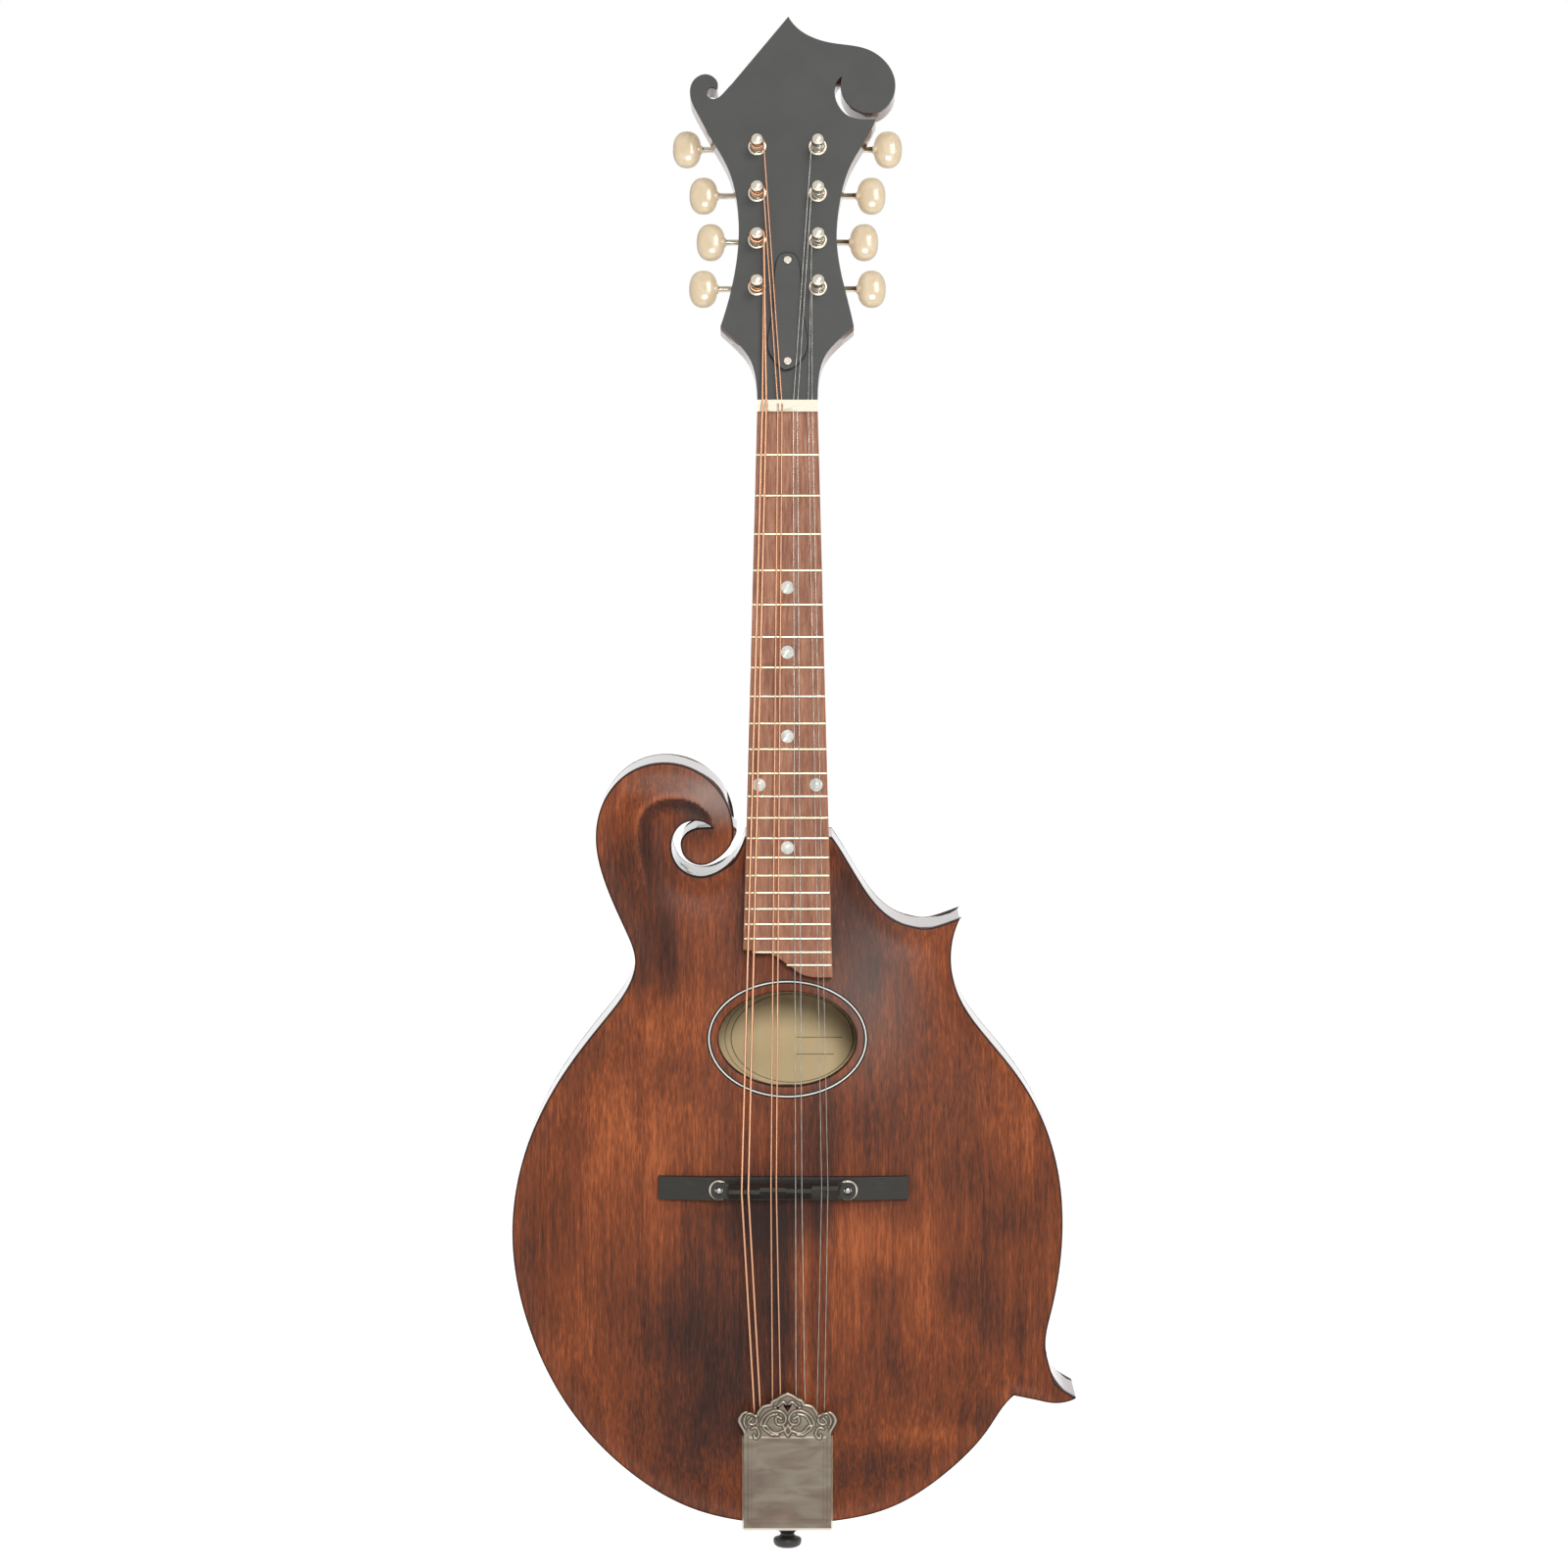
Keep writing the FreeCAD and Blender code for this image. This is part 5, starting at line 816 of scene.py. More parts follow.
def cover_silver(name, look):
    """The engraved cover: worn silver plate, cloudy brown bloom, dirt left in the cuts, and a
    painted highlight on the side walls.
    """
    metal = Finish(name)
    flow = metal.clouds((40, 40, 120), 3.0, 0.5, 0.9)
    cloud = metal.clouds((46, 46, 70), 3.0, 0.5, 0.8, place=(0.4, 0.1, 0.2))
    fine = metal.clouds((900, 900, 2400), 2.0, 0.6)
    dirt = metal.marked("cut").band(0.08, 0.75)
    worn = metal.marked("ridge").band(0.3, 0.95)
    colour = metal.mixed(flow.band(0.3, 0.7), look.cover_bloom, look.cover_silver)
    colour = metal.mixed(cloud.band(0.52, 0.72) * 0.55, colour, tone(112, 94, 84))
    colour = metal.mixed(worn * 0.35, colour, tone(206, 198, 178))
    colour = metal.mixed(dirt * 0.6, colour, tone(44, 39, 32))
    # Painted highlight: the side and bottom walls turn pale cream and less metallic.
    wall = metal.marked("ridge").band(1.2, 1.6)
    colour = metal.mixed(wall, colour, tone(226, 216, 190))
    rough = 0.34 + (flow - 0.5) * 0.16 + dirt * 0.3 + (fine - 0.5) * 0.08
    return metal.done(Base_Color=colour, Metallic=1 - wall * 0.6, Roughness=rough,
                      Normal=metal.relief(flow * 0.8 + fine * 0.06, 0.00005, 0.3))


def button_cream(name, look):
    """Moulded cream: milky swirl under a clear gloss."""
    plastic = Finish(name)
    swirl = plastic.clouds((160, 160, 110), 3.0, 0.5, 1.5)
    colour = plastic.mixed(swirl.band(0.35, 0.7), look.button_cream, tone(219, 201, 171))
    return plastic.done(Base_Color=colour, Roughness=0.2 + (swirl - 0.5) * 0.06,
                        Coat_Weight=0.4, Coat_Roughness=0.08)


def plain_finish(name, light, dark, scale, rough, metres=0.00002, metallic=0.0, sheen=0.5):
    """A small part's finish: two close colours by noise, with matching roughness and bump."""
    small = Finish(name)
    soft = small.clouds(scale, 3.0, 0.55)
    colour = small.mixed(soft.band(0.3, 0.72), dark, light)
    return small.done(Base_Color=colour, Metallic=metallic, Roughness=rough + (soft - 0.5) * 0.15,
                      Normal=small.relief(soft, metres, 0.4), Specular_IOR_Level=sheen)


def pearl(name):
    """Shell inlay: pale silver cells with a faint pink and green play."""
    shell = Finish(name)
    cells = shell.node("ShaderNodeTexVoronoi", {"feature": "SMOOTH_F1"},
                       {"Vector": shell.mapped((900, 900, 520)), "Scale": 1.0})
    play = shell.clouds((300, 300, 700), 2.0, 0.5, 1.0)
    colour = shell.ramp(play, (0.3, tone(196, 190, 184)), (0.5, tone(206, 210, 204)),
                        (0.7, tone(232, 230, 224)))
    colour = shell.mixed(cells.band(0.2, 0.9) * 0.3, colour, tone(168, 170, 166))
    return shell.done(Base_Color=colour, Roughness=0.24 + (play - 0.5) * 0.1, Coat_Weight=0.3)


def label_paper(name, look):
    """Cream paper with an oval border of two thin lines and two ruled blanks."""
    paper = Finish(name)
    x, y, z = paper.parts()
    fibre = paper.clouds(1100, 3.0, 0.7)
    stains = paper.clouds(30, 2.0, 0.5)
    colour = paper.mixed(stains.band(0.35, 0.75) * 0.5, look.label_cream, tone(232, 202, 152))
    colour = paper.mixed(fibre.band(0.55, 0.8) * 0.2, colour, tone(170, 148, 112))
    across, along = (x - 2.2 * MM) / (28.6 * MM), (z - (HOLE_Z - 7.0) * MM) / (21.0 * MM)
    reach = (across * across + along * along).step("SQRT")
    ink = 1 - abs(reach - 1.0).band(0.004, 0.013)
    ink = ink + (1 - abs(reach - 1.1).band(0.003, 0.010)) * 0.8
    for height, low, high in ((-6.6, 4.0, 26.0), (-14.6, 4.0, 22.0)):
        line = 1 - abs(z - (HOLE_Z + height) * MM).band(0.12 * MM, 0.24 * MM)
        ink = ink + line * (x - low * MM).band(0.0, 0.3 * MM) * (high * MM - x).band(0.0, 0.3 * MM)
    colour = paper.mixed(ink.held() * 0.8, colour, tone(62, 54, 46))
    return paper.done(Base_Color=colour, Roughness=0.8 + (fibre - 0.5) * 0.1,
                      Specular_IOR_Level=0.2)


def ring_inlay(name):
    """Black, white and black by the place across the ring."""
    inlay = Finish(name)
    across = inlay.marked("across")
    white = across.band(0.36, 0.4) * (1 - across.band(0.62, 0.66))
    soft = inlay.clouds(900, 2.0, 0.5)
    colour = inlay.mixed(white, tone(8, 7, 7), tone(236, 234, 226))
    colour = inlay.mixed(soft.band(0.5, 0.8) * 0.15, colour, tone(120, 112, 98))
    return inlay.done(Base_Color=colour, Roughness=0.5 + (soft - 0.5) * 0.1,
                      Specular_IOR_Level=0.2)


def string_wire(name, light, dark, pitch, rough):
    """Round wire: fine windings by a sine of the length along the string."""
    wire = Finish(name)
    along = wire.marked("along")
    turns = (along * (2 * math.pi / pitch)).step("SINE") * 0.5 + 0.5
    soft = wire.clouds((300, 300, 90), 2.0, 0.6)
    colour = wire.mixed((turns * 0.35 + soft * 0.4).held(), light, dark)
    return wire.done(Base_Color=colour, Metallic=1.0, Roughness=rough + (soft - 0.5) * 0.15,
                     Normal=wire.relief(turns, 0.00003, 0.5))


def colour_of(name, description, *screen):
    """A colour setting whose default is a screen colour."""
    return bpy.props.FloatVectorProperty(name=name, description=description, subtype="COLOR",
                                         size=4, min=0, max=1, default=tone(*screen))


def length_of(name, description, low, high, default):
    """A length setting in metres."""
    return bpy.props.FloatProperty(name=name, description=description, subtype="DISTANCE",
                                   unit="LENGTH", min=low, max=high, default=default)


def power_of(name, description, default):
    """A lamp's power setting in watts."""
    return bpy.props.FloatProperty(name=name, description=description, min=0, max=200,
                                   default=default)


class WoodLook(bpy.types.PropertyGroup):
    """Colours of the woods."""

    stain_black: colour_of("Stain, black", "Deepest brown of the stained plates", 50, 34, 30)
    stain_dark: colour_of("Stain, dark", "Dark brown of the stained plates", 82, 47, 35)
    stain_red: colour_of("Stain, red", "Red-brown of the stained plates", 122, 65, 40)
    stain_light: colour_of("Stain, light", "Orange-brown of the stained plates", 176, 98, 58)
    edge_line: colour_of("Edge line", "Near-black line round the plates and the sound hole",
                         24, 18, 16)
    board_light: colour_of("Fingerboard, light", "Pinkish brown of the fingerboard", 180, 130, 102)
    board_dark: colour_of("Fingerboard, dark", "Dark streaks of the fingerboard", 92, 54, 40)
    bridge_wood: colour_of("Bridge", "Grey-black of the bridge", 36, 34, 29)
    head_face: colour_of("Head face", "Charcoal lacquer of the head", 64, 64, 63)


class FittingsLook(bpy.types.PropertyGroup):
    """Colours and sizes of the fittings."""

    nickel: colour_of("Nickel", "Plating of the tuners and posts", 208, 200, 184)
    cover_silver: colour_of("Cover", "Worn silver of the tailpiece cover", 122, 115, 103)
    cover_bloom: colour_of("Cover bloom", "Brown bloom on the tailpiece cover", 101, 88, 79)
    button_cream: colour_of("Buttons", "Cream of the tuner buttons", 209, 189, 156)
    label_cream: colour_of("Label", "Paper of the label", 249, 222, 172)
    button_half_width: length_of("Button half width", "Half of a tuner button's width",
                                 0.003, 0.01, 0.0066)
    button_half_height: length_of("Button half height", "Half of a tuner button's height",
                                  0.004, 0.012, 0.00895)
    button_half_depth: length_of("Button half depth", "Half of a tuner button's thickness",
                                 0.002, 0.006, 0.0037)
    engraving_depth: length_of("Engraving depth", "Height of the lines on the tailpiece cover",
                               0, 0.001, 0.00032)


class SettingLook(bpy.types.PropertyGroup):
    """Camera, lamps and ground."""

    distance: length_of("Camera distance", "From the camera to the end pin, along Y", 1, 6, 3.0186)
    height: length_of("Camera height", "Camera above the end pin's face", 0, 3, 0.6221)
    lens: bpy.props.FloatProperty(
        name="Lens", description="Focal length in millimetres on a 36 mm sensor",
        min=50, max=300, default=150.3)
    key_power: power_of("Key lamp", "Watts of the lamp at the upper right", 20)
    front_power: power_of("Front lamp", "Watts of the lamp beside the camera", 44)
    ground_colour: colour_of("Ground", "Pale ground", 244, 244, 243)


GROUPS = {"mandolin_wood": WoodLook, "mandolin_fittings": FittingsLook,
          "mandolin_setting": SettingLook}


def looks():
    """The groups of settings: woods, fittings and setting."""
    return [getattr(bpy.context.scene, name) for name in GROUPS]


FINISHES = {}


def finish(make, name, *values):
    """A finish that is made once and then shared."""
    if name not in FINISHES:
        FINISHES[name] = make(name, *values)
    return FINISHES[name]


def nickel():
    """Plated metal of the tuners."""
    return finish(bright_metal, "nickel", looks()[1].nickel, 0.2)


def steel():
    """Grey steel of rods, studs and hidden screws."""
    return finish(bright_metal, "steel", tone(150, 148, 144), 0.34)


def inner_wood():
    """Light wood of blocks, linings and brace."""
    return finish(bare_wood, "inner wood", tone(214, 178, 130), tone(150, 108, 66))


RIM_ROUND = 0.9
RIM_ROWS = (0.07, 0.28, 0.6, 0.95, 1.7)
PLATE_STEP = 2.3
SCROLL_STEP = 0.95
SCROLL_LOW = np.array([-95.0, 290.0])
SCROLL_RIGHT = -14.0
WOOD_THICKNESS = 4.3
HOLLOW_INSET = 9.0
HOLLOW_COVE = 14.0
HOLLOW_SINK = 3.0
HOLLOW_TOP = TAIL_Z + 0.78 * BODY_LENGTH


def beside(line, distance):
    """A closed clockwise line moved inwards by the square of its own direction."""
    way = unit(np.roll(line, -1, 0) - np.roll(line, 1, 0))
    return line + distance * np.stack([way[:, 1], -way[:, 0]], 1)


def triangle_grid(low, high, step):
    """Places in rows, every other row moved by half a step, inside a rectangle."""
    rows = np.arange(low[1], high[1], step * 0.866)
    columns = np.arange(low[0], high[0], step)
    x, z = np.meshgrid(columns, rows)
    x = x + (np.arange(len(rows)) % 2 * step / 2)[:, None]
    return np.stack([x.ravel(), z.ravel()], 1)


def hole_line(extra, count=180):
    """The sound hole's oval, larger by a margin: cosine and sine times its half sizes."""
    angle = full_turn(count)
    return (HOLE_HALF + extra) * np.stack([np.cos(angle), np.sin(angle)], 1) + [0, HOLE_Z]


def hole_reach(points):
    """Distance outside the sound hole's oval, near it: the share over one by its own slope."""
    away = (points - [0, HOLE_Z]) / HOLE_HALF
    share = np.linalg.norm(away, axis=1)
    slope = np.linalg.norm(away / HOLE_HALF, axis=1) / np.maximum(share, 1e-6)
    return (share - 1) / np.maximum(slope, 1e-6)


def plan_mesh(outline, holes, inner_points):
    """Triangles that fill an outline less its holes, through the inner points."""
    lines = [outline] + holes
    points = np.concatenate(lines + [inner_points[inside(inner_points, outline)]])
    edges, start = [], 0
    for line in lines:
        order = np.arange(len(line)) + start
        edges.append(np.stack([order, np.roll(order, -1)], 1))
        start += len(line)
    result = delaunay_2d_cdt([Vector(place) for place in points.tolist()],
                             np.concatenate(edges).tolist(), [], 1, 1e-5, False)
    places = np.array([tuple(place) for place in result[0]])
    triangles = np.array(result[2])
    centres = places[triangles].mean(1)
    kept = inside(centres, outline)
    for hole in holes:
        kept &= ~inside(centres, hole)
    return places, triangles[kept], edges


def rounding(distance, radius):
    """Drop of an edge rounded by a quarter circle, at a distance from it."""
    return radius - np.sqrt(np.maximum(radius ** 2 - np.maximum(radius - distance, 0) ** 2, 0))


def two_sheets(plan, front, behind):
    """A plan's triangles at two depths, with walls along its edges."""
    places, triangles, edges = plan
    points = [np.stack([places[:, 0], depth, places[:, 1]], 1) for depth in (front, behind)]
    count = len(places)
    walls = [np.stack([pair[:, 0], pair[:, 1], pair[:, 1] + count, pair[:, 0] + count], 1)
             for pair in edges]
    return np.concatenate(points), [triangles, triangles[:, ::-1] + count] + walls


def plate_plan(with_hole):
    """The plan of a body plate: rows beside the edge, a grid, and a finer grid at the scroll."""
    rows = []
    for distance in RIM_ROWS:
        row = beside(OUTLINE, distance)
        rows.append(row[edge_distance(row) > 0.96 * distance])
    low, high = OUTLINE.min(0) - 1, OUTLINE.max(0) + 1
    wide = triangle_grid(low, high, PLATE_STEP)
    scroll_high = np.array([SCROLL_RIGHT, high[1]])
    close = ((wide > SCROLL_LOW) & (wide < scroll_high)).all(1)
    fine = triangle_grid(SCROLL_LOW, scroll_high, SCROLL_STEP)
    inner = [points[edge_distance(points, EDGE_POINTS) > gap]
             for points, gap in ((wide[~close], 2.6), (fine, 2.1))]
    points = np.concatenate(rows + inner)
    holes = []
    if with_hole:
        holes = [hole_line(0)]
        points = points[hole_reach(points) > 1.9]
        points = np.concatenate([points] + [hole_line(extra) for extra in (0.12, 0.4, 0.9)])
    return plan_mesh(OUTLINE, holes, points)


def hollow(points, height):
    """Height of a plate's inner face: the arch less the thickness, down to the glue plane.

    It sinks by a smooth step of the inset, and by another towards the neck.
    """
    share = smooth_step((soft_inset(points) - HOLLOW_INSET) / HOLLOW_COVE)
    share *= smooth_step((HOLLOW_TOP - points[:, 1]) / HOLLOW_COVE)
    return np.maximum(share * (height - WOOD_THICKNESS + HOLLOW_SINK) - HOLLOW_SINK, 0)


# Cloudy places of the soundboard's stain and painted shadow: centre, reach and strength, dark ones
# below zero.
STAIN_AND_SHADOW_PATCHES = (
    ((-41, 342), (13, 12), -0.2), ((-37, 355), (26, 7), 0.1), ((-41, 108), (26, 48), -0.2),
    # Painted shadows: the dark patch at (-8, 160) is partly the bridge's shadow, and the one at
    # (-22, 299) partly the fingerboard's.
    ((-8, 160), (34, 22), -0.34), ((-55, 56), (40, 30), -0.18), ((-4, 112), (24, 50), -0.14),
    ((-72, 315), (22, 48), -0.26), ((-57, 279), (18, 36), -0.28), ((-22, 299), (12, 44), -0.18),
    ((30, 297), (18, 60), -0.3), ((46, 274), (15, 20), -0.18), ((13, 197), (15, 62), -0.24),
    ((36, 212), (20, 32), -0.14), ((-55, 111), (36, 60), -0.16), ((-25, 80), (17, 50), -0.24),
    ((-22, 136), (20, 60), -0.2), ((-6, 122), (14, 82), -0.24), ((-38, 66), (14, 30), -0.14),
    ((-97, 196), (18, 16), -0.12), ((-117, 140), (10, 60), -0.12), ((81, 181), (20, 14), -0.1),
    ((101, 158), (16, 12), -0.12), ((82, 124), (22, 20), -0.14), ((101, 107), (16, 14), -0.12),
    ((43, 101), (14, 20), -0.1), ((87, 67), (16, 12), -0.14), ((48, 44), (45, 14), -0.2),
    ((30, 35), (20, 16), -0.12), ((-78, 341), (14, 20), 0.12), ((-50, 251), (30, 22), 0.16),
    ((-72, 199), (42, 32), 0.2), ((-85, 144), (32, 34), 0.03), ((-98, 111), (17, 32), 0.16),
    ((-72, 54), (26, 26), 0.1), ((60, 280), (22, 22), 0.16), ((110, 202), (17, 32), 0.14),
    ((44, 149), (42, 22), 0.2), ((29, 116), (14, 42), 0.18), ((60, 114), (22, 26), 0.1),
    ((7, 124), (5, 62), 0.3), ((63, 58), (26, 9), 0.14), ((95, 235), (18, 30), 0.08),
)


# Places painted with a grey sheen, a painted reflection of the lamps on the lacquer, in the same
# form.
PAINTED_SHEEN_PATCHES = (((-31, 352), (22, 13), 0.6), ((-50, 360), (30, 9), 0.24),
                ((38, 262), (34, 50), 0.2))


def patch_share(points, patches):
    """Sum of patches: each fades by a smooth step of the reach in its own oval."""
    total = np.zeros(len(points))
    for centre, reach, strength in patches:
        away = np.linalg.norm((points - centre) / np.array(reach), axis=1)
        total += strength * (1 - smooth_step(away / 1.15))
    return total


def scroll_stain_and_painted_shade(points):
    """Stain and painted shading beside the scroll's crest: a dark bell inside it, partly painted
    shade in the hollow, and a light one on it and outside, partly a painted highlight.
    """
    gap, share, side = crest_place(points)
    fade = smooth_step(share * 7 + 0.25) * smooth_step((1 - share) * 2.0)
    inner = -0.42 * bell(gap - 2.6, 3.4) * (1 - 0.55 * smooth_step(share * 1.6))
    outer = 0.16 * bell(gap - 1.2, 1.6)
    return fade * np.where(side > 0, inner, outer)


def painted_sheen_share(points):
    """Painted sheen, a painted reflection, none in the hollow inside the scroll's crest."""
    gap, share, side = crest_place(points)
    return patch_share(points, PAINTED_SHEEN_PATCHES) * np.where(side > 0, smooth_step(gap / 14), 1.0)


def plate_shell(plan, shape, side, opened):
    """A carved plate from its plan: outer arch, inner hollow and the walls between.

    The outer surface is lowered by a quarter circle at the rim, and at the hole of a plate
    that is opened.
    """
    places = plan[0]
    height = arch(places, *shape)
    rim = edge_distance(places)
    lip = hole_reach(places) if opened else np.full(len(places), 99.0)
    near = np.minimum(rim, lip)
    outer = GLUE_PLANE + height - rounding(near, RIM_ROUND)
    inner = GLUE_PLANE + hollow(places, height)
    tags = {"rim": np.tile(rim, 2), "lip": np.tile(np.maximum(lip, 0), 2),
            # Stain with painted shading: painted shadows among the patches, and the scroll's
            # painted shade and highlight.
            "stain": np.tile(patch_share(places, STAIN_AND_SHADOW_PATCHES) * opened
                             + scroll_stain_and_painted_shade(places), 2),
            # haze: the painted sheen, a painted reflection of the lamps.
            "haze": np.tile(painted_sheen_share(places) * opened, 2)}
    return two_sheets(plan, side * outer, side * inner), tags


class MANDOLIN_OT_carved_top(bpy.types.Operator):
    """Build the carved soundboard with its oval hole"""

    bl_idname = "mandolin.carved_top"
    bl_label = "Carved Top"

    def execute(self, context):
        shell, tags = plate_shell(plate_plan(True), TOP_ARCH, -1, True)
        material = finish(stained_wood, "stained top", looks()[0])
        new_piece("carved_top", shell, "instrument", material, ("soundboard",),
                  attributes=tags, angle=46)
        return {"FINISHED"}


class MANDOLIN_OT_carved_back(bpy.types.Operator):
    """Build the carved back"""

    bl_idname = "mandolin.carved_back"
    bl_label = "Carved Back"

    def execute(self, context):
        shell, tags = plate_shell(plate_plan(False), BACK_ARCH, 1, False)
        angle = full_turn(64)
        span = np.concatenate([np.linspace(0, 1, 9), [1, 0]])[:, None]
        depth = GLUE_PLANE + EDGE_THICKNESS - 0.7 * span ** 8
        depth[-2:] = GLUE_PLANE
        rise = np.sin(angle) * np.where(np.sin(angle) > 0, 7.0, 1.0)
        button = sheet(np.stack([11.5 * np.cos(angle) * span, depth + 0 * angle,
                                 JOINT_Z + rise * span], 2), wrap_columns=True)
        material = finish(stained_wood, "stained body", looks()[0], 0.06)
        new_piece("carved_back", together([shell, button]), "instrument", material,
                  ("back_plate",), angle=46,
                  attributes={key: np.concatenate([value, np.full(len(button[0]), 9.0)])
                              for key, value in tags.items()})
        return {"FINISHED"}


class MANDOLIN_OT_sides(bpy.types.Operator):
    """Finish the ribs, the blocks, the linings and the brace"""

    bl_idname = "mandolin.sides"
    bl_label = "Sides and Blocks"

    def execute(self, context):
        look = looks()[0]
        sides = finish(stained_wood, "stained sides", look, 0.1, False, 1.0)
        refined("ribs", "bent_sides", sides, 30)
        refined("head_block", "scroll_block", sides, 30)
        for node in ("tail_block", "point_blocks", "linings", "cross_brace"):
            paint_node(node, inner_wood())
        return {"FINISHED"}


LABEL_HALF_WIDTH = 42
LABEL_HALF_HEIGHT = 29


class MANDOLIN_OT_sound_hole(bpy.types.Operator):
    """Lay the ring round the sound hole and the paper label under it"""

    bl_idname = "mandolin.sound_hole"
    bl_label = "Ring and Label"

    def execute(self, context):
        look = looks()[1]
        count = 200
        angle = full_turn(count)[None]
        span = np.array([0, 0, 0.06, 0.28, 0.5, 0.72, 0.94, 1, 1])[:, None]
        lift = np.array([-1.0, 0.0, 0.05, 0.07, 0.08, 0.07, 0.05, 0.0, -1.0])[:, None]
        x = (RING_HALF[0] - RING_WIDTH * (1 - span)) * np.cos(angle)
        z = (RING_HALF[1] - RING_WIDTH * (1 - span)) * np.sin(angle) + HOLE_Z
        y = front_y(np.stack([x.ravel(), z.ravel()], 1)).reshape(x.shape) - lift
        ring = sheet(np.stack([x, y, z], 2), wrap_rows=True, wrap_columns=True)
        new_piece("sound_hole_ring", ring, "instrument", finish(ring_inlay, "ring inlay"),
                  ("rosette",), attributes={"across": np.repeat(span[:, 0], count)})
        across, up = np.meshgrid(np.linspace(-LABEL_HALF_WIDTH, LABEL_HALF_WIDTH, 85),
                                 np.linspace(-LABEL_HALF_HEIGHT, LABEL_HALF_HEIGHT, 59))
        places = np.stack([across.ravel(), up.ravel() + HOLE_Z], 1)
        depth = GLUE_PLANE + hollow(places, arch(places, *BACK_ARCH)).reshape(across.shape)
        middle = np.stack([across, depth - 0.45, up + HOLE_Z], 2)
        half = np.array([0, 0.12, 0])
        loop = np.concatenate([middle - half, (middle + half)[:, ::-1]], 1)
        ends = np.concatenate([middle, middle[:, ::-1]], 1)[[0, -1]]
        paper = sheet(np.concatenate([ends[:1], loop, ends[1:]]), wrap_columns=True)
        new_piece("oval_bordered_label", paper, "instrument",
                  finish(label_paper, "label paper", look), ("paper_label",))
        return {"FINISHED"}


class MANDOLIN_OT_neck(bpy.types.Operator):
    """Finish the neck, its rod and the head's face"""

    bl_idname = "mandolin.neck"
    bl_label = "Neck and Head"

    def execute(self, context):
        wood = looks()[0]
        neck = finish(stained_wood, "neck wood", wood, 0.04, False, 1.0)
        refined("neck", "carved_neck", neck, 30)
        lacquer = finish(head_black, "head lacquer", wood)
        refined("head_plate", "lacquered_head_face", lacquer, 30, 0.35)
        places = points_of("truss_cover", HEAD)
        # The rod cover's sides get painted shade, a dark outline standing for its shadow.
        shade_painted = finish(head_black, "outlined lacquer", wood, float(places[:, 1].min()))
        refined("truss_cover", "rod_cover", shade_painted, 30, 0.5, False)
        refined("truss_cover_screws", "rod_cover_screws", nickel(), 30, 0.25)
        bone = finish(plain_finish, "bone", tone(205, 199, 178), tone(194, 184, 157), 260, 0.34)
        refined("nut", "slotted_nut", bone, 30, 0.3)
        paint_node("truss_rod", steel())
        refined("truss_rod_nut", "rod_nut", steel(), 30, 0.2)
        return {"FINISHED"}


def fret_distance(number):
    """Distance of a fret from the nut: each shortens the string by a twelfth root of two."""
    return SCALE_LENGTH * (1 - 2 ** (-number / 12))


def crowned_bar(left, right, z):
    """One fret: a half-oval crown across, drawn in at both ends by a quarter circle."""
    half, middle = (right - left) / 2, (right + left) / 2
    ease = 0.75
    inner = np.linspace(-1, 1, 7) * max(half - ease, 0.05)
    turn = np.linspace(math.pi / 2, 0, 6)[:-1]
    tips = half - ease + ease * np.sin(turn)
    along = np.concatenate([-tips, inner, tips[::-1]])
    size = np.concatenate([np.cos(turn), np.ones(7), np.cos(turn)[::-1]])
    size = np.maximum(size, 0.02)[:, None]
    angle = np.linspace(0, math.pi, 11)[None]
    x = np.repeat((middle + along)[:, None], 13, 1)
    y = -FRET_HEIGHT * np.sin(angle) * size
    across = FRET_WIDTH / 2 * np.cos(angle) * size
    foot = np.full((len(along), 1), 0.12)
    y = np.concatenate([foot, y, foot], 1)
    across = np.concatenate([across[:, :1], across, across[:, -1:]], 1)
    return sheet(NECK.out(np.stack([x, y, z + across], 2)), wrap_columns=True)


class MANDOLIN_OT_fingerboard(bpy.types.Operator):
    """Finish the fingerboard with its inlays and lay the frets"""

    bl_idname = "mandolin.fingerboard"
    bl_label = "Fingerboard and Frets"

    def execute(self, context):
        look = looks()[0]
        board = finish(board_wood, "fingerboard wood", look)
        refined("fingerboard", "streaked_fingerboard", board, 30, 0.12)
        refined("fingerboard_riser", "board_riser", board, 30)
        refined("position_dots", "pearl_dots", finish(pearl, "pearl"), 30)
        places = points_of("frets", NECK)
        bars = []
        for number in range(1, 23):
            z = -fret_distance(number)
            own = places[abs(places[:, 2] - z) < FRET_WIDTH]
            crown = own[own[:, 1] < -0.3]
            bars.append(crowned_bar(crown[:, 0].min(), crown[:, 0].max(), z))
        metal = finish(bright_metal, "fret metal", tone(218, 213, 182), 0.3, 0.3)
        new_piece("crowned_frets", together(bars), "instrument", metal, ("frets",))
        return {"FINISHED"}


def post_height(number):
    """Place of a post along the head."""
    return FIRST_POST + number * POST_SPACING


GEAR_Y = HEAD_THICKNESS + PLATE_THICKNESS + GEAR_STANDOFF
FRONT = -HEAD.turn[:, 1]


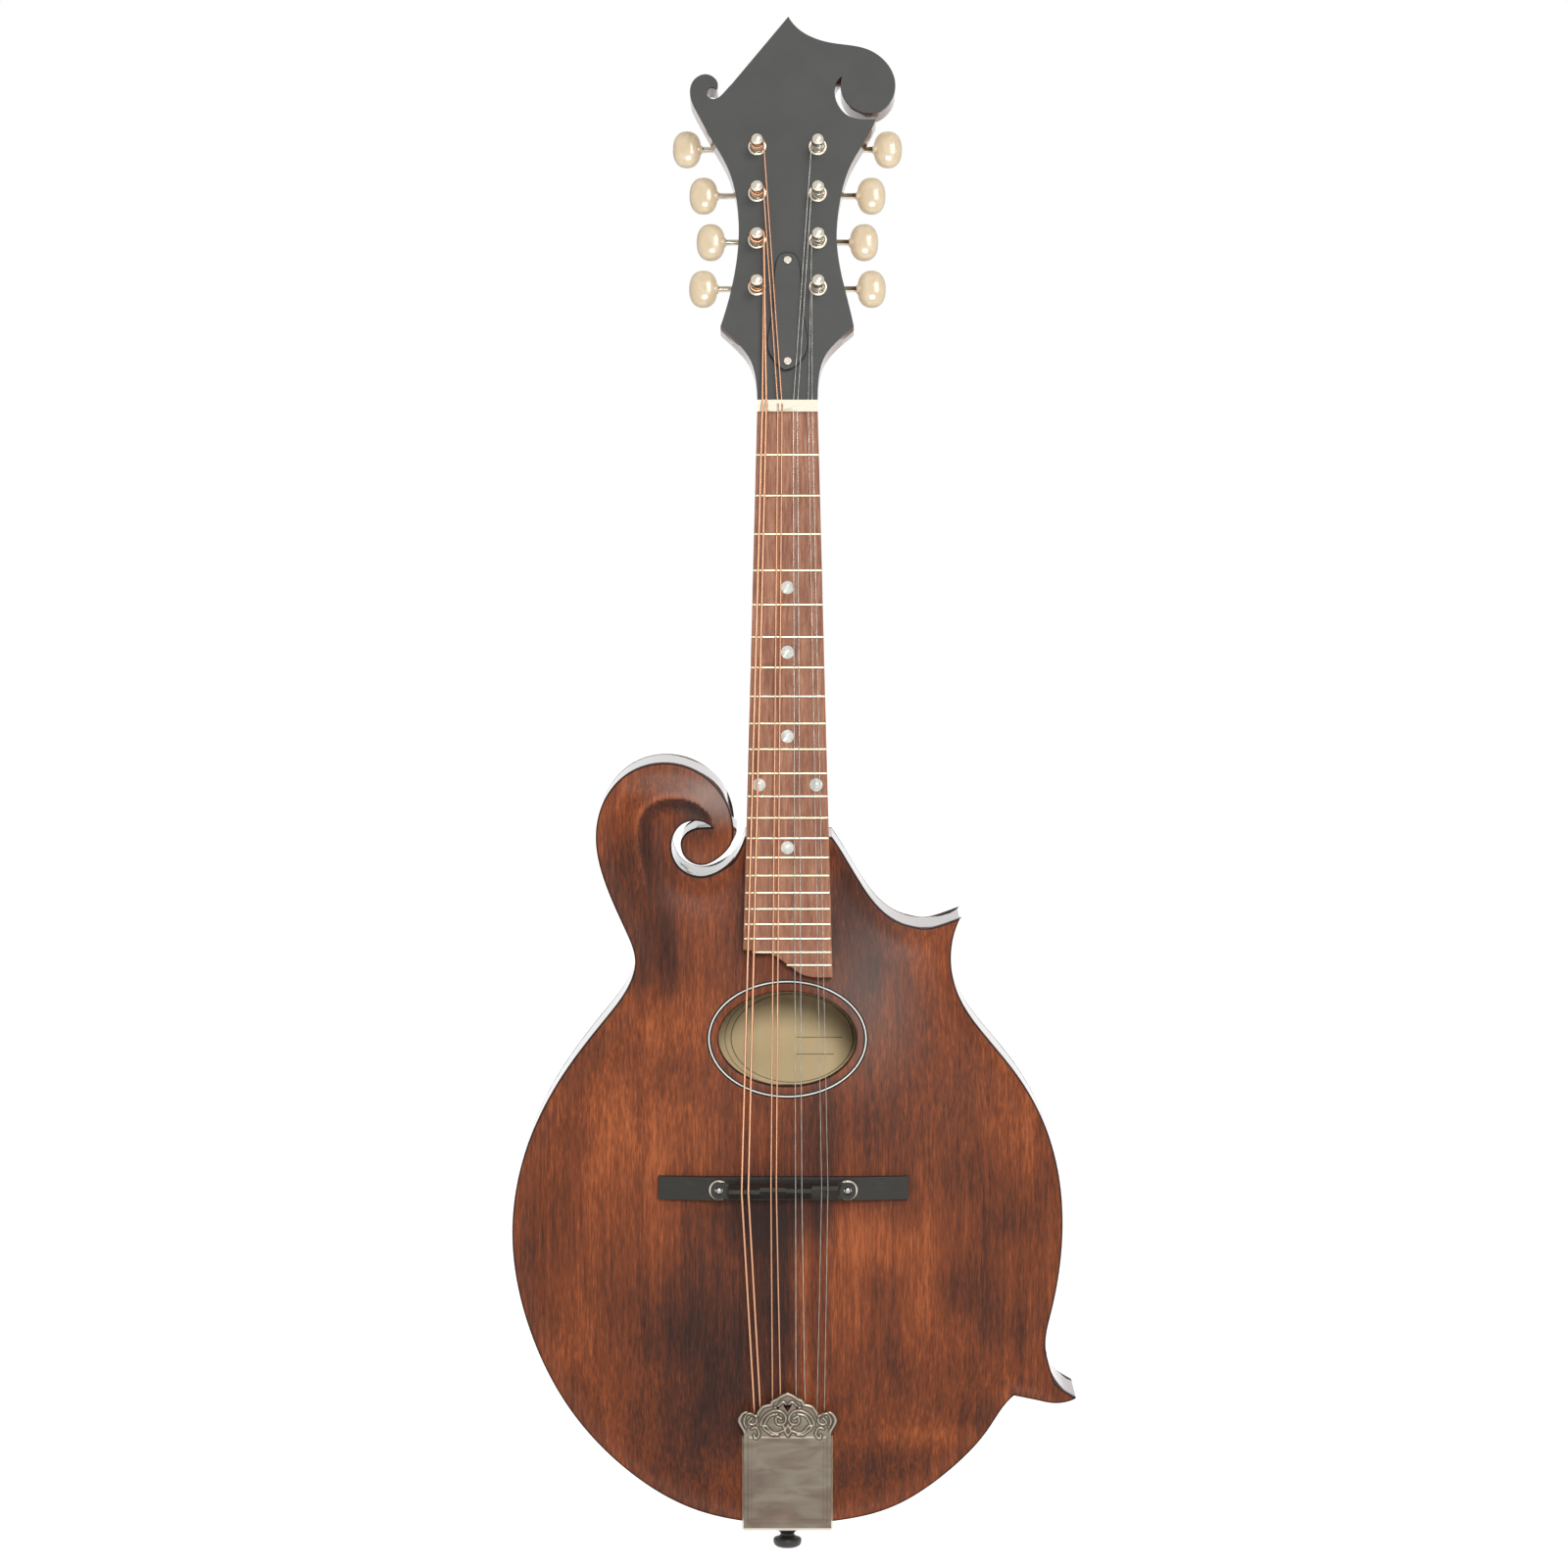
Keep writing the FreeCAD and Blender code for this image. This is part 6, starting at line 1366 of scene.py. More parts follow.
def capped_post(x, z):
    """A string post: straight foot, cone to its waist, then a cap of two quarter ovals."""
    low = np.linspace(0, math.pi / 2, 7)
    high = np.linspace(0, math.pi / 2, 11)
    under = np.stack([WAIST_RADIUS + (POST_RADIUS - WAIST_RADIUS) * np.sin(low),
                      10.6 - 0.9 * np.cos(low)], 1)
    dome = np.stack([POST_RADIUS * np.cos(high), 10.6 + 1.8 * np.sin(high)], 1)
    foot = np.array([(0, -GEAR_Y - GEAR_THICKNESS / 2), (1.7, -GEAR_Y - GEAR_THICKNESS / 2),
                     (1.7, -GEAR_Y + GEAR_THICKNESS / 2), (POST_RADIUS, -GEAR_Y + 1.2),
                     (POST_RADIUS, 1.3), (2.75, 1.7), (WAIST_RADIUS, 2.3)])
    return turned(np.concatenate([foot, under, dome[1:]]), HEAD.out((x, 0, z)), FRONT, 40)


def ringed(rings, angle, x, y, z):
    """Rings about a line along Y, from pairs of radius and depth: cosine in X, sine in Z."""
    return np.array([np.stack([x + radius * np.cos(angle), np.full(len(angle), y + depth),
                               z + radius * np.sin(angle)], 1) for radius, depth in rings])


def gear_wheel(x, z):
    """A toothed wheel: its rim's radius is a held cosine of the angle times the tooth count."""
    angle = full_turn(GEAR_TEETH * 8)
    wave = np.clip(0.5 - 1.3 * np.cos(GEAR_TEETH * (angle - math.pi / 2)), 0, 1)
    rim = 3.05 + 0.93 * wave
    half = GEAR_THICKNESS / 2
    rings = ((0 * rim, -half), (2.4 + 0 * rim, -half), (rim - 0.12, -half), (rim, 0.12 - half),
             (rim, half - 0.12), (rim - 0.12, half), (2.4 + 0 * rim, half), (0 * rim, half))
    return sheet(HEAD.out(ringed(rings, angle, x, GEAR_Y, z)), wrap_columns=True)


# Half the width of a slot's wall across the head.
SLOT_WALL = 0.001


def slotted_head(radius, height, base, axis, slot, depth):
    """A round screw head: a flattened dome over a disc, cut by a straight slot.

    Columns run across the slot and rows along it, each row as long as the circle allows.
    """
    axis = unit(np.array(axis, float))
    across = unit(np.cross(axis, [0.2, 0.5, 0.84]))
    other = np.cross(axis, across)
    half = slot / 2
    side = np.append(-radius * np.cos(np.linspace(0, 1.25, 8)),
                     [-half - SLOT_WALL, -half + SLOT_WALL])
    side = np.concatenate([side, -side[::-1]])
    along = np.sin(np.linspace(-math.pi / 2, math.pi / 2, 13))
    u, v = np.meshgrid(side, along)
    v = v * np.sqrt(np.maximum(radius ** 2 - u ** 2, 0))
    reach = np.minimum(np.hypot(u, v) / radius, 1)
    rise = height * (0.45 + 0.55 * np.sqrt(1 - reach ** 2 * 0.98)) - depth * (abs(u) < half)
    rise[reach > 0.999] = 0.45 * height
    top = (np.asarray(base, float) + u[..., None] * across + v[..., None] * other
           + rise[..., None] * axis)
    angle = np.linspace(0, 2 * math.pi, 40)
    ring = np.cos(angle)[:, None] * across + np.sin(angle)[:, None] * other
    wall = np.stack([base + radius * ring, base + radius * ring + 0.47 * height * axis])
    return together([sheet(top), sheet(wall)])


def round_bushing(x, z):
    """A bushing: a flange with a rounded rim and a narrow bore, over a plain sleeve."""
    section = rounded([(3.9, -7.0), (3.9, 0.0), (4.45, 0.0), (4.4, 0.75), (3.9, 1.2), (3.25, 1.15),
                       (2.97, 0.8), (2.97, -7.0)], 0.3)
    return turned(np.concatenate([section, section[:1]]), HEAD.out((x, 0, z)), FRONT)


BUTTON_OFFSETS = (39.0, 35.6, 39.0, 46.8)


def soft_button(look, side, number):
    """A tuner button: a superellipsoid of power 2.4, with a short collar at its shaft."""
    low, high = np.meshgrid(np.linspace(-math.pi / 2, math.pi / 2, 33), full_turn(56),
                            indexing="ij")

    def power(values):
        return np.sign(values) * np.abs(values) ** 0.86
    wide, tall, deep = (value / MM for value in
                        (look.button_half_width, look.button_half_height, look.button_half_depth))
    centre = np.array([side * BUTTON_OFFSETS[number], GEAR_Y, post_height(number) + WORM_OFFSET])
    knob = centre + np.stack([wide * power(np.cos(low)) * power(np.cos(high)),
                              deep * power(np.sin(low)),
                              tall * power(np.cos(low)) * power(np.sin(high))], 2)
    collar = [(1.52, -wide - 0.5), (1.95, -wide - 0.5), (2.2, -wide - 0.1), (2.6, -wide + 1.0),
              (2.6, -wide + 1.9), (0, -wide + 2.6)]
    neck = turned(rounded(collar, 0.35), HEAD.out(centre), (side, 0, 0), 40)
    return together([sheet(HEAD.out(knob), wrap_columns=True), neck])


class MANDOLIN_OT_tuners(bpy.types.Operator):
    """Build posts, gears, bushings, shafts and buttons of the eight tuners"""

    bl_idname = "mandolin.tuners"
    bl_label = "Tuners"

    def execute(self, context):
        look = looks()[1]
        cream = finish(button_cream, "button cream", look)
        bushings = []
        for side, name in ((-1, "bass"), (1, "treble")):
            x = side * POST_OFFSET
            refined("tuner_plate_" + name, "tuner_strip_" + name, nickel(), 28, 0.15)
            for number in range(4):
                label = f"{name}_{number + 1}"
                z = post_height(number)
                screw = slotted_head(2.3, 1.1, HEAD.out((x, GEAR_Y + GEAR_THICKNESS / 2, z)),
                                     -FRONT, 0.7, 0.5)
                post = together([capped_post(x, z), gear_wheel(x, z), screw])
                new_piece("capped_post_" + label, post, "post_" + label, nickel(),
                          ("string_post_" + label,))
                refined("worm_shaft_" + label, "threaded_shaft_" + label, nickel(), 34)
                new_piece("cream_button_" + label, soft_button(look, side, number),
                          "tuner_shaft_" + label, cream,
                          ("tuner_button_" + label,), angle=60)
                bushings.append(round_bushing(x, z))
        new_piece("flanged_bushings", together(bushings), "instrument", nickel(),
                  ("post_bushings",))
        refined("tuner_plate_screws", "tuner_strip_screws", nickel(), 30, 0.25)
        return {"FINISHED"}


WHEEL_RADIUS = 4.52
KNURL_DEPTH = 0.08
KNURLS = 44
THREAD_PITCH = 0.6


def knurled_wheel(x, back, front):
    """A thumbwheel: eased edges, and a rim that falls by a cosine of the angle times the knurls."""
    angle = full_turn(KNURLS * 8)
    rim = WHEEL_RADIUS - KNURL_DEPTH * np.cos(KNURLS * angle)
    bore, thickness = 1.5 + 0 * rim, back - front
    rings = ((bore, 0.0), (rim - 0.35, 0.0), (rim, -0.3), (rim, 0.3 - thickness),
             (rim - 0.35, -thickness), (bore, -thickness))
    return sheet(ringed(rings, angle, x, back, BRIDGE_Z), wrap_rows=True, wrap_columns=True)


def threaded_stud(x, back, front):
    """A domed stud: its radius dips by a triangle wave of the height less the turn."""
    angle = full_turn(32)[None]
    height = np.arange(0, back - front - 0.3, 0.1)[:, None]
    phase = (height / THREAD_PITCH - angle / (2 * math.pi)) % 1
    radius = 1.44 - 0.16 * np.abs(2 * phase - 1)
    dome = np.linspace(0, math.pi / 2, 6)[:, None]
    radius = np.concatenate([0 * angle, radius, 1.3 * np.cos(dome) + 0 * angle])
    height = np.concatenate([[[0.0]], height, height[-1:] + 0.3 * np.sin(dome)])
    y = back - height + 0 * angle
    points = np.stack([x + radius * np.cos(angle), y, BRIDGE_Z + radius * np.sin(angle)], 2)
    return sheet(points, wrap_columns=True)


class MANDOLIN_OT_bridge(bpy.types.Operator):
    """Finish the bridge's foot and saddle, and build its studs and wheels"""

    bl_idname = "mandolin.bridge"
    bl_label = "Bridge"

    def execute(self, context):
        wood = finish(black_wood, "black wood", looks()[0])
        refined("bridge_base", "bridge_foot", wood, 26, 0.5)
        refined("bridge_saddle", "stepped_saddle", wood, 26, 0.22)
        low, high = (np.array(corner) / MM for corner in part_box("bridge_studs"))
        studs = []
        for side, name in ((-1, "bass"), (1, "treble")):
            x = BRIDGE_OFFSET + side * STUD_HALF_SPACING
            studs.append(threaded_stud(x, high[1], low[1]))
            front, back = (corner[1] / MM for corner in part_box("thumbwheel_" + name))
            new_piece("knurled_wheel_" + name, knurled_wheel(x, back, front), "wheel_" + name,
                      nickel(), ("thumbwheel_" + name,))
        new_piece("threaded_studs", together(studs), "instrument", steel(),
                  ("bridge_studs",), angle=60)
        return {"FINISHED"}


WALL_HALF_WIDTH = LOBE_SHARES[0][0][0] * COVER_HALF_WIDTH
WALL_TOP = 43.0


def lobe_outline():
    """The cover's front outline, clockwise: up the left side, over the lobes, down the right."""
    lobes = [spline(np.array(shares) * [COVER_HALF_WIDTH, COVER_LENGTH]) for shares in LOBE_SHARES]
    half, bottom = WALL_HALF_WIDTH, COVER_BOTTOM + COVER_FLARE
    rising = [np.array([(half, bottom), lobes[0][0]])] + lobes
    left = [line * [-1, 1] for line in rising]
    right = [line[::-1] for line in reversed(rising)]
    base = np.array([(half, bottom), (-half, bottom)])
    return np.concatenate([evenly(line, 0.4)[:-1] for line in left + right + [base]])


ORNAMENT_FOOT = 45.2


def above_foot(points):
    """Ornament places: across from the cover's middle, and up from its ornament's foot."""
    return np.array(points, float) + [0, ORNAMENT_FOOT]


SCROLL_LINES = (
    ((-12.3, 3.8), (-11.3, 7.2), (-8.9, 9.6), (-5.5, 10.8), (-2.2, 9.9), (-0.7, 7.2), (-1.8, 4.6),
     (-4.2, 4.3), (-5.3, 6.2), (-4.4, 7.9), (-2.9, 7.2)),
    ((-10.6, 4.2), (-9.2, 7.2), (-7.0, 8.8), (-4.9, 9.2)),
    ((-19.0, 2.9), (-20.0, 6.2), (-18.4, 9.2), (-15.6, 9.4), (-14.2, 7.2), (-14.8, 4.9),
     (-16.8, 4.3), (-17.8, 5.9), (-16.6, 7.2)),
    ((-16.6, 2.1), (-14.1, 2.4), (-13.1, 0.4), (-13.8, -1.8), (-15.2, -1.9), (-15.4, -0.9)),
    ((-11.4, 3.6), (-9.4, 3.2), (-7.9, 1.3), (-5.4, 0.1), (-2.9, 0.9), (-1.4, 2.6), (-2.0, 3.6)),
    ((-11.4, 3.6), (-10.4, 1.8), (-8.3, 0.2), (-6.4, -0.7), (-4.4, -0.6)),
    ((-5.9, 12.2), (-3.6, 13.8), (-2.2, 14.9), (-0.9, 14.2), (0.0, 12.2)),
)
DIAMOND = ((0.2, 3.9), (-1.3, 1.2), (0.2, -1.2), (1.8, 1.2), (0.2, 3.9))
CUT_OUTS = (((0.0, 11.9), 2.2, 3.5), ((-4.4, 12.0), 0.95, 1.5), ((4.4, 12.0), 0.95, 1.5))


def line_distance(points, line):
    """Shortest distance from each place to a line of close points."""
    def work(block):
        return np.linalg.norm(block[:, None] - line[None], axis=2).min(1)
    return in_blocks(work, points)


def ornament_distance(points):
    """Distance to the nearest line of the scrollwork, drawn on the left and mirrored."""
    lines = []
    for shares in SCROLL_LINES:
        line = evenly(spline(above_foot(shares)), 0.12)
        lines += [line, line * [-1, 1]]
    lines.append(evenly(above_foot(DIAMOND), 0.12))
    return line_distance(points, np.concatenate(lines))


def cut_out_line(centre, half, tall):
    """A small triangle with its point down."""
    centre = above_foot([centre])[0]
    corners = centre + np.array([(-half, tall / 2), (half, tall / 2), (0, -tall / 2),
                                 (-half, tall / 2)])
    return np.concatenate([evenly(corners[low:low + 2], 0.3)[:-1] for low in range(3)])


PANEL_HALF_WIDTH = 18.1
PANEL_HEIGHTS = (2.6, 43.6)
BORDER_INSET = 1.5
BORDER_TOP = 42.0
LOBE_FOOT = 44.5


def relief_height(points, rim, ornament, depth):
    """Height of the cover's front: a raised panel with two border lines, cords and a rim bead.

    Cords stand up as a bell of the distance to their line, with a shallow groove each side.
    The panel climbs over half a millimetre, and its border lines are grooves of the same bell.
    """
    x, z = points.T
    inset = np.minimum(np.minimum(PANEL_HALF_WIDTH - abs(x), z - PANEL_HEIGHTS[0]),
                       PANEL_HEIGHTS[1] - z)
    bordered, lobed = z < BORDER_TOP, smooth_step((z - LOBE_FOOT) / 1.5)
    panel = 0.4 * smooth_step(inset / 0.6 + 0.5)
    border = -0.14 * bell(inset - BORDER_INSET, 0.16) * bordered
    cord = depth * bell(ornament, 0.34) - 0.5 * depth * bell(ornament - 0.75, 0.3)
    bead = (0.25 * bell(rim - 0.75, 0.42) - 0.16 * bell(rim - 1.7, 0.3)) * lobed
    cut = np.max([bell(ornament - 0.75, 0.32) * 0.9,
                  bell(inset - BORDER_INSET, 0.2) * bordered * 0.7,
                  bell(inset + 0.25, 0.25) * (z < LOBE_FOOT) * 0.55,
                  bell(rim - 1.7, 0.35) * lobed * 0.7], axis=0)
    ridge = np.maximum(bell(ornament, 0.3), bell(rim - 0.7, 0.4) * lobed)
    return panel + border + cord + bead, cut, ridge


def cover_front(depth):
    """The cover's engraved sheet: a fine grid in its outline, raised by the relief."""
    outline = lobe_outline()
    holes = [cut_out_line(*cut) for cut in CUT_OUTS]
    low, high = outline.min(0), outline.max(0)
    rows = [beside(outline, distance) for distance in (0.12, 0.35)]
    rows = [row[edge_distance(row, outline) > 0.1] for row in rows]
    lobes = triangle_grid((low[0], 42.0), high, 0.33)
    plate = triangle_grid(low, (high[0], 42.0), 0.62)
    grid = np.concatenate([lobes, plate])
    grid = grid[edge_distance(grid, outline) > 0.5]
    for hole in holes:
        grid = grid[edge_distance(grid, hole) > 0.14]
    plan = plan_mesh(outline, holes, np.concatenate(rows + [grid]))
    places = plan[0]
    rim = edge_distance(places, outline)
    height, cut, ridge = relief_height(places, rim, ornament_distance(places), depth)
    edge = rounding(rim, 0.28)
    shell = two_sheets(plan, -COVER_THICKNESS - height + edge, 0 * rim)
    return shell, np.tile(cut, 2), np.tile(ridge, 2)


FLARE_REACH = 3.2
SIDE_SPREAD = 0.04


def cover_walls():
    """The cover's side and bottom walls: a thin strip down both sides and along the bottom.

    Its back edge follows the soundboard and the rim with a small gap, and stands before the
    tailpiece's front plate at the bottom. It spreads towards the back, by a twenty-fifth at
    the sides and by the whole flare at the bottom.
    """
    half = WALL_HALF_WIDTH
    corners = np.array([(-half, WALL_TOP), (-half, COVER_BOTTOM), (half, COVER_BOTTOM),
                        (half, WALL_TOP)])
    sides = [evenly(corners[low:low + 2], 1.5) for low in range(3)]
    line = rounded(np.concatenate([sides[0][:-1], sides[1][:-1], sides[2]]), 0.5, 3)
    way = unit(np.gradient(line, axis=0))
    inward = COVER_THICKNESS * np.stack([-way[:, 1], way[:, 0]], 1)

    def rows(shift):
        x, z = (line + inward * shift).T
        low = COVER_FLARE * np.clip(1 - (z - COVER_BOTTOM) / FLARE_REACH, 0, 1)
        front = COVER.out(np.stack([x, 0 * x - 0.3, z + low], 1))
        back = np.where(abs(x) < 19.3, -28.5, -26.3)
        over = front[:, 2] > TAIL_Z + 1.5
        back = np.where(over, np.minimum(back, front_y(front[:, [0, 2]]) - 0.3), back)
        share = np.linspace(0, 1, 5)[:, None]
        y = front[:, 1] * (1 - share) + back * share
        spread = front[:, 0] * (1 + SIDE_SPREAD * share)
        return np.stack([spread, y, front[:, 2] - low * share], 2)
    loop = np.concatenate([rows(0), rows(1)[::-1]])
    middle = np.concatenate([rows(0.5), rows(0.5)[::-1]])
    loop = np.concatenate([middle[:, :1], loop, middle[:, -1:]], 1)
    return sheet(np.swapaxes(loop, 0, 1), wrap_columns=True)


class MANDOLIN_OT_tailpiece(bpy.types.Operator):
    """Build the engraved cover and finish the tailpiece's base, screws and the end pin"""

    bl_idname = "mandolin.tailpiece"
    bl_label = "Tailpiece and End Pin"

    def execute(self, context):
        look = looks()[1]
        (points, faces), cut, ridge = cover_front(look.engraving_depth / MM)
        walls = cover_walls()
        shell = together([(COVER.out(points), faces), walls])
        plain = np.zeros(len(walls[0]))
        silver = finish(cover_silver, "engraved silver", look)
        # A ridge value of two marks the walls for their painted highlight.
        new_piece("engraved_cover", shell, "cover", silver, ("tailpiece_cover",),
                  angle=48, attributes={"cut": np.concatenate([cut, plain]),
                                        "ridge": np.concatenate([ridge, plain + 2])})
        refined("tailpiece_base", "tailpiece_frame", nickel(), 30, 0.15)
        refined("tailpiece_screws", "tail_screws", nickel(), 30)
        profile = [(0, 0.0), (2.5, 0.0), (4.6, 0.1), (6.1, 1.1), (6.6, 2.5), (6.6, 3.9), (6.2, 4.5),
                   (3.9, 5.3), (3.1, 6.2), (3.6, 7.2), (5.0, 8.2), (5.15, 8.9), (5.15, 14.4),
                   (2.5, 14.6), (2.5, 35.0), (0, 35.6)]
        pin = turned(rounded(profile, 0.5), (0, 0, 0), (0, 0, 1), 56)
        black = finish(plain_finish, "pin black", tone(46, 45, 43), tone(28, 27, 26), 300, 0.4)
        new_piece("turned_end_pin", pin, "instrument", black, ("end_pin",), angle=50)
        return {"FINISHED"}


def arc(start, corner, end, count=9):
    """A circle's arc that leaves and arrives along a corner's sides, as a weighted square fade."""
    arriving, leaving = unit(corner - start), unit(end - corner)
    weight = math.sqrt((1 + float(arriving @ leaving)) / 2)
    share = np.linspace(0, 1, count)[:, None]
    low, middle, high = (1 - share) ** 2, 2 * weight * share * (1 - share), share ** 2
    return (low * start + middle * corner + high * end) / (low + middle + high)


def bent(corner, before, after, radius):
    """The rounded corner of a string between two straight runs."""
    arriving, leaving = unit(corner - before), unit(after - corner)
    turn = math.acos(min(1.0, float(arriving @ leaving)))
    reach = radius * math.tan(turn / 2)
    return arc(corner - arriving * reach, corner, corner + leaving * reach)


WINDING_CLEARANCE = 0.2
WINDING_GAP = 0.5
COMB_PLACE = (-30.9, TAIL_Z + 16.0)
STRING_SIDES = 12


def winding(index, nut):
    """A string's turns on its post: a helix that begins where the straight run touches it."""
    side = -1 if index < 4 else 1
    radius = WAIST_RADIUS + WINDING_CLEARANCE + STRING_RADII[index]
    pitch = 2 * STRING_RADII[index] + WINDING_GAP
    centre = np.array([side * POST_OFFSET, 0, post_height(STRING_POSTS[index])])
    away = HEAD.into(nut) - centre
    start = math.atan2(away[2], away[0]) - side * math.acos(radius / math.hypot(away[0], away[2]))
    turns = np.linspace(0, STRING_TURNS[index], int(40 * STRING_TURNS[index]) + 1)
    angle = start - side * 2 * math.pi * turns
    places = centre + np.stack([radius * np.cos(angle), pitch * turns - TURN_STARTS[index],
                                radius * np.sin(angle)], 1)
    return HEAD.out(places)


def string_path(index):
    """A string's centre line: comb, saddle, nut and post, with straight runs between."""
    comb = np.array([COMB_STRING_SHARES[index] * COVER_HALF_WIDTH, *COMB_PLACE])
    saddle = np.array([BRIDGE_OFFSET + SADDLE_STRING_SHARES[index] * STUD_HALF_SPACING,
                       -STRING_HEIGHT_AT_SADDLE, SADDLE_Z + CREST_SHIFTS[index] * CREST_STEP])
    nut = NECK.out((NUT_STRING_SHARES[index] * NUT_HALF_WIDTH,
                    -(FRET_HEIGHT + 0.3 + STRING_RADII[index]), NUT_LENGTH / 2))
    turns = winding(index, nut)
    tail = comb - unit(saddle - comb) * 2.5
    runs = [tail[None], bent(saddle, comb, nut, 6.0), bent(nut, saddle, turns[0], 4.0), turns]
    return np.concatenate(runs)


class MANDOLIN_OT_strings(bpy.types.Operator):
    """Stretch the eight strings from the comb to their posts"""

    bl_idname = "mandolin.strings"
    bl_label = "Strings"

    def execute(self, context):
        wound = finish(string_wire, "wound wire", tone(214, 166, 134), tone(150, 102, 76),
                       0.34, 0.36)
        plain = finish(string_wire, "plain wire", tone(182, 180, 174), tone(120, 118, 114),
                       9.0, 0.28)
        for name, material, slot, group, node in (
                ("wound_courses", wound, "wound_wire", range(4), "wound_strings"),
                ("plain_courses", plain, "plain_wire", range(4, 8), "plain_strings")):
            shells, lengths = [], []
            for index in group:
                path = string_path(index)
                shells.append(tube(path, STRING_RADII[index], STRING_SIDES, FRONT))
                along = lengths_along(path)
                lengths.append(np.repeat(ends_doubled(along), STRING_SIDES))
            new_piece(name, together(shells), "instrument", material, (node,), angle=60,
                      attributes={"along": np.concatenate(lengths)})
        return {"FINISHED"}


# The ground lies under the lowest place that the sliding cover reaches.
GROUND_Z = -80.0
GROUND_RADII = (0.0, 400.0, 1500.0, 9000.0)
LAMP_AIM = Vector((0.0, -0.03, 0.38))
CAMERA_X = -0.0016
CAMERA_PITCH = math.radians(85)


def area_lamp(name, place, size, power):
    """A soft square lamp that looks at the instrument's middle."""
    data = bpy.data.lights.new(name, "AREA")
    data.shape = "SQUARE"
    data.size = size
    data.energy = power
    lamp = bpy.data.objects.new(name, data)
    lamp.location = place
    lamp.rotation_euler = (LAMP_AIM - Vector(place)).to_track_quat("-Z", "Y").to_euler()
    bpy.context.scene.collection.objects.link(lamp)


def ground_finish(colour):
    """Pale ground: it glows white for the eye and its mirrors, and its lit share keeps shadows."""
    ground = Finish("ground")
    mottle = ground.clouds(3, 2.0, 0.5)
    pale = ground.mixed(mottle * 0.04, colour, tone(236, 236, 234))
    camera, mirror, glass = (ground.node("ShaderNodeLightPath", {}, {}, name) for name in
                             ("Is Camera Ray", "Is Glossy Ray", "Is Transmission Ray"))
    glow = ground.mixed((camera + mirror + glass).held(), (0.0, 0.0, 0.0, 1.0), tone(255, 255, 255))
    return ground.done(Base_Color=pale, Roughness=0.9, Specular_IOR_Level=0.0,
                       Emission_Color=glow, Emission_Strength=0.84)


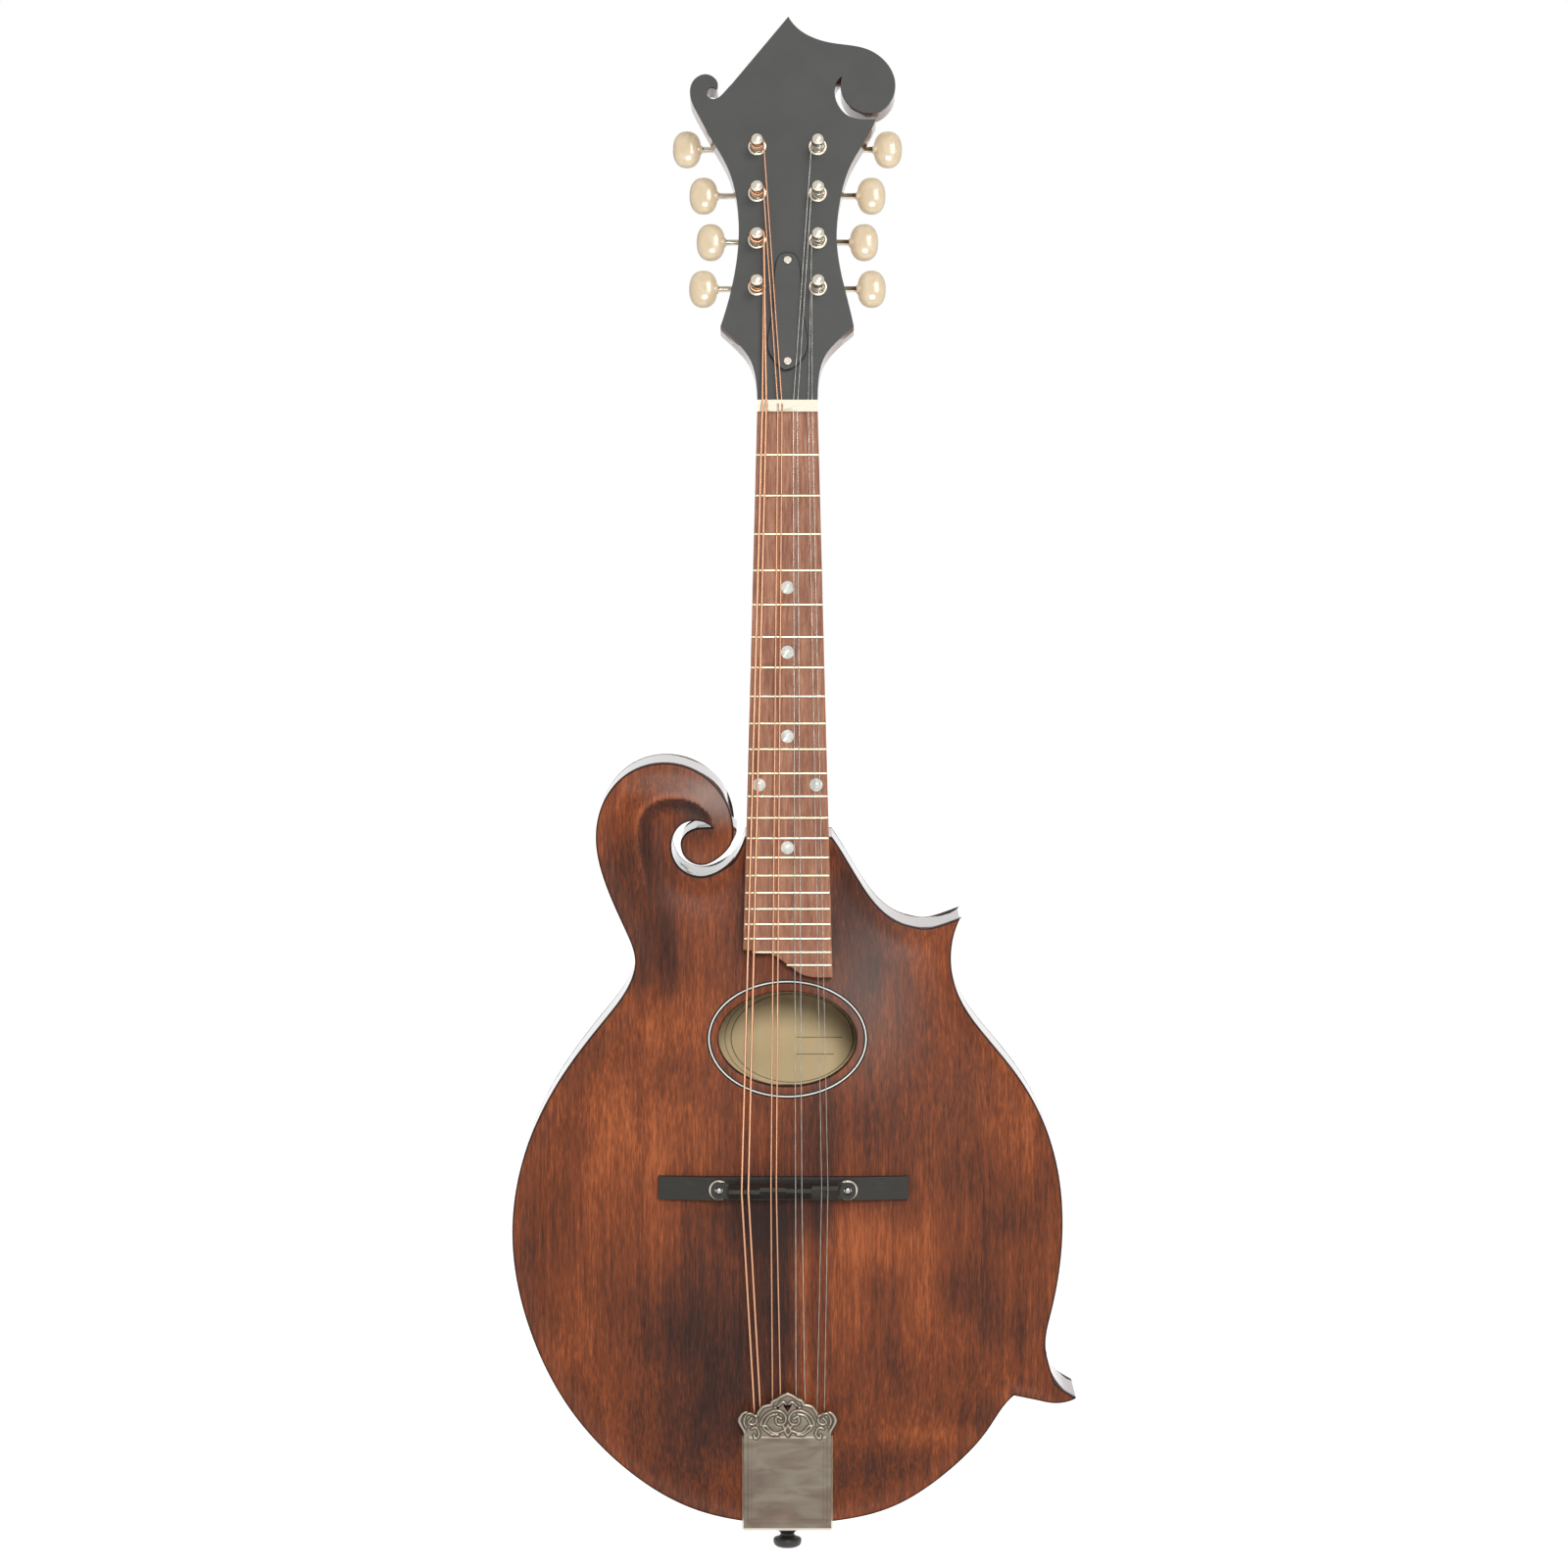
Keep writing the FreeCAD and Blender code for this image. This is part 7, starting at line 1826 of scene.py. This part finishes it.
class MANDOLIN_OT_setting(bpy.types.Operator):
    """Set the ground, the lamps, the world and the camera"""

    bl_idname = "mandolin.setting"
    bl_label = "Ground, Lamps and Camera"

    def execute(self, context):
        look = looks()[2]
        scene = context.scene
        angle = full_turn(96)[None]
        radius = np.array(GROUND_RADII)[:, None]
        points = np.stack([radius * np.cos(angle), radius * np.sin(angle),
                           GROUND_Z + 0 * radius * angle], 2)
        vertices, faces = sheet(points, wrap_columns=True)
        ground = bpy.data.objects.new("ground", put_in("ground", vertices, faces, {}))
        ground.data.materials.append(ground_finish(look.ground_colour))
        scene.collection.objects.link(ground)
        area_lamp("key lamp", (0.8, -1.9, 2.1), 0.8, look.key_power)
        area_lamp("front lamp", (0.22, -2.7, 1.12), 0.6, look.front_power)
        world = bpy.data.worlds.new("white room")
        world.use_nodes = True
        tree = world.node_tree
        background = next(n for n in tree.nodes if n.type == "BACKGROUND")
        background.inputs["Color"].default_value = tone(255, 255, 255)
        path = tree.nodes.new("ShaderNodeLightPath")
        seen = path.outputs["Is Camera Ray"]
        for name in ("Is Glossy Ray", "Is Transmission Ray"):
            add = tree.nodes.new("ShaderNodeMath")
            add.operation = "MAXIMUM"
            tree.links.new(seen, add.inputs[0])
            tree.links.new(path.outputs[name], add.inputs[1])
            seen = add.outputs[0]
        strength = tree.nodes.new("ShaderNodeMapRange")
        tree.links.new(seen, strength.inputs["Value"])
        strength.inputs["To Min"].default_value = 0.3
        strength.inputs["To Max"].default_value = 1.0
        tree.links.new(strength.outputs["Result"], background.inputs["Strength"])
        scene.world = world
        data = bpy.data.cameras.new("camera")
        data.lens = look.lens
        data.sensor_width = 36
        data.clip_start, data.clip_end = 0.1, 100
        camera = bpy.data.objects.new("camera", data)
        camera.location = (CAMERA_X, -look.distance, look.height)
        camera.rotation_euler = (CAMERA_PITCH, 0, 0)
        scene.collection.objects.link(camera)
        scene.camera = camera
        scene.view_settings.view_transform = "Standard"
        return {"FINISHED"}


STEPS = (
    MANDOLIN_OT_carved_top, MANDOLIN_OT_carved_back, MANDOLIN_OT_sides, MANDOLIN_OT_sound_hole,
    MANDOLIN_OT_neck, MANDOLIN_OT_fingerboard, MANDOLIN_OT_tuners, MANDOLIN_OT_bridge,
    MANDOLIN_OT_tailpiece, MANDOLIN_OT_strings, MANDOLIN_OT_setting,
)


class MANDOLIN_PT_workshop(bpy.types.Panel):
    """Settings and building steps of the mandolin"""

    bl_idname = "MANDOLIN_PT_workshop"
    bl_label = "Mandolin"
    bl_space_type = "VIEW_3D"
    bl_region_type = "UI"
    bl_category = "Mandolin"

    def draw(self, context):
        for group in looks():
            box = self.layout.box()
            for name in group.bl_rna.properties.keys():
                if name not in ("rna_type", "name"):
                    box.prop(group, name)
        for step in STEPS:
            self.layout.operator(step.bl_idname, text=step.bl_label)


CLASSES = (*GROUPS.values(), *STEPS, MANDOLIN_PT_workshop)


def register():
    """Add the classes and the scene's settings."""
    for each in CLASSES:
        bpy.utils.register_class(each)
    for name, group in GROUPS.items():
        setattr(bpy.types.Scene, name, bpy.props.PointerProperty(type=group))


def unregister():
    """Take the settings and the classes away."""
    for name in GROUPS:
        delattr(bpy.types.Scene, name)
    for each in reversed(CLASSES):
        bpy.utils.unregister_class(each)


def main():
    """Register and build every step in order."""
    register()
    for step in STEPS:
        group, name = step.bl_idname.split(".")
        getattr(getattr(bpy.ops, group), name)()


if __name__ == "__main__":
    main()
